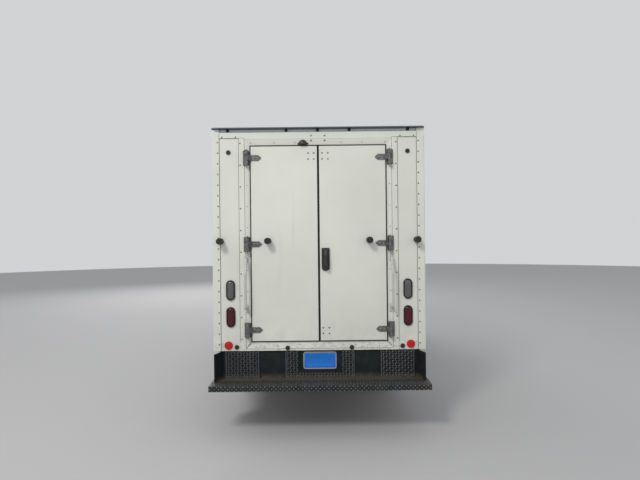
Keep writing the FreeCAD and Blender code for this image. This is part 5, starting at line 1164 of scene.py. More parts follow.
# %% Box rivets
SHEET = BOX_HALF - 0.005
POST_PITCH = 0.43
RAIL_PITCH = 6 * INCH
FRONT_COLUMNS = (-0.9, -0.45, 0.0, 0.45, 0.9)
RAIL_ROWS = (DECK - 0.05, DECK + 0.075, HEADER_TOP - 0.055)
post_stations = spread(side_low[0] + 0.016, side_high[0] - 0.016, POST_PITCH)
rail_stations = spread(side_low[0] + 0.03, side_high[0] - 0.03, RAIL_PITCH)
for side_name, side in SIDES:
    outward = (0, side, 0)
    on_posts = [(x, side * SHEET, z) for x in post_stations
                for z in spread(DECK + 0.17, HEADER_TOP - 0.15, RIVET_PITCH)]
    stamped(f"wall_rivets_{side_name}", on_posts, SMALL_RIVET, 8, outward, rivet_grey)
    on_rails = [(x, side * BOX_HALF, z) for x in rail_stations for z in RAIL_ROWS]
    on_rails += [(BOX_NOSE - 0.088, side * BOX_HALF, z)
                 for z in spread(DECK - 0.05, HEADER_TOP - 0.05, RAIL_PITCH)]
    stamped(f"rail_rivets_{side_name}", on_rails, SMALL_RIVET, 8, outward, rivet_grey)
on_front = [(BOX_NOSE, y, z) for y in FRONT_COLUMNS for z in spread(DECK, HEADER_TOP - 0.12, RIVET_PITCH)]
stamped("front_wall_rivets", on_front, SMALL_RIVET, 8, FORWARD, rivet_grey)
print("posts at x =", [round(x, 2) for x in post_stations])

# %% [markdown]
# ## Side lamps and mud flaps
#
# The base rail carries an amber lamp at the front and a red one at the back. Behind each rear wheel a
# rubber flap hangs from the last cross beam but one, held by a steel strip and a row of bolts.

# %% Side lamps
SIDE_LAMPS = (("front", side_high[0] - 0.1, amber_lens, "lens_amber"),
              ("rear", REAR_FACE + 0.16, red_reflector, "lens_red"))
for where, x, finish, slot in SIDE_LAMPS:
    holder, glass = bmesh.new(), bmesh.new()
    outline = rectangle(x, DECK - 0.012, 0.105, 0.05, 0.018, 6)
    for _, side in SIDES:
        on_rail = flat((0, side * BOX_HALF, 0), FORWARD, UP, (0, side, 0))
        add_strip(holder, outline, on_rail,
                  [(0, -0.001), (0, 0.007), (0.003, 0.01), (0.007, 0.01), (0.008, -0.001)])
        add_panel(glass, outline, on_rail,
                  [(0.0078, 0.0), (0.0078, 0.008), (0.011, 0.014), (0.016, 0.0165)])
    piece(f"side_lamp_rings_{where}", holder, rubber, "rubber_black")
    piece(f"side_lamps_{where}", glass, finish, slot)
    print(where, "side lamps at x =", round(x, 2))

# %% Mud flaps
tyre_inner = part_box("tyre_rear_left")[0][1]
flap_low, flap_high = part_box("mud_flaps")
FLAP_FACE = flap_low[0] + 0.008
FLAP_TOP = flap_high[2]
STRIP_FRONT = FLAP_FACE + 0.004
strips = bmesh.new()
flap_bolts = []
for _, side in SIDES:
    near, far = sorted((side * (tyre_inner - 0.019), side * (flap_high[1] - 0.001)))
    add_block(strips, (FLAP_FACE - 0.001, near, FLAP_TOP - 0.05), (STRIP_FRONT, far, FLAP_TOP - 0.006),
              0.001)
    flap_bolts += [(STRIP_FRONT, y, FLAP_TOP - 0.028) for y in spread(near + 0.03, far - 0.03, 0.08)]
piece("flap_strips", strips, zinc, "zinc_grey")
stamped("flap_bolts", flap_bolts, BOLT, 6, FORWARD, bolt_steel)
print("mud flaps at x =", round(FLAP_FACE, 3), "with", len(flap_bolts), "bolts")

# %% [markdown]
# ## Finding a surface
#
# Trim sits on panels that lean and curve, so its places are felt for with a ray, as a fitter feels
# with a hand. Two touches on a flank give its lean, and everything on it then stands square to it.

# %% Touch helpers
from mathutils.bvhtree import BVHTree

touched = {}


def touch(name, origin, direction):
    """The point where a straight line first meets a CAD node."""
    if name not in touched:
        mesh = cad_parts[name].data
        corners = [corner.co for corner in mesh.vertices]
        touched[name] = BVHTree.FromPolygons(corners, [face.vertices[:] for face in mesh.polygons])
    return touched[name].ray_cast(Vector(origin), Vector(direction))[0]


def leaning(name, x, y, direction, heights, level):
    """A place function for the leaning face that two touches find: u runs level, v is the height."""
    foot, head = (touch(name, (x, y, z), direction) for z in heights)
    outward, level = -Vector(direction), Vector(level)
    along = (head - foot).normalized()
    normal = (outward - along * outward.dot(along)).normalized()

    def place(u, v, out):
        return foot + along * ((v - foot.z) / along.z) + level * (u - foot.dot(level)) + normal * out

    return place


def flank(name, side, x, heights):
    """A place function for the outside of a panel on one side of the cab. u is x."""
    return leaning(name, x, side * 1.6, (0, -side, 0), heights, FORWARD)


def facing(place):
    """The direction that a place function's face looks in."""
    return (place(0, 1, 1) - place(0, 1, 0)).normalized()


def add_bar(bm, place, start, end, width, low, high, taper=1.0):
    """A flat bar between two (u, v) points of a surface, from one height above it to another."""
    run = Vector(end) - Vector(start)
    across = Vector((-run.y, run.x)).normalized() * width / 2
    rings = []
    for out, shrink in ((low, 1.0), (high - 0.001, 1.0), (high, 0.8)):
        ring = []
        for sign, point, size in ((1, start, 1), (-1, start, 1), (-1, end, taper), (1, end, taper)):
            corner = Vector(point) + across * sign * size * shrink
            ring.append(place(corner.x, corner.y, out))
        rings.append(ring)
    add_loops(bm, rings)


print("door panel found at y =", round(touch("cab_door_left", (1.3, 1.6, 0.9), RIGHTWARD).y, 3))

# %% [markdown]
# ## Glass gaskets
#
# Glass is held in a rubber gasket that laps over the panel outside and onto the glass inside. One
# closed section swept round the hole makes it. The holes are the ones in the CAD shell.

# %% Windscreen gasket
SCREEN_FOOT, SCREEN_HEAD = 1.262, 1.97
SCREEN_LOW_HALF, SCREEN_HIGH_HALF = 0.856, 0.706
SCREEN_HOLE = rounded([(-SCREEN_LOW_HALF, SCREEN_FOOT, 0.05), (SCREEN_LOW_HALF, SCREEN_FOOT, 0.05),
                       (SCREEN_HIGH_HALF, SCREEN_HEAD, 0.06), (-SCREEN_HIGH_HALF, SCREEN_HEAD, 0.06)], 8)
on_screen = leaning("windscreen", 4, 0, BACKWARD, (1.3, 1.9), LEFTWARD)
bm = bmesh.new()
add_strip(bm, SCREEN_HOLE, on_screen,
          [(-0.012, 0.01), (-0.012, 0.0135), (-0.003, 0.0165), (0.008, 0.012), (0.016, 0.004),
           (0.018, -0.002), (0.002, -0.002)])
piece("screen_gasket", bm, black_seal_and_shade, "rubber_black")
print("screen gasket round", len(SCREEN_HOLE), "points")

# %% Door gaskets
WINDOW_FOOT, WINDOW_HEAD = 1.262, 1.922
WINDOW_BACK = 0.9735
WINDOW_HOLE = rounded([(1.7515, WINDOW_FOOT, 0.03), (1.4835, WINDOW_HEAD, 0.036),
                       (WINDOW_BACK, WINDOW_HEAD, 0.036), (WINDOW_BACK, WINDOW_FOOT, 0.03)], 6)
WAIST = 1.27
for side_name, side in SIDES:
    on_glass = flank(f"door_glass_{side_name}", side, 1.3, (1.3, 1.85))
    bm = bmesh.new()
    add_strip(bm, WINDOW_HOLE, on_glass,
              [(-0.01, 0.018), (-0.01, 0.0222), (-0.002, 0.024), (0.006, 0.018), (0.011, 0.004),
               (0.012, -0.002), (0.001, -0.002)])
    add_bar(bm, on_glass, (0.985, WAIST), (1.74, WAIST), 0.022, 0.001, 0.0255)
    piece(f"window_gasket_{side_name}", bm, black_seal_and_shade, "rubber_black", f"cab_door_{side_name}")
print("window gaskets round", len(WINDOW_HOLE), "points")

# %% [markdown]
# ## Wipers
#
# Two wipers park along the foot of the screen. Each has a capped pivot on the cowl, a pressed arm
# that tapers, a bow and a rubber blade that touches the glass.

# %% Wipers
PIVOTS = (0.6, -0.06)
PIVOT_Z = 1.238
PIVOT_CAP = [(-0.004, 0.016), (0.01, 0.016), (0.02, 0.013), (0.023, 0.006)]
ARM_REACH = 0.32
ARM_Z = 1.306
BOW_HALF = 0.14
blades, arms = bmesh.new(), bmesh.new()
for pivot in PIVOTS:
    tip = pivot - ARM_REACH
    add_turned(arms, PIVOT_CAP, 20, facing(on_screen), on_screen(pivot, PIVOT_Z, 0.008))
    add_bar(arms, on_screen, (pivot, PIVOT_Z), (tip, ARM_Z), 0.02, 0.02, 0.028, 0.5)
    add_bar(arms, on_screen, (tip + BOW_HALF, 1.303), (tip - BOW_HALF, 1.309), 0.009, 0.012, 0.02)
    add_bar(blades, on_screen, (pivot - 0.02, 1.3), (tip - 0.3, 1.312), 0.006, 0.001, 0.01)
    add_bar(blades, on_screen, (pivot - 0.03, 1.3), (tip - 0.29, 1.312), 0.011, 0.009, 0.012)
piece("wiper_arms", arms, trim_black, "trim_black")
piece("wiper_blades", blades, rubber, "rubber_black")
print("wiper pivots at y =", PIVOTS)

# %% [markdown]
# ## Door furniture
#
# Each cab door has a black pull handle over a dished escutcheon, a key barrel below it and a moulding
# that takes the knocks of other car doors.

# %% Door handles and mouldings
BARREL = [(0.0, 0.012), (0.004, 0.012), (0.0055, 0.01), (0.0055, 0.0075), (0.0045, 0.007),
          (0.0045, 0.001)]
HANDLE_X = 1.02
HANDLE_Z = 1.15
MOULDING_X = 1.36
MOULDING_Z = 0.885
for side_name, side in SIDES:
    body = f"cab_door_{side_name}"
    on_upper = flank(body, side, HANDLE_X, (1.1, 1.2))
    on_lower = flank(body, side, HANDLE_X, (0.86, 0.92))
    bm = bmesh.new()
    plate = rectangle(HANDLE_X, HANDLE_Z, 0.15, 0.056, 0.016, 6)
    add_strip(bm, plate, on_upper,
              [(0, -0.002), (0, 0.003), (0.002, 0.005), (0.006, 0.005), (0.012, 0.0015), (0.012, -0.002)])
    add_panel(bm, plate, on_upper, [(0.01, -0.002), (0.01, 0.0012)])
    grip = rectangle(HANDLE_X + 0.006, HANDLE_Z + 0.002, 0.118, 0.026, 0.01, 6)
    add_panel(bm, grip, on_upper, [(0.001, 0.004), (0, 0.008), (0, 0.012), (0.003, 0.016), (0.008, 0.0175)])
    add_turned(bm, BARREL, 20, facing(on_lower), on_upper(HANDLE_X - 0.065, HANDLE_Z - 0.056, -0.001))
    piece(f"cab_handle_{side_name}", bm, trim_black, "trim_black", body)
    bm = bmesh.new()
    moulding = rectangle(MOULDING_X, MOULDING_Z, 0.88, 0.046, 0.01, 4)
    add_panel(bm, moulding, on_lower, [(0, -0.002), (0, 0.003), (0.003, 0.0065), (0.011, 0.008)])
    piece(f"door_moulding_{side_name}", bm, trim_black, "trim_black", body)
print("handles at z =", HANDLE_Z, "mouldings at z =", MOULDING_Z)

# %% [markdown]
# ## Mirrors
#
# The CAD head is a closed moulding. A bezel and the silvered glass finish its rear face. A small
# round wide-view glass is stuck in the lower outer corner, as delivery drivers like it.

# %% Mirror glass
MIRROR_Y, MIRROR_Z = 1.172, 1.415
WIDE_VIEW = (1.222, 1.305)
WIDE_VIEW_GLASS = [(0.0, 0.027), (0.005, 0.027), (0.0075, 0.02), (0.0085, 0.008)]
for side_name, side in SIDES:
    body = f"cab_door_{side_name}"
    face = touch(f"mirror_{side_name}", (1.2, side * 1.17, 1.42), FORWARD).x
    on_mirror = flat((face, 0, 0), (0, side, 0), UP, BACKWARD)
    outline = rectangle(MIRROR_Y, MIRROR_Z, 0.182, 0.3, 0.028, 6)
    bm = bmesh.new()
    add_strip(bm, outline, on_mirror,
              [(0, -0.001), (0, 0.004), (0.002, 0.0055), (0.006, 0.0055), (0.009, 0.0025), (0.009, -0.001)])
    piece(f"mirror_bezel_{side_name}", bm, trim_black, "trim_black", body)
    bm = bmesh.new()
    add_panel(bm, outline, on_mirror, [(0.008, 0.0), (0.008, 0.0026), (0.018, 0.0032), (0.026, 0.0036)])
    add_turned(bm, WIDE_VIEW_GLASS, 28, BACKWARD, on_mirror(*WIDE_VIEW, 0.002))
    piece(f"mirror_glass_{side_name}", bm, mirror_glass, body=body)
print("mirror faces at x =", round(face, 3))

# %% [markdown]
# ## Nose
#
# Each headlamp is a clear moulded front over a bucket with two bright bowls and an amber bulb cell at
# the outer end. Light gets its depth from the bowls, so they are real hollows with a bulb in each.

# %% Headlamps
lamp_low, lamp_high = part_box("head_lamps")
LAMP_Z = box_middle("head_lamps").z
LAMP_FACE = lamp_high[0] - 0.001
LAMP_HEIGHT = lamp_high[2] - lamp_low[2] - 0.002
BOWL = [(-0.086, 0.026), (-0.03, 0.0575), (-0.022, 0.058), (-0.022, 0.055), (-0.04, 0.049),
        (-0.058, 0.038), (-0.07, 0.026), (-0.078, 0.01)]
BULB = [(-0.078, 0.009), (-0.052, 0.009), (-0.044, 0.006), (-0.041, 0.001)]
BOWLS = (0.625, 0.742)
lamp_outline = rectangle(0.71, LAMP_Z, 0.2985, LAMP_HEIGHT, 0.016, 5)
cell_outline = rectangle(0.83, LAMP_Z, 0.046, LAMP_HEIGHT - 0.02, 0.01, 5)
buckets, fronts, bowls, bulbs, turns = (bmesh.new() for _ in range(5))
for _, side in SIDES:
    on_nose = flat((LAMP_FACE, 0, 0), (0, side, 0), UP, FORWARD)
    add_panel(fronts, lamp_outline, on_nose,
              [(0.003, -0.01), (0, -0.009), (0, -0.004), (0.003, -0.001), (0.012, 0.0)])
    add_strip(buckets, lamp_outline, on_nose, [(0, -0.108), (0, -0.01), (0.004, -0.01), (0.008, -0.108)])
    add_panel(buckets, lamp_outline, on_nose, [(0.001, -0.11), (0.001, -0.104)])
    for u in BOWLS:
        add_turned(bowls, BOWL, 40, FORWARD, on_nose(u, LAMP_Z, 0))
        add_turned(bulbs, BULB, 16, FORWARD, on_nose(u, LAMP_Z, 0))
    add_panel(turns, cell_outline, on_nose, [(0, -0.06), (0, -0.022), (0.004, -0.016), (0.012, -0.014)])
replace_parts(piece("lamp_buckets", buckets, trim_black, "lens_clear"), "head_lamps")
piece("lamp_fronts", fronts, lamp_glass, "lens_clear")
piece("lamp_bowls", bowls, bright)
piece("lamp_bulbs", bulbs, lamp_glass, "lens_clear")
piece("turn_cells", turns, amber_lens, "lens_amber")
print("headlamps at z =", round(LAMP_Z, 3))

# %% Grille and repeaters
grille_low, grille_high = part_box("grille")
GRILLE_BACK = grille_low[0]
UPRIGHTS = spread(-0.495, 0.495, 0.045)
CORE_HALF = 0.52
FIN_PITCH = 0.011
REPEATER_X, REPEATER_Z = 2.66, 0.96
bars, core = bmesh.new(), bmesh.new()
for y in UPRIGHTS:
    add_block(bars, (GRILLE_BACK + 0.004, y - 0.0025, grille_low[2] + 0.02),
              (grille_high[0] - 0.012, y + 0.0025, grille_high[2] - 0.02), 0.0008)
add_block(core, (GRILLE_BACK - 0.012, -CORE_HALF, grille_low[2] + 0.008),
          (GRILLE_BACK - 0.004, CORE_HALF, grille_high[2] - 0.008), 0.002)
fin_half = CORE_HALF - 0.005
for z in spread(grille_low[2] + 0.015, grille_high[2] - 0.015, FIN_PITCH):
    add_block(core, (GRILLE_BACK - 0.005, -fin_half, z - 0.0015),
              (GRILLE_BACK + 0.001, fin_half, z + 0.0015))
piece("grille_uprights", bars, trim_black, "trim_black")
piece("radiator_core", core, cast_grey)
for side_name, side in SIDES:
    on_wing = flank("wings", side, REPEATER_X, (0.93, 0.99))
    bm = bmesh.new()
    add_panel(bm, rectangle(REPEATER_X, REPEATER_Z, 0.082, 0.03, 0.01, 5), on_wing,
              [(0, -0.002), (0, 0.006), (0.003, 0.01), (0.008, 0.0115)])
    piece(f"wing_repeater_{side_name}", bm, amber_lens, "lens_amber")
print("grille uprights:", len(UPRIGHTS))

# %% Aerial and washer jets
MAST_LEAN = (-0.26, 0, 1)
MAST_FOOT = [(-0.004, 0.019), (0.004, 0.019), (0.014, 0.012), (0.03, 0.0085), (0.036, 0.004)]
MAST = [(0.03, 0.0028), (0.4, 0.0022), (0.74, 0.0014), (0.742, 0.0034), (0.749, 0.0034), (0.751, 0.0012)]
JET = [(-0.002, 0.011), (0.003, 0.0105), (0.007, 0.007), (0.009, 0.003)]
bm = bmesh.new()
root = touch("wings", (2.12, -0.915, 2.0), DOWN)
add_turned(bm, MAST_FOOT, 20, MAST_LEAN, root)
add_turned(bm, MAST, 10, MAST_LEAN, root)
for y in (-0.28, 0.28):
    add_turned(bm, JET, 14, UP, touch("bonnet", (2.08, y, 2.0), DOWN))
piece("aerial_and_jets", bm, trim_black, "trim_black")
print("aerial foot:", [round(c, 3) for c in root])

# %% [markdown]
# ## Seats
#
# A driver's seat is foam in a sewn cloth cover. The cover is a little too small for the foam, so the
# faces crown and the edges stay tight. Blender's cloth does that here: a closed skin is blown up
# a little and each point may only move a few millimetres. The sewn channels are pressed in afterwards.

# %% Padding helpers
SEAT_LINE = 0.4
PAD_VOXEL = 0.0075
PAD_ENDS = [(0.03, 0.0), (0.017, 0.004), (0.007, 0.011), (0.001, 0.022), (0.0, 0.036)]
CLOTH_STEPS = 14
SEAM_DEPTH, SEAM_WIDTH = 0.0065, 0.007
CHANNEL_DEPTH, CHANNEL_WIDTH = 0.0055, 0.0075
PANEL_EASE = 0.014


def skin(name, outline, half):
    """A closed skin: an outline in the XZ plane stretched along Y, with soft ends."""
    section = [(shift, out - half) for shift, out in PAD_ENDS]
    section += [(shift, half - out) for shift, out in reversed(PAD_ENDS)]
    bm = bmesh.new()
    add_panel(bm, outline, flat((0, SEAT_LINE, 0), FORWARD, UP, LEFTWARD), section)
    return piece(name, bm, seat_cloth, "seat_cloth")


def fix_modifiers(thing):
    """Applies the modifiers to the mesh, so that none is left."""
    depsgraph = bpy.context.evaluated_depsgraph_get()
    mesh = bpy.data.meshes.new_from_object(thing.evaluated_get(depsgraph))
    thing.modifiers.clear()
    thing.data = mesh
    for face in mesh.polygons:
        face.use_smooth = True


def remeshed(thing, voxel):
    """Replaces the mesh with even quads, as fine as the voxel."""
    modifier = thing.modifiers.new("even", "REMESH")
    modifier.mode = "VOXEL"
    modifier.voxel_size = voxel
    fix_modifiers(thing)


def blown(thing, pressure, cap):
    """Swells the skin with cloth under pressure. No point moves further than the cap."""
    before = [corner.co.copy() for corner in thing.data.vertices]
    cover = thing.modifiers.new("cover", "CLOTH")
    cover.settings.use_pressure = True
    cover.settings.uniform_pressure_force = pressure
    cover.settings.effector_weights.gravity = 0.0
    cover.settings.tension_stiffness = 12
    cover.settings.compression_stiffness = 12
    cover.settings.bending_stiffness = 2.0
    cover.point_cache.frame_start = 1
    cover.point_cache.frame_end = CLOTH_STEPS
    for step in range(1, CLOTH_STEPS + 1):
        bpy.context.scene.frame_set(step)
    fix_modifiers(thing)
    bpy.context.scene.frame_set(1)
    furthest = 0.0
    for start, corner in zip(before, thing.data.vertices):
        move = corner.co - start
        furthest = max(furthest, move.length)
        if move.length > cap:
            corner.co = start + move * (cap / move.length)
    return furthest


def ease(value):
    """Rises smoothly from 0 to 1 as the value does."""
    value = min(1.0, max(0.0, value))
    return value * value * (3 - 2 * value)


def groove(distance, width):
    """1 on a line and falling to 0 beside it."""
    return math.exp(-((distance / width) ** 2))


def sewn(thing, middle, along, out, lines, panel, sink):
    """Presses a sunk centre panel, its border seam and its cross channels into one face."""
    shifts = []
    for corner in thing.data.vertices:
        towards = ease(corner.normal.dot(out) * 1.6)
        across = abs(corner.co.y - middle.y)
        stretch = (corner.co - middle).dot(along)
        inside = ease((panel - across) / PANEL_EASE)
        depth = sink * inside + SEAM_DEPTH * groove(across - panel, SEAM_WIDTH)
        for line in lines:
            depth += CHANNEL_DEPTH * inside * groove(stretch - line, CHANNEL_WIDTH)
        shifts.append(-out * depth * towards)
    for corner, shift in zip(thing.data.vertices, shifts):
        corner.co += shift


print("seat line at y =", SEAT_LINE)

# %% Sew the seats
PRESSURE = 3.0
SWELL_CAP = 0.007
# Each pad: its name, the corners of its side, half its width, where its channels cross, half the
# width of its sunk panel and how far that is sunk.
PADS = (
    ("seat_cushion", [(0.952, 0.792, 0.036), (0.952, 0.902, 0.04), (1.434, 0.93, 0.052),
                      (1.434, 0.808, 0.04)], 0.242, (-0.12, -0.05, 0.02, 0.09, 0.16), 0.15, 0.01),
    ("seat_back", [(0.941, 0.85, 0.036), (0.874, 1.52, 0.036), (0.946, 1.528, 0.036),
                   (1.058, 0.88, 0.04)], 0.232, (-0.22, -0.12, -0.02, 0.08, 0.18), 0.138, 0.009),
    ("seat_head", [(0.874, 1.545, 0.03), (0.862, 1.706, 0.03), (0.922, 1.71, 0.03),
                   (0.936, 1.55, 0.03)], 0.122, (), 0.2, 0.0),
)
pads = {}
for name, corners, half, lines, panel, sink in PADS:
    thing = skin(f"{name}_left", rounded(corners, 6), half)
    remeshed(thing, PAD_VOXEL)
    moved = blown(thing, PRESSURE, SWELL_CAP)
    low, high, front, rear = (Vector((u, SEAT_LINE, v)) for u, v, _ in corners)
    if name == "seat_cushion":
        along, out = (front - high).normalized(), Vector((-0.058, 0, 1)).normalized()
    else:
        along, out = (front - rear).normalized(), Vector((1, 0, 0.17)).normalized()
    sewn(thing, (low + high + rear + front) / 4, along, out, lines, panel, sink)
    pads[name] = thing
    print(name, "points:", len(thing.data.vertices), "furthest:", round(moved, 4))
for name, thing in pads.items():
    other = in_scene(f"{name}_right", thing.data.copy())
    for corner in other.data.vertices:
        corner.co.y -= 2 * SEAT_LINE
    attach(other, "truck")
    for pad in (thing, other):
        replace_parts(pad, "seats")

# %% Seat frames
PLINTH_HALF = 0.19
SLIDE_LINE, SLIDE_HALF = 0.15, 0.016
CUSHION_FOOT = 0.8
HEAD_ROD = [(0.0, 0.0065), (0.06, 0.0065)]
RECLINER = [(0.0, 0.03), (0.012, 0.03), (0.017, 0.024)]
frames, posts = bmesh.new(), bmesh.new()
for _, side in SIDES:
    y = side * SEAT_LINE
    add_block(frames, (0.9935, y - PLINTH_HALF, 0.63), (1.3635, y + PLINTH_HALF, 0.782), 0.012)
    for slide in (y - SLIDE_LINE, y + SLIDE_LINE):
        add_block(posts, (0.955, slide - SLIDE_HALF, 0.5985), (1.4, slide + SLIDE_HALF, 0.632), 0.003)
    add_block(frames, (0.975, y - 0.232, 0.772), (1.405, y + 0.232, CUSHION_FOOT), 0.01)
    for rail in (-0.055, 0.055):
        add_turned(posts, HEAD_ROD, 14, (-0.06, 0, 1), (0.909, y + rail, 1.505))
    add_block(frames, (1.1, y + side * 0.226, CUSHION_FOOT), (1.26, y + side * 0.243, 0.832), 0.006)
    add_turned(frames, RECLINER, 24, (0, side, 0), (0.975, y + side * 0.226, 0.88))
piece("seat_plinths", frames, trim_black, "trim_black")
piece("seat_slides", posts, bolt_steel)
print("seat frames at y = +/-", SEAT_LINE)

# %% Seat belts
PILLAR_Y = 0.905
PILLAR_LEAN = 0.12
PILLAR_BEND = 1.2
BELT_WIDTH = 0.046
REEL_Y = 0.885
webbing, hardware = bmesh.new(), bmesh.new()
for _, side in SIDES:

    def on_pillar(u, v, out):
        lean = PILLAR_LEAN * max(0.0, v - PILLAR_BEND)
        return Vector((u, side * (PILLAR_Y - lean - out), v))

    add_bar(webbing, on_pillar, (0.872, 1.56), (0.872, 0.72), BELT_WIDTH, 0.012, 0.0135)
    add_bar(webbing, on_pillar, (0.872, 1.555), (0.9, 0.7), BELT_WIDTH, 0.015, 0.0165)
    add_bar(hardware, on_pillar, (0.845, 1.572), (0.899, 1.572), 0.022, 0.006, 0.022)
    add_bar(hardware, on_pillar, (0.874, 0.96), (0.9, 0.945), 0.06, 0.0135, 0.0235)
    reel = side * REEL_Y
    add_block(hardware, (0.835, reel - 0.03, 0.64), (0.905, reel + 0.03, 0.725), 0.008)
    stalk = side * (SEAT_LINE - 0.262)
    add_block(hardware, (1.0, stalk - 0.012, 0.8), (1.04, stalk + 0.012, 0.935), 0.006)
piece("belt_webbing", webbing, belt_web, "seat_cloth")
piece("belt_hardware", hardware, trim_black, "trim_black")
print("belt reels at y = +/-", REEL_Y)

# %% [markdown]
# ## Dashboard
#
# Under the hood sit two large and three small dials. The middle carries a plain radio, three heater
# knobs and two of the four vents; the passenger has a glove box. Ticks on the dials are plain marks.

# %% Dials
HOOD_MIDDLE = 1.143
DIALS = ((0.315, 0.031), (0.445, 0.031), (0.38, 0.019), (0.255, 0.014), (0.505, 0.014))
TICKS = 11
FIRST_TICK, TICK_SWING, NEEDLE = 220, 26, 212
on_hood = leaning("dashboard", 1.2, 0.38, FORWARD, (1.12, 1.165), LEFTWARD)


def on_dial(u, radius, share, degrees):
    """A point of a dial, at a share of its radius."""
    angle = math.radians(degrees)
    return (u - radius * share * math.cos(angle), HOOD_MIDDLE + radius * share * math.sin(angle))


cluster, dials, marks = bmesh.new(), bmesh.new(), bmesh.new()
panel = rectangle(0.38, HOOD_MIDDLE, 0.3, 0.078, 0.018, 5)
add_strip(cluster, panel, on_hood,
          [(0, -0.002), (0, 0.006), (0.003, 0.008), (0.008, 0.006), (0.01, -0.002)])
add_panel(cluster, panel, on_hood, [(0.008, -0.002), (0.008, 0.0012)])
for u, radius in DIALS:
    rim = [(0.001, radius), (0.005, radius), (0.0055, radius * 0.93), (0.003, radius * 0.92),
           (0.0025, radius * 0.2)]
    add_turned(dials, rim, 36, facing(on_hood), on_hood(u, HOOD_MIDDLE, 0.0))
    for i in range(TICKS):
        degrees = FIRST_TICK - TICK_SWING * i
        add_bar(marks, on_hood, on_dial(u, radius, 0.74, degrees), on_dial(u, radius, 0.88, degrees),
                0.0013, 0.002, 0.0036)
    add_bar(marks, on_hood, (u, HOOD_MIDDLE), on_dial(u, radius, 0.8, NEEDLE), 0.0024, 0.0034, 0.0048, 0.3)
piece("dial_panel", cluster, trim_black, "trim_black")
piece("dials", dials, trim_black, "trim_black")
dial_white = matt("dial_marks", (0.75, 0.75, 0.72), 0.5, (0.6, 0.6, 0.58), 0.2, 500, 0.1)
piece("dial_marks", marks, dial_white)
print("dials stand", round(HOOD_MIDDLE, 3), "m up")

# %% Middle of the dashboard
RADIO_Z, BUTTON_Z, HEATER_Z, VENT_Z = 1.035, 1.02, 0.945, 1.072
VENTS = (-0.76, -0.165, 0.165, 0.76)
VENT_HALF = 0.044
KNOB = [(0.006, 0.017), (0.012, 0.017), (0.014, 0.014), (0.026, 0.0125), (0.028, 0.0105), (0.0285, 0.004)]
RADIO_KNOB = [(along + 0.008, radius * 0.62) for along, radius in KNOB]
on_dash = leaning("dashboard", 1.2, 0.0, FORWARD, (0.93, 1.06), LEFTWARD)
dash_face = facing(on_dash)
stack, knobs, vents = bmesh.new(), bmesh.new(), bmesh.new()
add_panel(stack, rectangle(0.0, 0.985, 0.215, 0.19, 0.014, 5), on_dash,
          [(0, -0.003), (0, 0.004), (0.004, 0.007), (0.012, 0.007)])
add_panel(stack, rectangle(0.0, RADIO_Z, 0.182, 0.052, 0.005, 4), on_dash,
          [(0, 0.005), (0, 0.013), (0.002, 0.015), (0.004, 0.015)])
for u in (-0.076, 0.076):
    add_turned(knobs, RADIO_KNOB, 24, dash_face, on_dash(u, RADIO_Z, 0))
for u in spread(-0.045, 0.045, 0.018):
    add_panel(knobs, rectangle(u, BUTTON_Z, 0.013, 0.007, 0.0015, 2), on_dash,
              [(0, 0.013), (0, 0.0165), (0.0015, 0.0175)])
for u in (-0.065, 0.0, 0.065):
    add_turned(knobs, KNOB, 28, dash_face, on_dash(u, HEATER_Z, 0))
piece("radio_and_heater", stack, trim_black, "trim_black")
piece("dash_knobs", knobs, dash_grey, "dash_grey")
for u in VENTS:
    hole = rectangle(u, VENT_Z, 0.1, 0.04, 0.008, 4)
    add_strip(vents, hole, on_dash,
              [(0, -0.002), (0, 0.004), (0.003, 0.006), (0.006, 0.004), (0.006, -0.002)])
    add_panel(vents, hole, on_dash, [(0.005, -0.002), (0.005, 0.0008)])
    for v in spread(VENT_Z - 0.014, VENT_Z + 0.014, 0.007):
        add_bar(vents, on_dash, (u - VENT_HALF, v), (u + VENT_HALF, v), 0.0022, 0.0004, 0.0048)
piece("dash_vents", vents, trim_black, "trim_black")
print("vents at y =", VENTS)

# %% Glove box and column
LID_Y = -0.45
COLUMN_RAKE = math.radians(28)
AXLE_LINE = Vector((-math.cos(COLUMN_RAKE), 0, math.sin(COLUMN_RAKE)))
HUB = Vector((1.446, 0.38, 1.185))
SHROUD = [(-0.2, 0.046), (-0.185, 0.052), (-0.075, 0.047), (-0.062, 0.036)]
STALK = ((0, 0.0055), (0.72, 0.0045), (0.76, 0.0085), (0.97, 0.0085), (1.0, 0.004))
bm = bmesh.new()
add_panel(bm, rectangle(LID_Y, 0.975, 0.36, 0.15, 0.02, 5), on_dash,
          [(0, -0.002), (0, 0.003), (0.003, 0.006), (0.016, 0.0075)])
piece("glove_box_lid", bm, dash_grey, "dash_grey")
bm = bmesh.new()
add_panel(bm, rectangle(LID_Y, 1.028, 0.075, 0.02, 0.006, 4), on_dash,
          [(0, 0.005), (0, 0.011), (0.002, 0.013), (0.005, 0.011)])
add_turned(bm, SHROUD, 28, AXLE_LINE, HUB)
for _, side in SIDES:
    start = HUB + AXLE_LINE * -0.095 + Vector((0, side * 0.04, 0))
    add_rod(bm, start, start + Vector((-0.02, side * 0.135, 0.01)) - AXLE_LINE * 0.01, STALK)
piece("column_and_stalks", bm, trim_black, "trim_black")
on_hub = flat(HUB, LEFTWARD, -AXLE_LINE.cross(Vector(LEFTWARD)), AXLE_LINE)
bm = bmesh.new()
add_panel(bm, rectangle(0, 0, 0.15, 0.105, 0.03, 6), on_hub,
          [(0.004, -0.02), (0, -0.008), (0, 0.012), (0.006, 0.022), (0.02, 0.027)])
piece("horn_pad", bm, dash_grey, "trim_black")
print("wheel hub at", [round(c, 3) for c in HUB])

# %% [markdown]
# ## Cab lining
#
# Door cards, roof lining, sun visors, a rear panel and rubber mats close the bare steel inside. Each
# card has an armrest with a pull, a window crank and a ribbed pocket below.

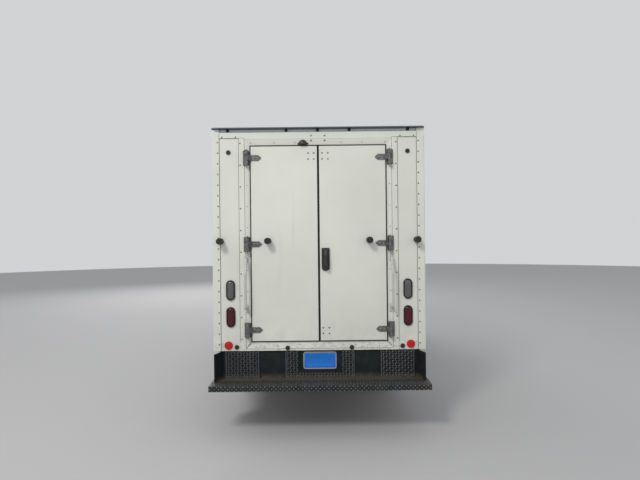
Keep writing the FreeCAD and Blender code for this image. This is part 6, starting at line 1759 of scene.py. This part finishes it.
# %% Door cards
CRANK = (1.5, 0.96)
CRANK_END = (1.6, 0.925)
CRANK_BOSS = [(0.008, 0.026), (0.014, 0.026), (0.018, 0.02), (0.02, 0.01)]
CRANK_KNOB = [(0.02, 0.011), (0.046, 0.014), (0.05, 0.01)]
PULL_Z = 1.085
for side_name, side in SIDES:
    body = f"cab_door_{side_name}"
    on_card = leaning(body, 1.3, 0, (0, side, 0), (0.66, 1.16), FORWARD)
    card, arm, pocket = bmesh.new(), bmesh.new(), bmesh.new()
    add_panel(card, rectangle(1.365, 0.925, 0.8, 0.59, 0.04, 6), on_card,
              [(0, 0.0004), (0, 0.004), (0.003, 0.007), (0.014, 0.009)])
    add_panel(card, rectangle(1.365, 1.07, 0.64, 0.19, 0.03, 6), on_card,
              [(0, 0.006), (0, 0.01), (0.006, 0.0135), (0.02, 0.0145)])
    add_panel(arm, rectangle(1.24, 0.945, 0.3, 0.052, 0.02, 6), on_card,
              [(0, 0.006), (0, 0.042), (0.006, 0.05), (0.016, 0.052)])
    add_panel(pocket, rectangle(1.37, 0.74, 0.56, 0.15, 0.024, 6), on_card,
              [(0, 0.006), (0, 0.026), (0.004, 0.031), (0.018, 0.032)])
    for v in spread(0.69, 0.79, 0.02):
        add_bar(pocket, on_card, (1.11, v), (1.63, v), 0.006, 0.031, 0.034)
    add_turned(pocket, CRANK_BOSS, 28, facing(on_card), on_card(*CRANK, 0))
    add_bar(pocket, on_card, CRANK, CRANK_END, 0.02, 0.017, 0.025, 0.7)
    add_turned(pocket, CRANK_KNOB, 20, facing(on_card), on_card(1.596, 0.926, 0))
    add_strip(pocket, rectangle(1.64, PULL_Z, 0.095, 0.042, 0.012, 5), on_card,
              [(0, 0.006), (0, 0.016), (0.003, 0.018), (0.006, 0.016), (0.006, 0.006)])
    add_bar(pocket, on_card, (1.605, PULL_Z), (1.67, PULL_Z), 0.018, 0.012, 0.02, 0.8)
    piece(f"door_card_{side_name}", card, dash_grey, "dash_grey", body)
    piece(f"armrest_{side_name}", arm, trim_black, "trim_black", body)
    piece(f"door_pocket_{side_name}", pocket, trim_black, "trim_black", body)
print("window cranks at x =", CRANK[0], "z =", CRANK[1])

# %% Roof lining, visors, rear panel and mats
CEILING = 2.05
REAR_WALL = 0.8235
CAB_FLOOR = 0.598
bm = bmesh.new()
add_panel(bm, rectangle(1.145, 0.0, 0.6, 1.3, 0.05, 6), flat((0, 0, CEILING), FORWARD, LEFTWARD, DOWN),
          [(0, 0.0004), (0, 0.005), (0.006, 0.01), (0.03, 0.012)])
piece("roof_lining", bm, roof_cloth)
visors, mats = bmesh.new(), bmesh.new()
for _, side in SIDES:
    on_header = flat((1.42, 0, CEILING - 0.022), (0, side, 0), (0.5, 0, -0.25), (-0.2, 0, -1))
    add_panel(visors, rectangle(0.34, 0.055, 0.4, 0.12, 0.03, 6), on_header,
              [(0.006, 0.0), (0.001, 0.003), (0, 0.008), (0.002, 0.014), (0.01, 0.017)])
    on_cab_floor = flat((0, 0, CAB_FLOOR), FORWARD, (0, side, 0), UP)
    add_panel(mats, rectangle(1.53, 0.48, 0.3, 0.48, 0.04, 6), on_cab_floor,
              [(0, 0.0003), (0, 0.005), (0.003, 0.008), (0.012, 0.007)])
    for u in spread(1.41, 1.65, 0.02):
        add_bar(mats, on_cab_floor, (u, 0.27), (u, 0.69), 0.007, 0.006, 0.0105)
piece("sun_visors", visors, roof_cloth)
on_rear_wall = flat((REAR_WALL, 0, 0), LEFTWARD, UP, FORWARD)
bm = bmesh.new()
add_panel(bm, rectangle(0.0, 1.25, 1.48, 1.18, 0.06, 6), on_rear_wall,
          [(0, 0.0004), (0, 0.004), (0.004, 0.007), (0.02, 0.009)])
for y in spread(-0.6, 0.6, 0.15):
    add_bar(bm, on_rear_wall, (y, 0.72), (y, 1.76), 0.03, 0.007, 0.0125)
piece("rear_trim_panel", bm, dash_grey, "dash_grey")
piece("floor_mats", mats, mat_black, "floor_black")
print("lining at x =", REAR_WALL, "and z =", CEILING)

# %% Pedals and inner mirror
PEDALS = ((0.3, 0.052, 0.745), (0.43, 0.072, 0.755))
bm = bmesh.new()
for y, width, z in PEDALS:
    near, far = y - width / 2, y + width / 2
    add_block(bm, (1.655, near, z - 0.034), (1.67, far, z + 0.034), 0.005)
    for lift in spread(z - 0.026, z + 0.026, 0.009):
        add_block(bm, (1.652, near + 0.005, lift - 0.0018), (1.657, far - 0.005, lift + 0.0018))
    add_rod(bm, Vector((1.668, y, z + 0.01)), Vector((1.76, y, 0.96)),
            ((0.0, 0.0075), (0.5, 0.0075), (1.0, 0.0075)))
piece("pedals", bm, trim_black, "trim_black")

stem = on_screen(0, 1.905, -0.008)
glass_middle = stem + Vector((-0.085, 0, -0.055))
on_inner_mirror = flat(glass_middle, LEFTWARD, UP, (-1, 0, 0.15))
bm = bmesh.new()
add_panel(bm, rectangle(0, 0, 0.23, 0.062, 0.026, 6), on_inner_mirror,
          [(0.012, -0.016), (0.003, -0.011), (0, -0.002), (0.002, 0.001), (0.005, 0.001)])
add_rod(bm, stem, glass_middle + Vector((0.014, 0, 0.01)), ((0.0, 0.006), (1.0, 0.006)))
piece("inner_mirror_shell", bm, trim_black, "trim_black")
bm = bmesh.new()
add_panel(bm, rectangle(0, 0, 0.218, 0.05, 0.022, 6), on_inner_mirror,
          [(0, 0.0008), (0, 0.0022), (0.004, 0.0026)])
piece("inner_mirror_glass", bm, mirror_glass)
print("inner mirror at z =", round(glass_middle.z, 3))

# %% [markdown]
# ## Inside the load box
#
# Slats run along the posts, so that cargo can't dent the thin outer sheet and straps have something
# to hook on. They are hardwood, screwed to the posts. A round lamp sits under the roof, clear of
# the bows. All of it stays outside the space that cargo takes.

# %% Slats and box lamp
POST_FACE = 0.978
SLAT_FACE = 0.9718
SLAT_FEET = (1.02, 1.46, 1.9, 2.34)
SLAT_HEIGHT = 0.12
SLAT_ENDS = (-2.79, 0.66)
FRONT_SLAT = (0.7165, 0.723)
SCREW_STATIONS = (-2.78, -1.93, -1.48, -0.63, 0.22, 0.655)
SCREW_LIFTS = (0.03, 0.09)
SLAT_SCREW = [(-0.001, 0.006), (0.0006, 0.006), (0.0012, 0.003)]
slats = bmesh.new()
for foot in SLAT_FEET:
    head = foot + SLAT_HEIGHT
    for _, side in SIDES:
        near, far = sorted((side * POST_FACE, side * SLAT_FACE))
        add_block(slats, (SLAT_ENDS[0], near, foot), (SLAT_ENDS[1], far, head), 0.0015)
    add_block(slats, (FRONT_SLAT[0], -0.95, foot), (FRONT_SLAT[1], 0.95, head), 0.0015)
piece("load_slats", slats, deck_wood, "deck_wood")
for side_name, side in SIDES:
    heads = [(x, side * SLAT_FACE, foot + lift) for x in SCREW_STATIONS for foot in SLAT_FEET
             for lift in SCREW_LIFTS]
    stamped(f"slat_screws_{side_name}", heads, SLAT_SCREW, 10, (0, -side, 0), bolt_steel)

lamp_foot = touch("box_roof", (-2.1, 0, 2), UP)
LAMP_BASE = [(0, 0.075), (0.01, 0.075), (0.014, 0.068)]
LAMP_DOME = [(0.012, 0.062), (0.024, 0.056), (0.031, 0.036), (0.033, 0.01)]
stamped("box_lamp_base", [lamp_foot], LAMP_BASE, 32, DOWN, trim_black)
stamped("box_lamp_lens", [lamp_foot], LAMP_DOME, 32, DOWN, lamp_glass)
print("screws in the slats of a side:", len(heads))

# %% [markdown]
# ## Latch rods
#
# The paddle outside turns a cam in a flat case on the inside of the right-hand door. The cam draws
# two rods that reach up and down behind the frame. Guides hold the rods to the door's inner sheet.

# %% Latch rods
ROD_Y = -0.064
ROD = ((0, 0.005), (0.003, 0.0065))
ROD_LOW, ROD_HIGH = 0.852, 2.668
GUIDE_PITCH = 0.33
GUIDE_HEIGHT = 0.03
CASE_Z = 1.616
CASE_HALF = 0.065
CASE_DEPTH = 0.024
door_skin = touch("rear_door_right", (-2, ROD_Y, CASE_Z), BACKWARD).x
rods = bmesh.new()
for foot, head in ((ROD_LOW, CASE_Z - 0.05), (CASE_Z + 0.05, ROD_HIGH)):
    length = head - foot
    add_turned(rods, [*ROD, (length - 0.003, 0.0065), (length, 0.005)], 14, UP,
               (door_skin + 0.013, ROD_Y, foot))
    for z in spread(foot + 0.06, head - 0.1, GUIDE_PITCH):
        for near, far, half, bevel in ((-0.001, 0.005, 0.022, 0.001), (0.004, 0.022, 0.011, 0.004)):
            add_block(rods, (door_skin + near, ROD_Y - half, z),
                      (door_skin + far, ROD_Y + half, z + GUIDE_HEIGHT), bevel)
add_block(rods, (door_skin - 0.001, ROD_Y - 0.045, CASE_Z - CASE_HALF),
          (door_skin + CASE_DEPTH, ROD_Y + 0.045, CASE_Z + CASE_HALF), 0.006)
add_turned(rods, [(0, 0.016), (0.006, 0.016), (0.009, 0.01)], 20, FORWARD,
           (door_skin + CASE_DEPTH - 0.001, ROD_Y, CASE_Z))
piece("latch_rods", rods, zinc, "zinc_grey", "rear_door_right")
print("door's inner sheet at x =", round(door_skin, 4))

# %% [markdown]
# ## Highlight lines of the riser
#
# The riser of the step is made of patterned and plain plates side by side. Where two plates meet,
# the edge shows as a narrow pale line of painted highlight.

# %% Riser highlight lines
HIGHLIGHT_HALF = 0.001
shade_and_highlight_lines = bmesh.new()
# Thin pale strips painted as the highlights along the plates' edges.
for edge in (OUTER_SEAM, INNER_SEAM, CENTRE_SEAM, -CENTRE_SEAM, -INNER_SEAM, -OUTER_SEAM):
    add_block(shade_and_highlight_lines, (REAR_FACE - 0.0008, edge - HIGHLIGHT_HALF, RISER_LOW + 0.004),
              (REAR_FACE + 0.002, edge + HIGHLIGHT_HALF, RISER_HIGH - 0.003))
piece("riser_highlight_lines", shade_and_highlight_lines, plate_pale, "step_black", smooth=False)
print("riser seams from z =", round(RISER_LOW + 0.004, 3))

# %% [markdown]
# ## Under the bonnet
#
# With the bonnet up, the block shows its top: a ribbed rocker cover with an oil cap, a round air
# filter, and hoses to the radiator and the heater. The block itself is the CAD solid.

# %% Hose helper


def add_hose(bm, points, radius, sides=12, steps=10):
    """A round hose swept along a smooth curve through points."""
    points = [Vector(point) for point in points]
    ends = [2 * points[0] - points[1], *points, 2 * points[-1] - points[-2]]
    path = []
    for before, start, stop, after in zip(ends, ends[1:], ends[2:], ends[3:]):
        for i in range(steps + (stop is points[-1])):
            t = i / steps
            path.append(0.5 * (2 * start + (stop - before) * t
                               + (2 * before - 5 * start + 4 * stop - after) * t ** 2
                               + (3 * start - before - 3 * stop + after) * t ** 3))
    level = (path[1] - path[0]).orthogonal().normalized()
    rings = []
    for i, point in enumerate(path):
        ahead = (path[min(i + 1, len(path) - 1)] - path[max(i - 1, 0)]).normalized()
        level = (level - ahead * level.dot(ahead)).normalized()
        side = ahead.cross(level)
        rings.append([point + radius * (level * math.cos(2 * math.pi * j / sides)
                                        + side * math.sin(2 * math.pi * j / sides))
                      for j in range(sides)])
    add_loops(bm, rings)


print("hose helper ready")

# %% Engine dress
BLOCK_TOP = touch("engine", (2.5, 0, 1.5), DOWN).z
FILTER_X = 2.365
RIBS = (-0.08, -0.04, 0.0, 0.04, 0.08)
FILTER_CASE = [(0.0, 0.1), (0.006, 0.125), (0.046, 0.128), (0.052, 0.134), (0.058, 0.134),
               (0.064, 0.126), (0.07, 0.06), (0.073, 0.012)]
FILTER_NUT = [(0, 0.012), (0.012, 0.012), (0.016, 0.006)]
OIL_CAP = [(0, 0.024), (0.016, 0.026), (0.02, 0.02)]
# Each hose: its radius and points, with heights above the block's top.
HOSES = (
    (0.021, ((2.68, 0.09, -0.03), (2.76, 0.1, 0.015), (2.84, 0.17, 0.01), (2.888, 0.22, -0.045))),
    (0.012, ((2.24, -0.12, -0.02), (2.15, -0.2, 0.03), (2.02, -0.26, 0), (1.906, -0.28, -0.06))),
    (0.012, ((2.24, -0.1, -0.03), (2.12, -0.15, 0.01), (2.0, -0.2, -0.02), (1.906, -0.23, -0.06))),
)
cover = bmesh.new()
add_block(cover, (2.21, -0.13, BLOCK_TOP - 0.001), (2.69, 0.13, BLOCK_TOP + 0.012), 0.003)
add_block(cover, (2.225, -0.115, BLOCK_TOP + 0.01), (2.675, 0.115, BLOCK_TOP + 0.046), 0.014)
for y in RIBS:
    add_block(cover, (2.5, y - 0.005, BLOCK_TOP + 0.044), (2.66, y + 0.005, BLOCK_TOP + 0.051), 0.002)
piece("rocker_cover", cover, cast_grey)

cleaner = bmesh.new()
add_turned(cleaner, FILTER_CASE, 48, UP, (FILTER_X, 0, BLOCK_TOP + 0.045))
add_block(cleaner, (2.44, -0.045, BLOCK_TOP + 0.055), (2.6, 0.02, BLOCK_TOP + 0.085), 0.01)
add_turned(cleaner, FILTER_NUT, 6, UP, (FILTER_X, 0, BLOCK_TOP + 0.115))
add_turned(cleaner, OIL_CAP, 10, UP, (2.63, 0.06, BLOCK_TOP + 0.047))
piece("air_filter", cleaner, trim_black)

hoses = bmesh.new()
for radius, points in HOSES:
    add_hose(hoses, [(x, y, BLOCK_TOP + rise) for x, y, rise in points], radius)
piece("engine_hoses", hoses, rubber)
print("block's top at z =", round(BLOCK_TOP, 3))

# %% [markdown]
# ## Battery, washer bottle and brake servo
#
# A battery is a ribbed case with two lead posts, and a cable from each. The washer bottle is pale
# blow-moulded plastic. The servo is two pressed steel shells rolled together, with the master
# cylinder and its reservoir in front.

# %% Battery, bottle and servo
SHELF_TOP = 0.815
BATTERY_LOW, BATTERY_HIGH = (2.1, 0.58), (2.33, 0.755)
LID_LIP = 0.004
POST_Y = 0.61
POST_STATIONS = (2.125, 2.305)
LEAD_POST = [(0, 0.016), (0.008, 0.016), (0.009, 0.009), (0.022, 0.008)]
BOTTLE = (2.18, -0.655)
BOTTLE_NECK = [(0, 0.022), (0.02, 0.022)]
BOTTLE_CAP = [(0, 0.027), (0.014, 0.027), (0.018, 0.022)]
SERVO = [(-0.001, 0.07), (0.01, 0.105), (0.04, 0.112), (0.046, 0.118), (0.052, 0.118), (0.058, 0.11),
         (0.09, 0.085), (0.098, 0.035), (0.104, 0.024), (0.22, 0.022), (0.226, 0.016)]


def arch_shelf(bm, low, high, top):
    """A tray whose underside follows the wheel arch below it."""
    corners = [(low[0], low[1]), (high[0], low[1]), (high[0], high[1]), (low[0], high[1])]
    feet = [touch("wings", (x, y, top), DOWN) for x, y in corners]
    add_loops(bm, [[foot - Vector((0, 0, 0.0005)) for foot in feet],
                   [Vector((foot.x, foot.y, top)) for foot in feet]])


tray = bmesh.new()
arch_shelf(tray, (2.09, 0.57), (2.34, 0.77), SHELF_TOP)
arch_shelf(tray, (2.1, -0.73), (2.26, -0.58), SHELF_TOP)
piece("bay_trays", tray, chassis_black)

battery = bmesh.new()
add_block(battery, (*BATTERY_LOW, SHELF_TOP - 0.001), (*BATTERY_HIGH, SHELF_TOP + 0.165), 0.005)
add_block(battery, (BATTERY_LOW[0] - LID_LIP, BATTERY_LOW[1] - LID_LIP, SHELF_TOP + 0.16),
          (BATTERY_HIGH[0] + LID_LIP, BATTERY_HIGH[1] + LID_LIP, SHELF_TOP + 0.19), 0.006)
for y in spread(0.6, 0.735, 0.027):
    add_block(battery, (2.0955, y - 0.003, SHELF_TOP + 0.01), (2.102, y + 0.003, SHELF_TOP + 0.158))
piece("battery", battery, trim_black)
stamped("battery_posts", [(x, POST_Y, SHELF_TOP + 0.189) for x in POST_STATIONS], LEAD_POST, 16, UP,
        bolt_steel)

cables = bmesh.new()
live, dead = (Vector((x, POST_Y, SHELF_TOP + 0.203)) for x in POST_STATIONS)
over_wall = touch("wings", (2.15, 0.53, 1.3), DOWN) + Vector((0, 0, 0.012))
starter = touch("engine", (2.25, 0.6, 0.87), RIGHTWARD)
earth = touch("wings", (2.32, 0.45, 0.9), LEFTWARD)
add_hose(cables, [live, over_wall, over_wall + Vector((0.02, -0.06, -0.03)),
                  starter + Vector((-0.01, 0.06, 0.02)), starter], 0.006, 8)
add_hose(cables, [dead, over_wall + Vector((0.16, 0.01, 0.002)),
                  over_wall + Vector((0.165, -0.02, -0.02)), earth], 0.006, 8)
piece("battery_cables", cables, rubber)
print("cables cross the wall at z =", round(over_wall.z, 3), "and end at y =", round(starter.y, 3))

bottle = bmesh.new()
add_block(bottle, (BOTTLE[0] - 0.07, BOTTLE[1] - 0.065, SHELF_TOP - 0.001),
          (BOTTLE[0] + 0.07, BOTTLE[1] + 0.065, SHELF_TOP + 0.17), 0.02)
add_turned(bottle, BOTTLE_NECK, 20, UP, (*BOTTLE, SHELF_TOP + 0.165))
piece("washer_bottle", bottle, roof_cloth)
stamped("bottle_cap", [(*BOTTLE, SHELF_TOP + 0.182)], BOTTLE_CAP, 20, UP, trim_black)

bulkhead = touch("cab_frame", (2.6, 0.45, 0.97), BACKWARD)
servo = bmesh.new()
add_turned(servo, SERVO, 40, FORWARD, bulkhead)
piece("brake_servo", servo, chassis_black)
reservoir = bmesh.new()
top = bulkhead + Vector((0.16, 0, 0.015))
add_block(reservoir, top - Vector((0.045, 0.022, 0)), top + Vector((0.045, 0.022, 0.05)), 0.008)
piece("brake_reservoir", reservoir, roof_cloth)
print("servo on the bulkhead at x =", round(bulkhead.x, 4))

# %% [markdown]
# ## Floor, light and camera
#
# The stage is one pale floor, so wide that it meets the sky at the horizon. A broad area light high
# on the left behind the camera throws soft shadows to the lower right, as in the photograph, and a
# pale sky fills the rest. The camera stands about five metres behind the doors at a tall person's eye.

# %% Stage
STAGE = (0.44, 0.44, 0.445)
STAGE_RADIUS = 30.0


def stage_paint():
    finish = Finish("studio_floor", STAGE, 0.9)
    finish.shader.inputs["Specular IOR Level"].default_value = 0.2
    finish.paint(finish.mix(finish.noise(0.6, 4), shade(STAGE, 0.99), shade(STAGE, 1.01)))
    return finish.material


rim = turned([(0.0, STAGE_RADIUS)], 64, Vector(UP), Vector())[0]
floor = bmesh.new()
floor.faces.new([floor.verts.new(point) for point in rim])
shown("studio_floor", floor, stage_paint(), smooth=False)
print("stage:", 2 * STAGE_RADIUS, "m across")

# %% Lights
SKY = (0.8, 0.81, 0.83)
SKY_STRENGTH = 0.8


def area_light(name, place, target, size, power, colour):
    data = bpy.data.lights.new(name, "AREA")
    data.shape = "DISK"
    data.size = size
    data.energy = power
    data.color = colour
    light = in_scene(name, data)
    light.location = place
    light.rotation_euler = (Vector(target) - Vector(place)).to_track_quat("-Z", "Y").to_euler()
    return light


area_light("key", (-10, 4, 8.5), (-2.5, 0, 1.2), 2.6, 515, (1.0, 0.98, 0.94))
area_light("fill", (-9, -9, 5), (-1, 0, 1.2), 6, 60, (0.92, 0.96, 1.0))
area_light("front", (11, 5, 7), (2, 0, 1), 5, 480, (1.0, 0.99, 0.97))
area_light("overhead", (0, 0, 9), (0, 0, 0), 8, 100, (1.0, 1.0, 1.0))

world = bpy.data.worlds.new("studio")
world.use_nodes = True
world.node_tree.nodes["Background"].inputs["Color"].default_value = (*SKY, 1)
world.node_tree.nodes["Background"].inputs["Strength"].default_value = SKY_STRENGTH
bpy.context.scene.world = world
bpy.context.scene.view_settings.view_transform = "Standard"
print("lights:", len(bpy.data.lights))

# %% Camera
CAMERA_BACK = 4.8
CAMERA_HEIGHT = 1.8
CAMERA_SIDE = -0.012
CAMERA_ROLL = math.radians(0.6)
LENS = 28.3
SENSOR = 36.0

lens_data = bpy.data.cameras.new("camera")
lens_data.lens = LENS
lens_data.sensor_width = SENSOR
camera = in_scene("camera", lens_data)
camera.location = (REAR_FACE - CAMERA_BACK, CAMERA_SIDE, CAMERA_HEIGHT)
looking = Matrix.Rotation(-math.pi / 2, 4, "Z") @ Matrix.Rotation(math.pi / 2, 4, "X")
camera.rotation_euler = (looking @ Matrix.Rotation(-CAMERA_ROLL, 4, "Z")).to_euler()
bpy.context.scene.camera = camera
print("camera at x =", round(camera.location.x, 3))
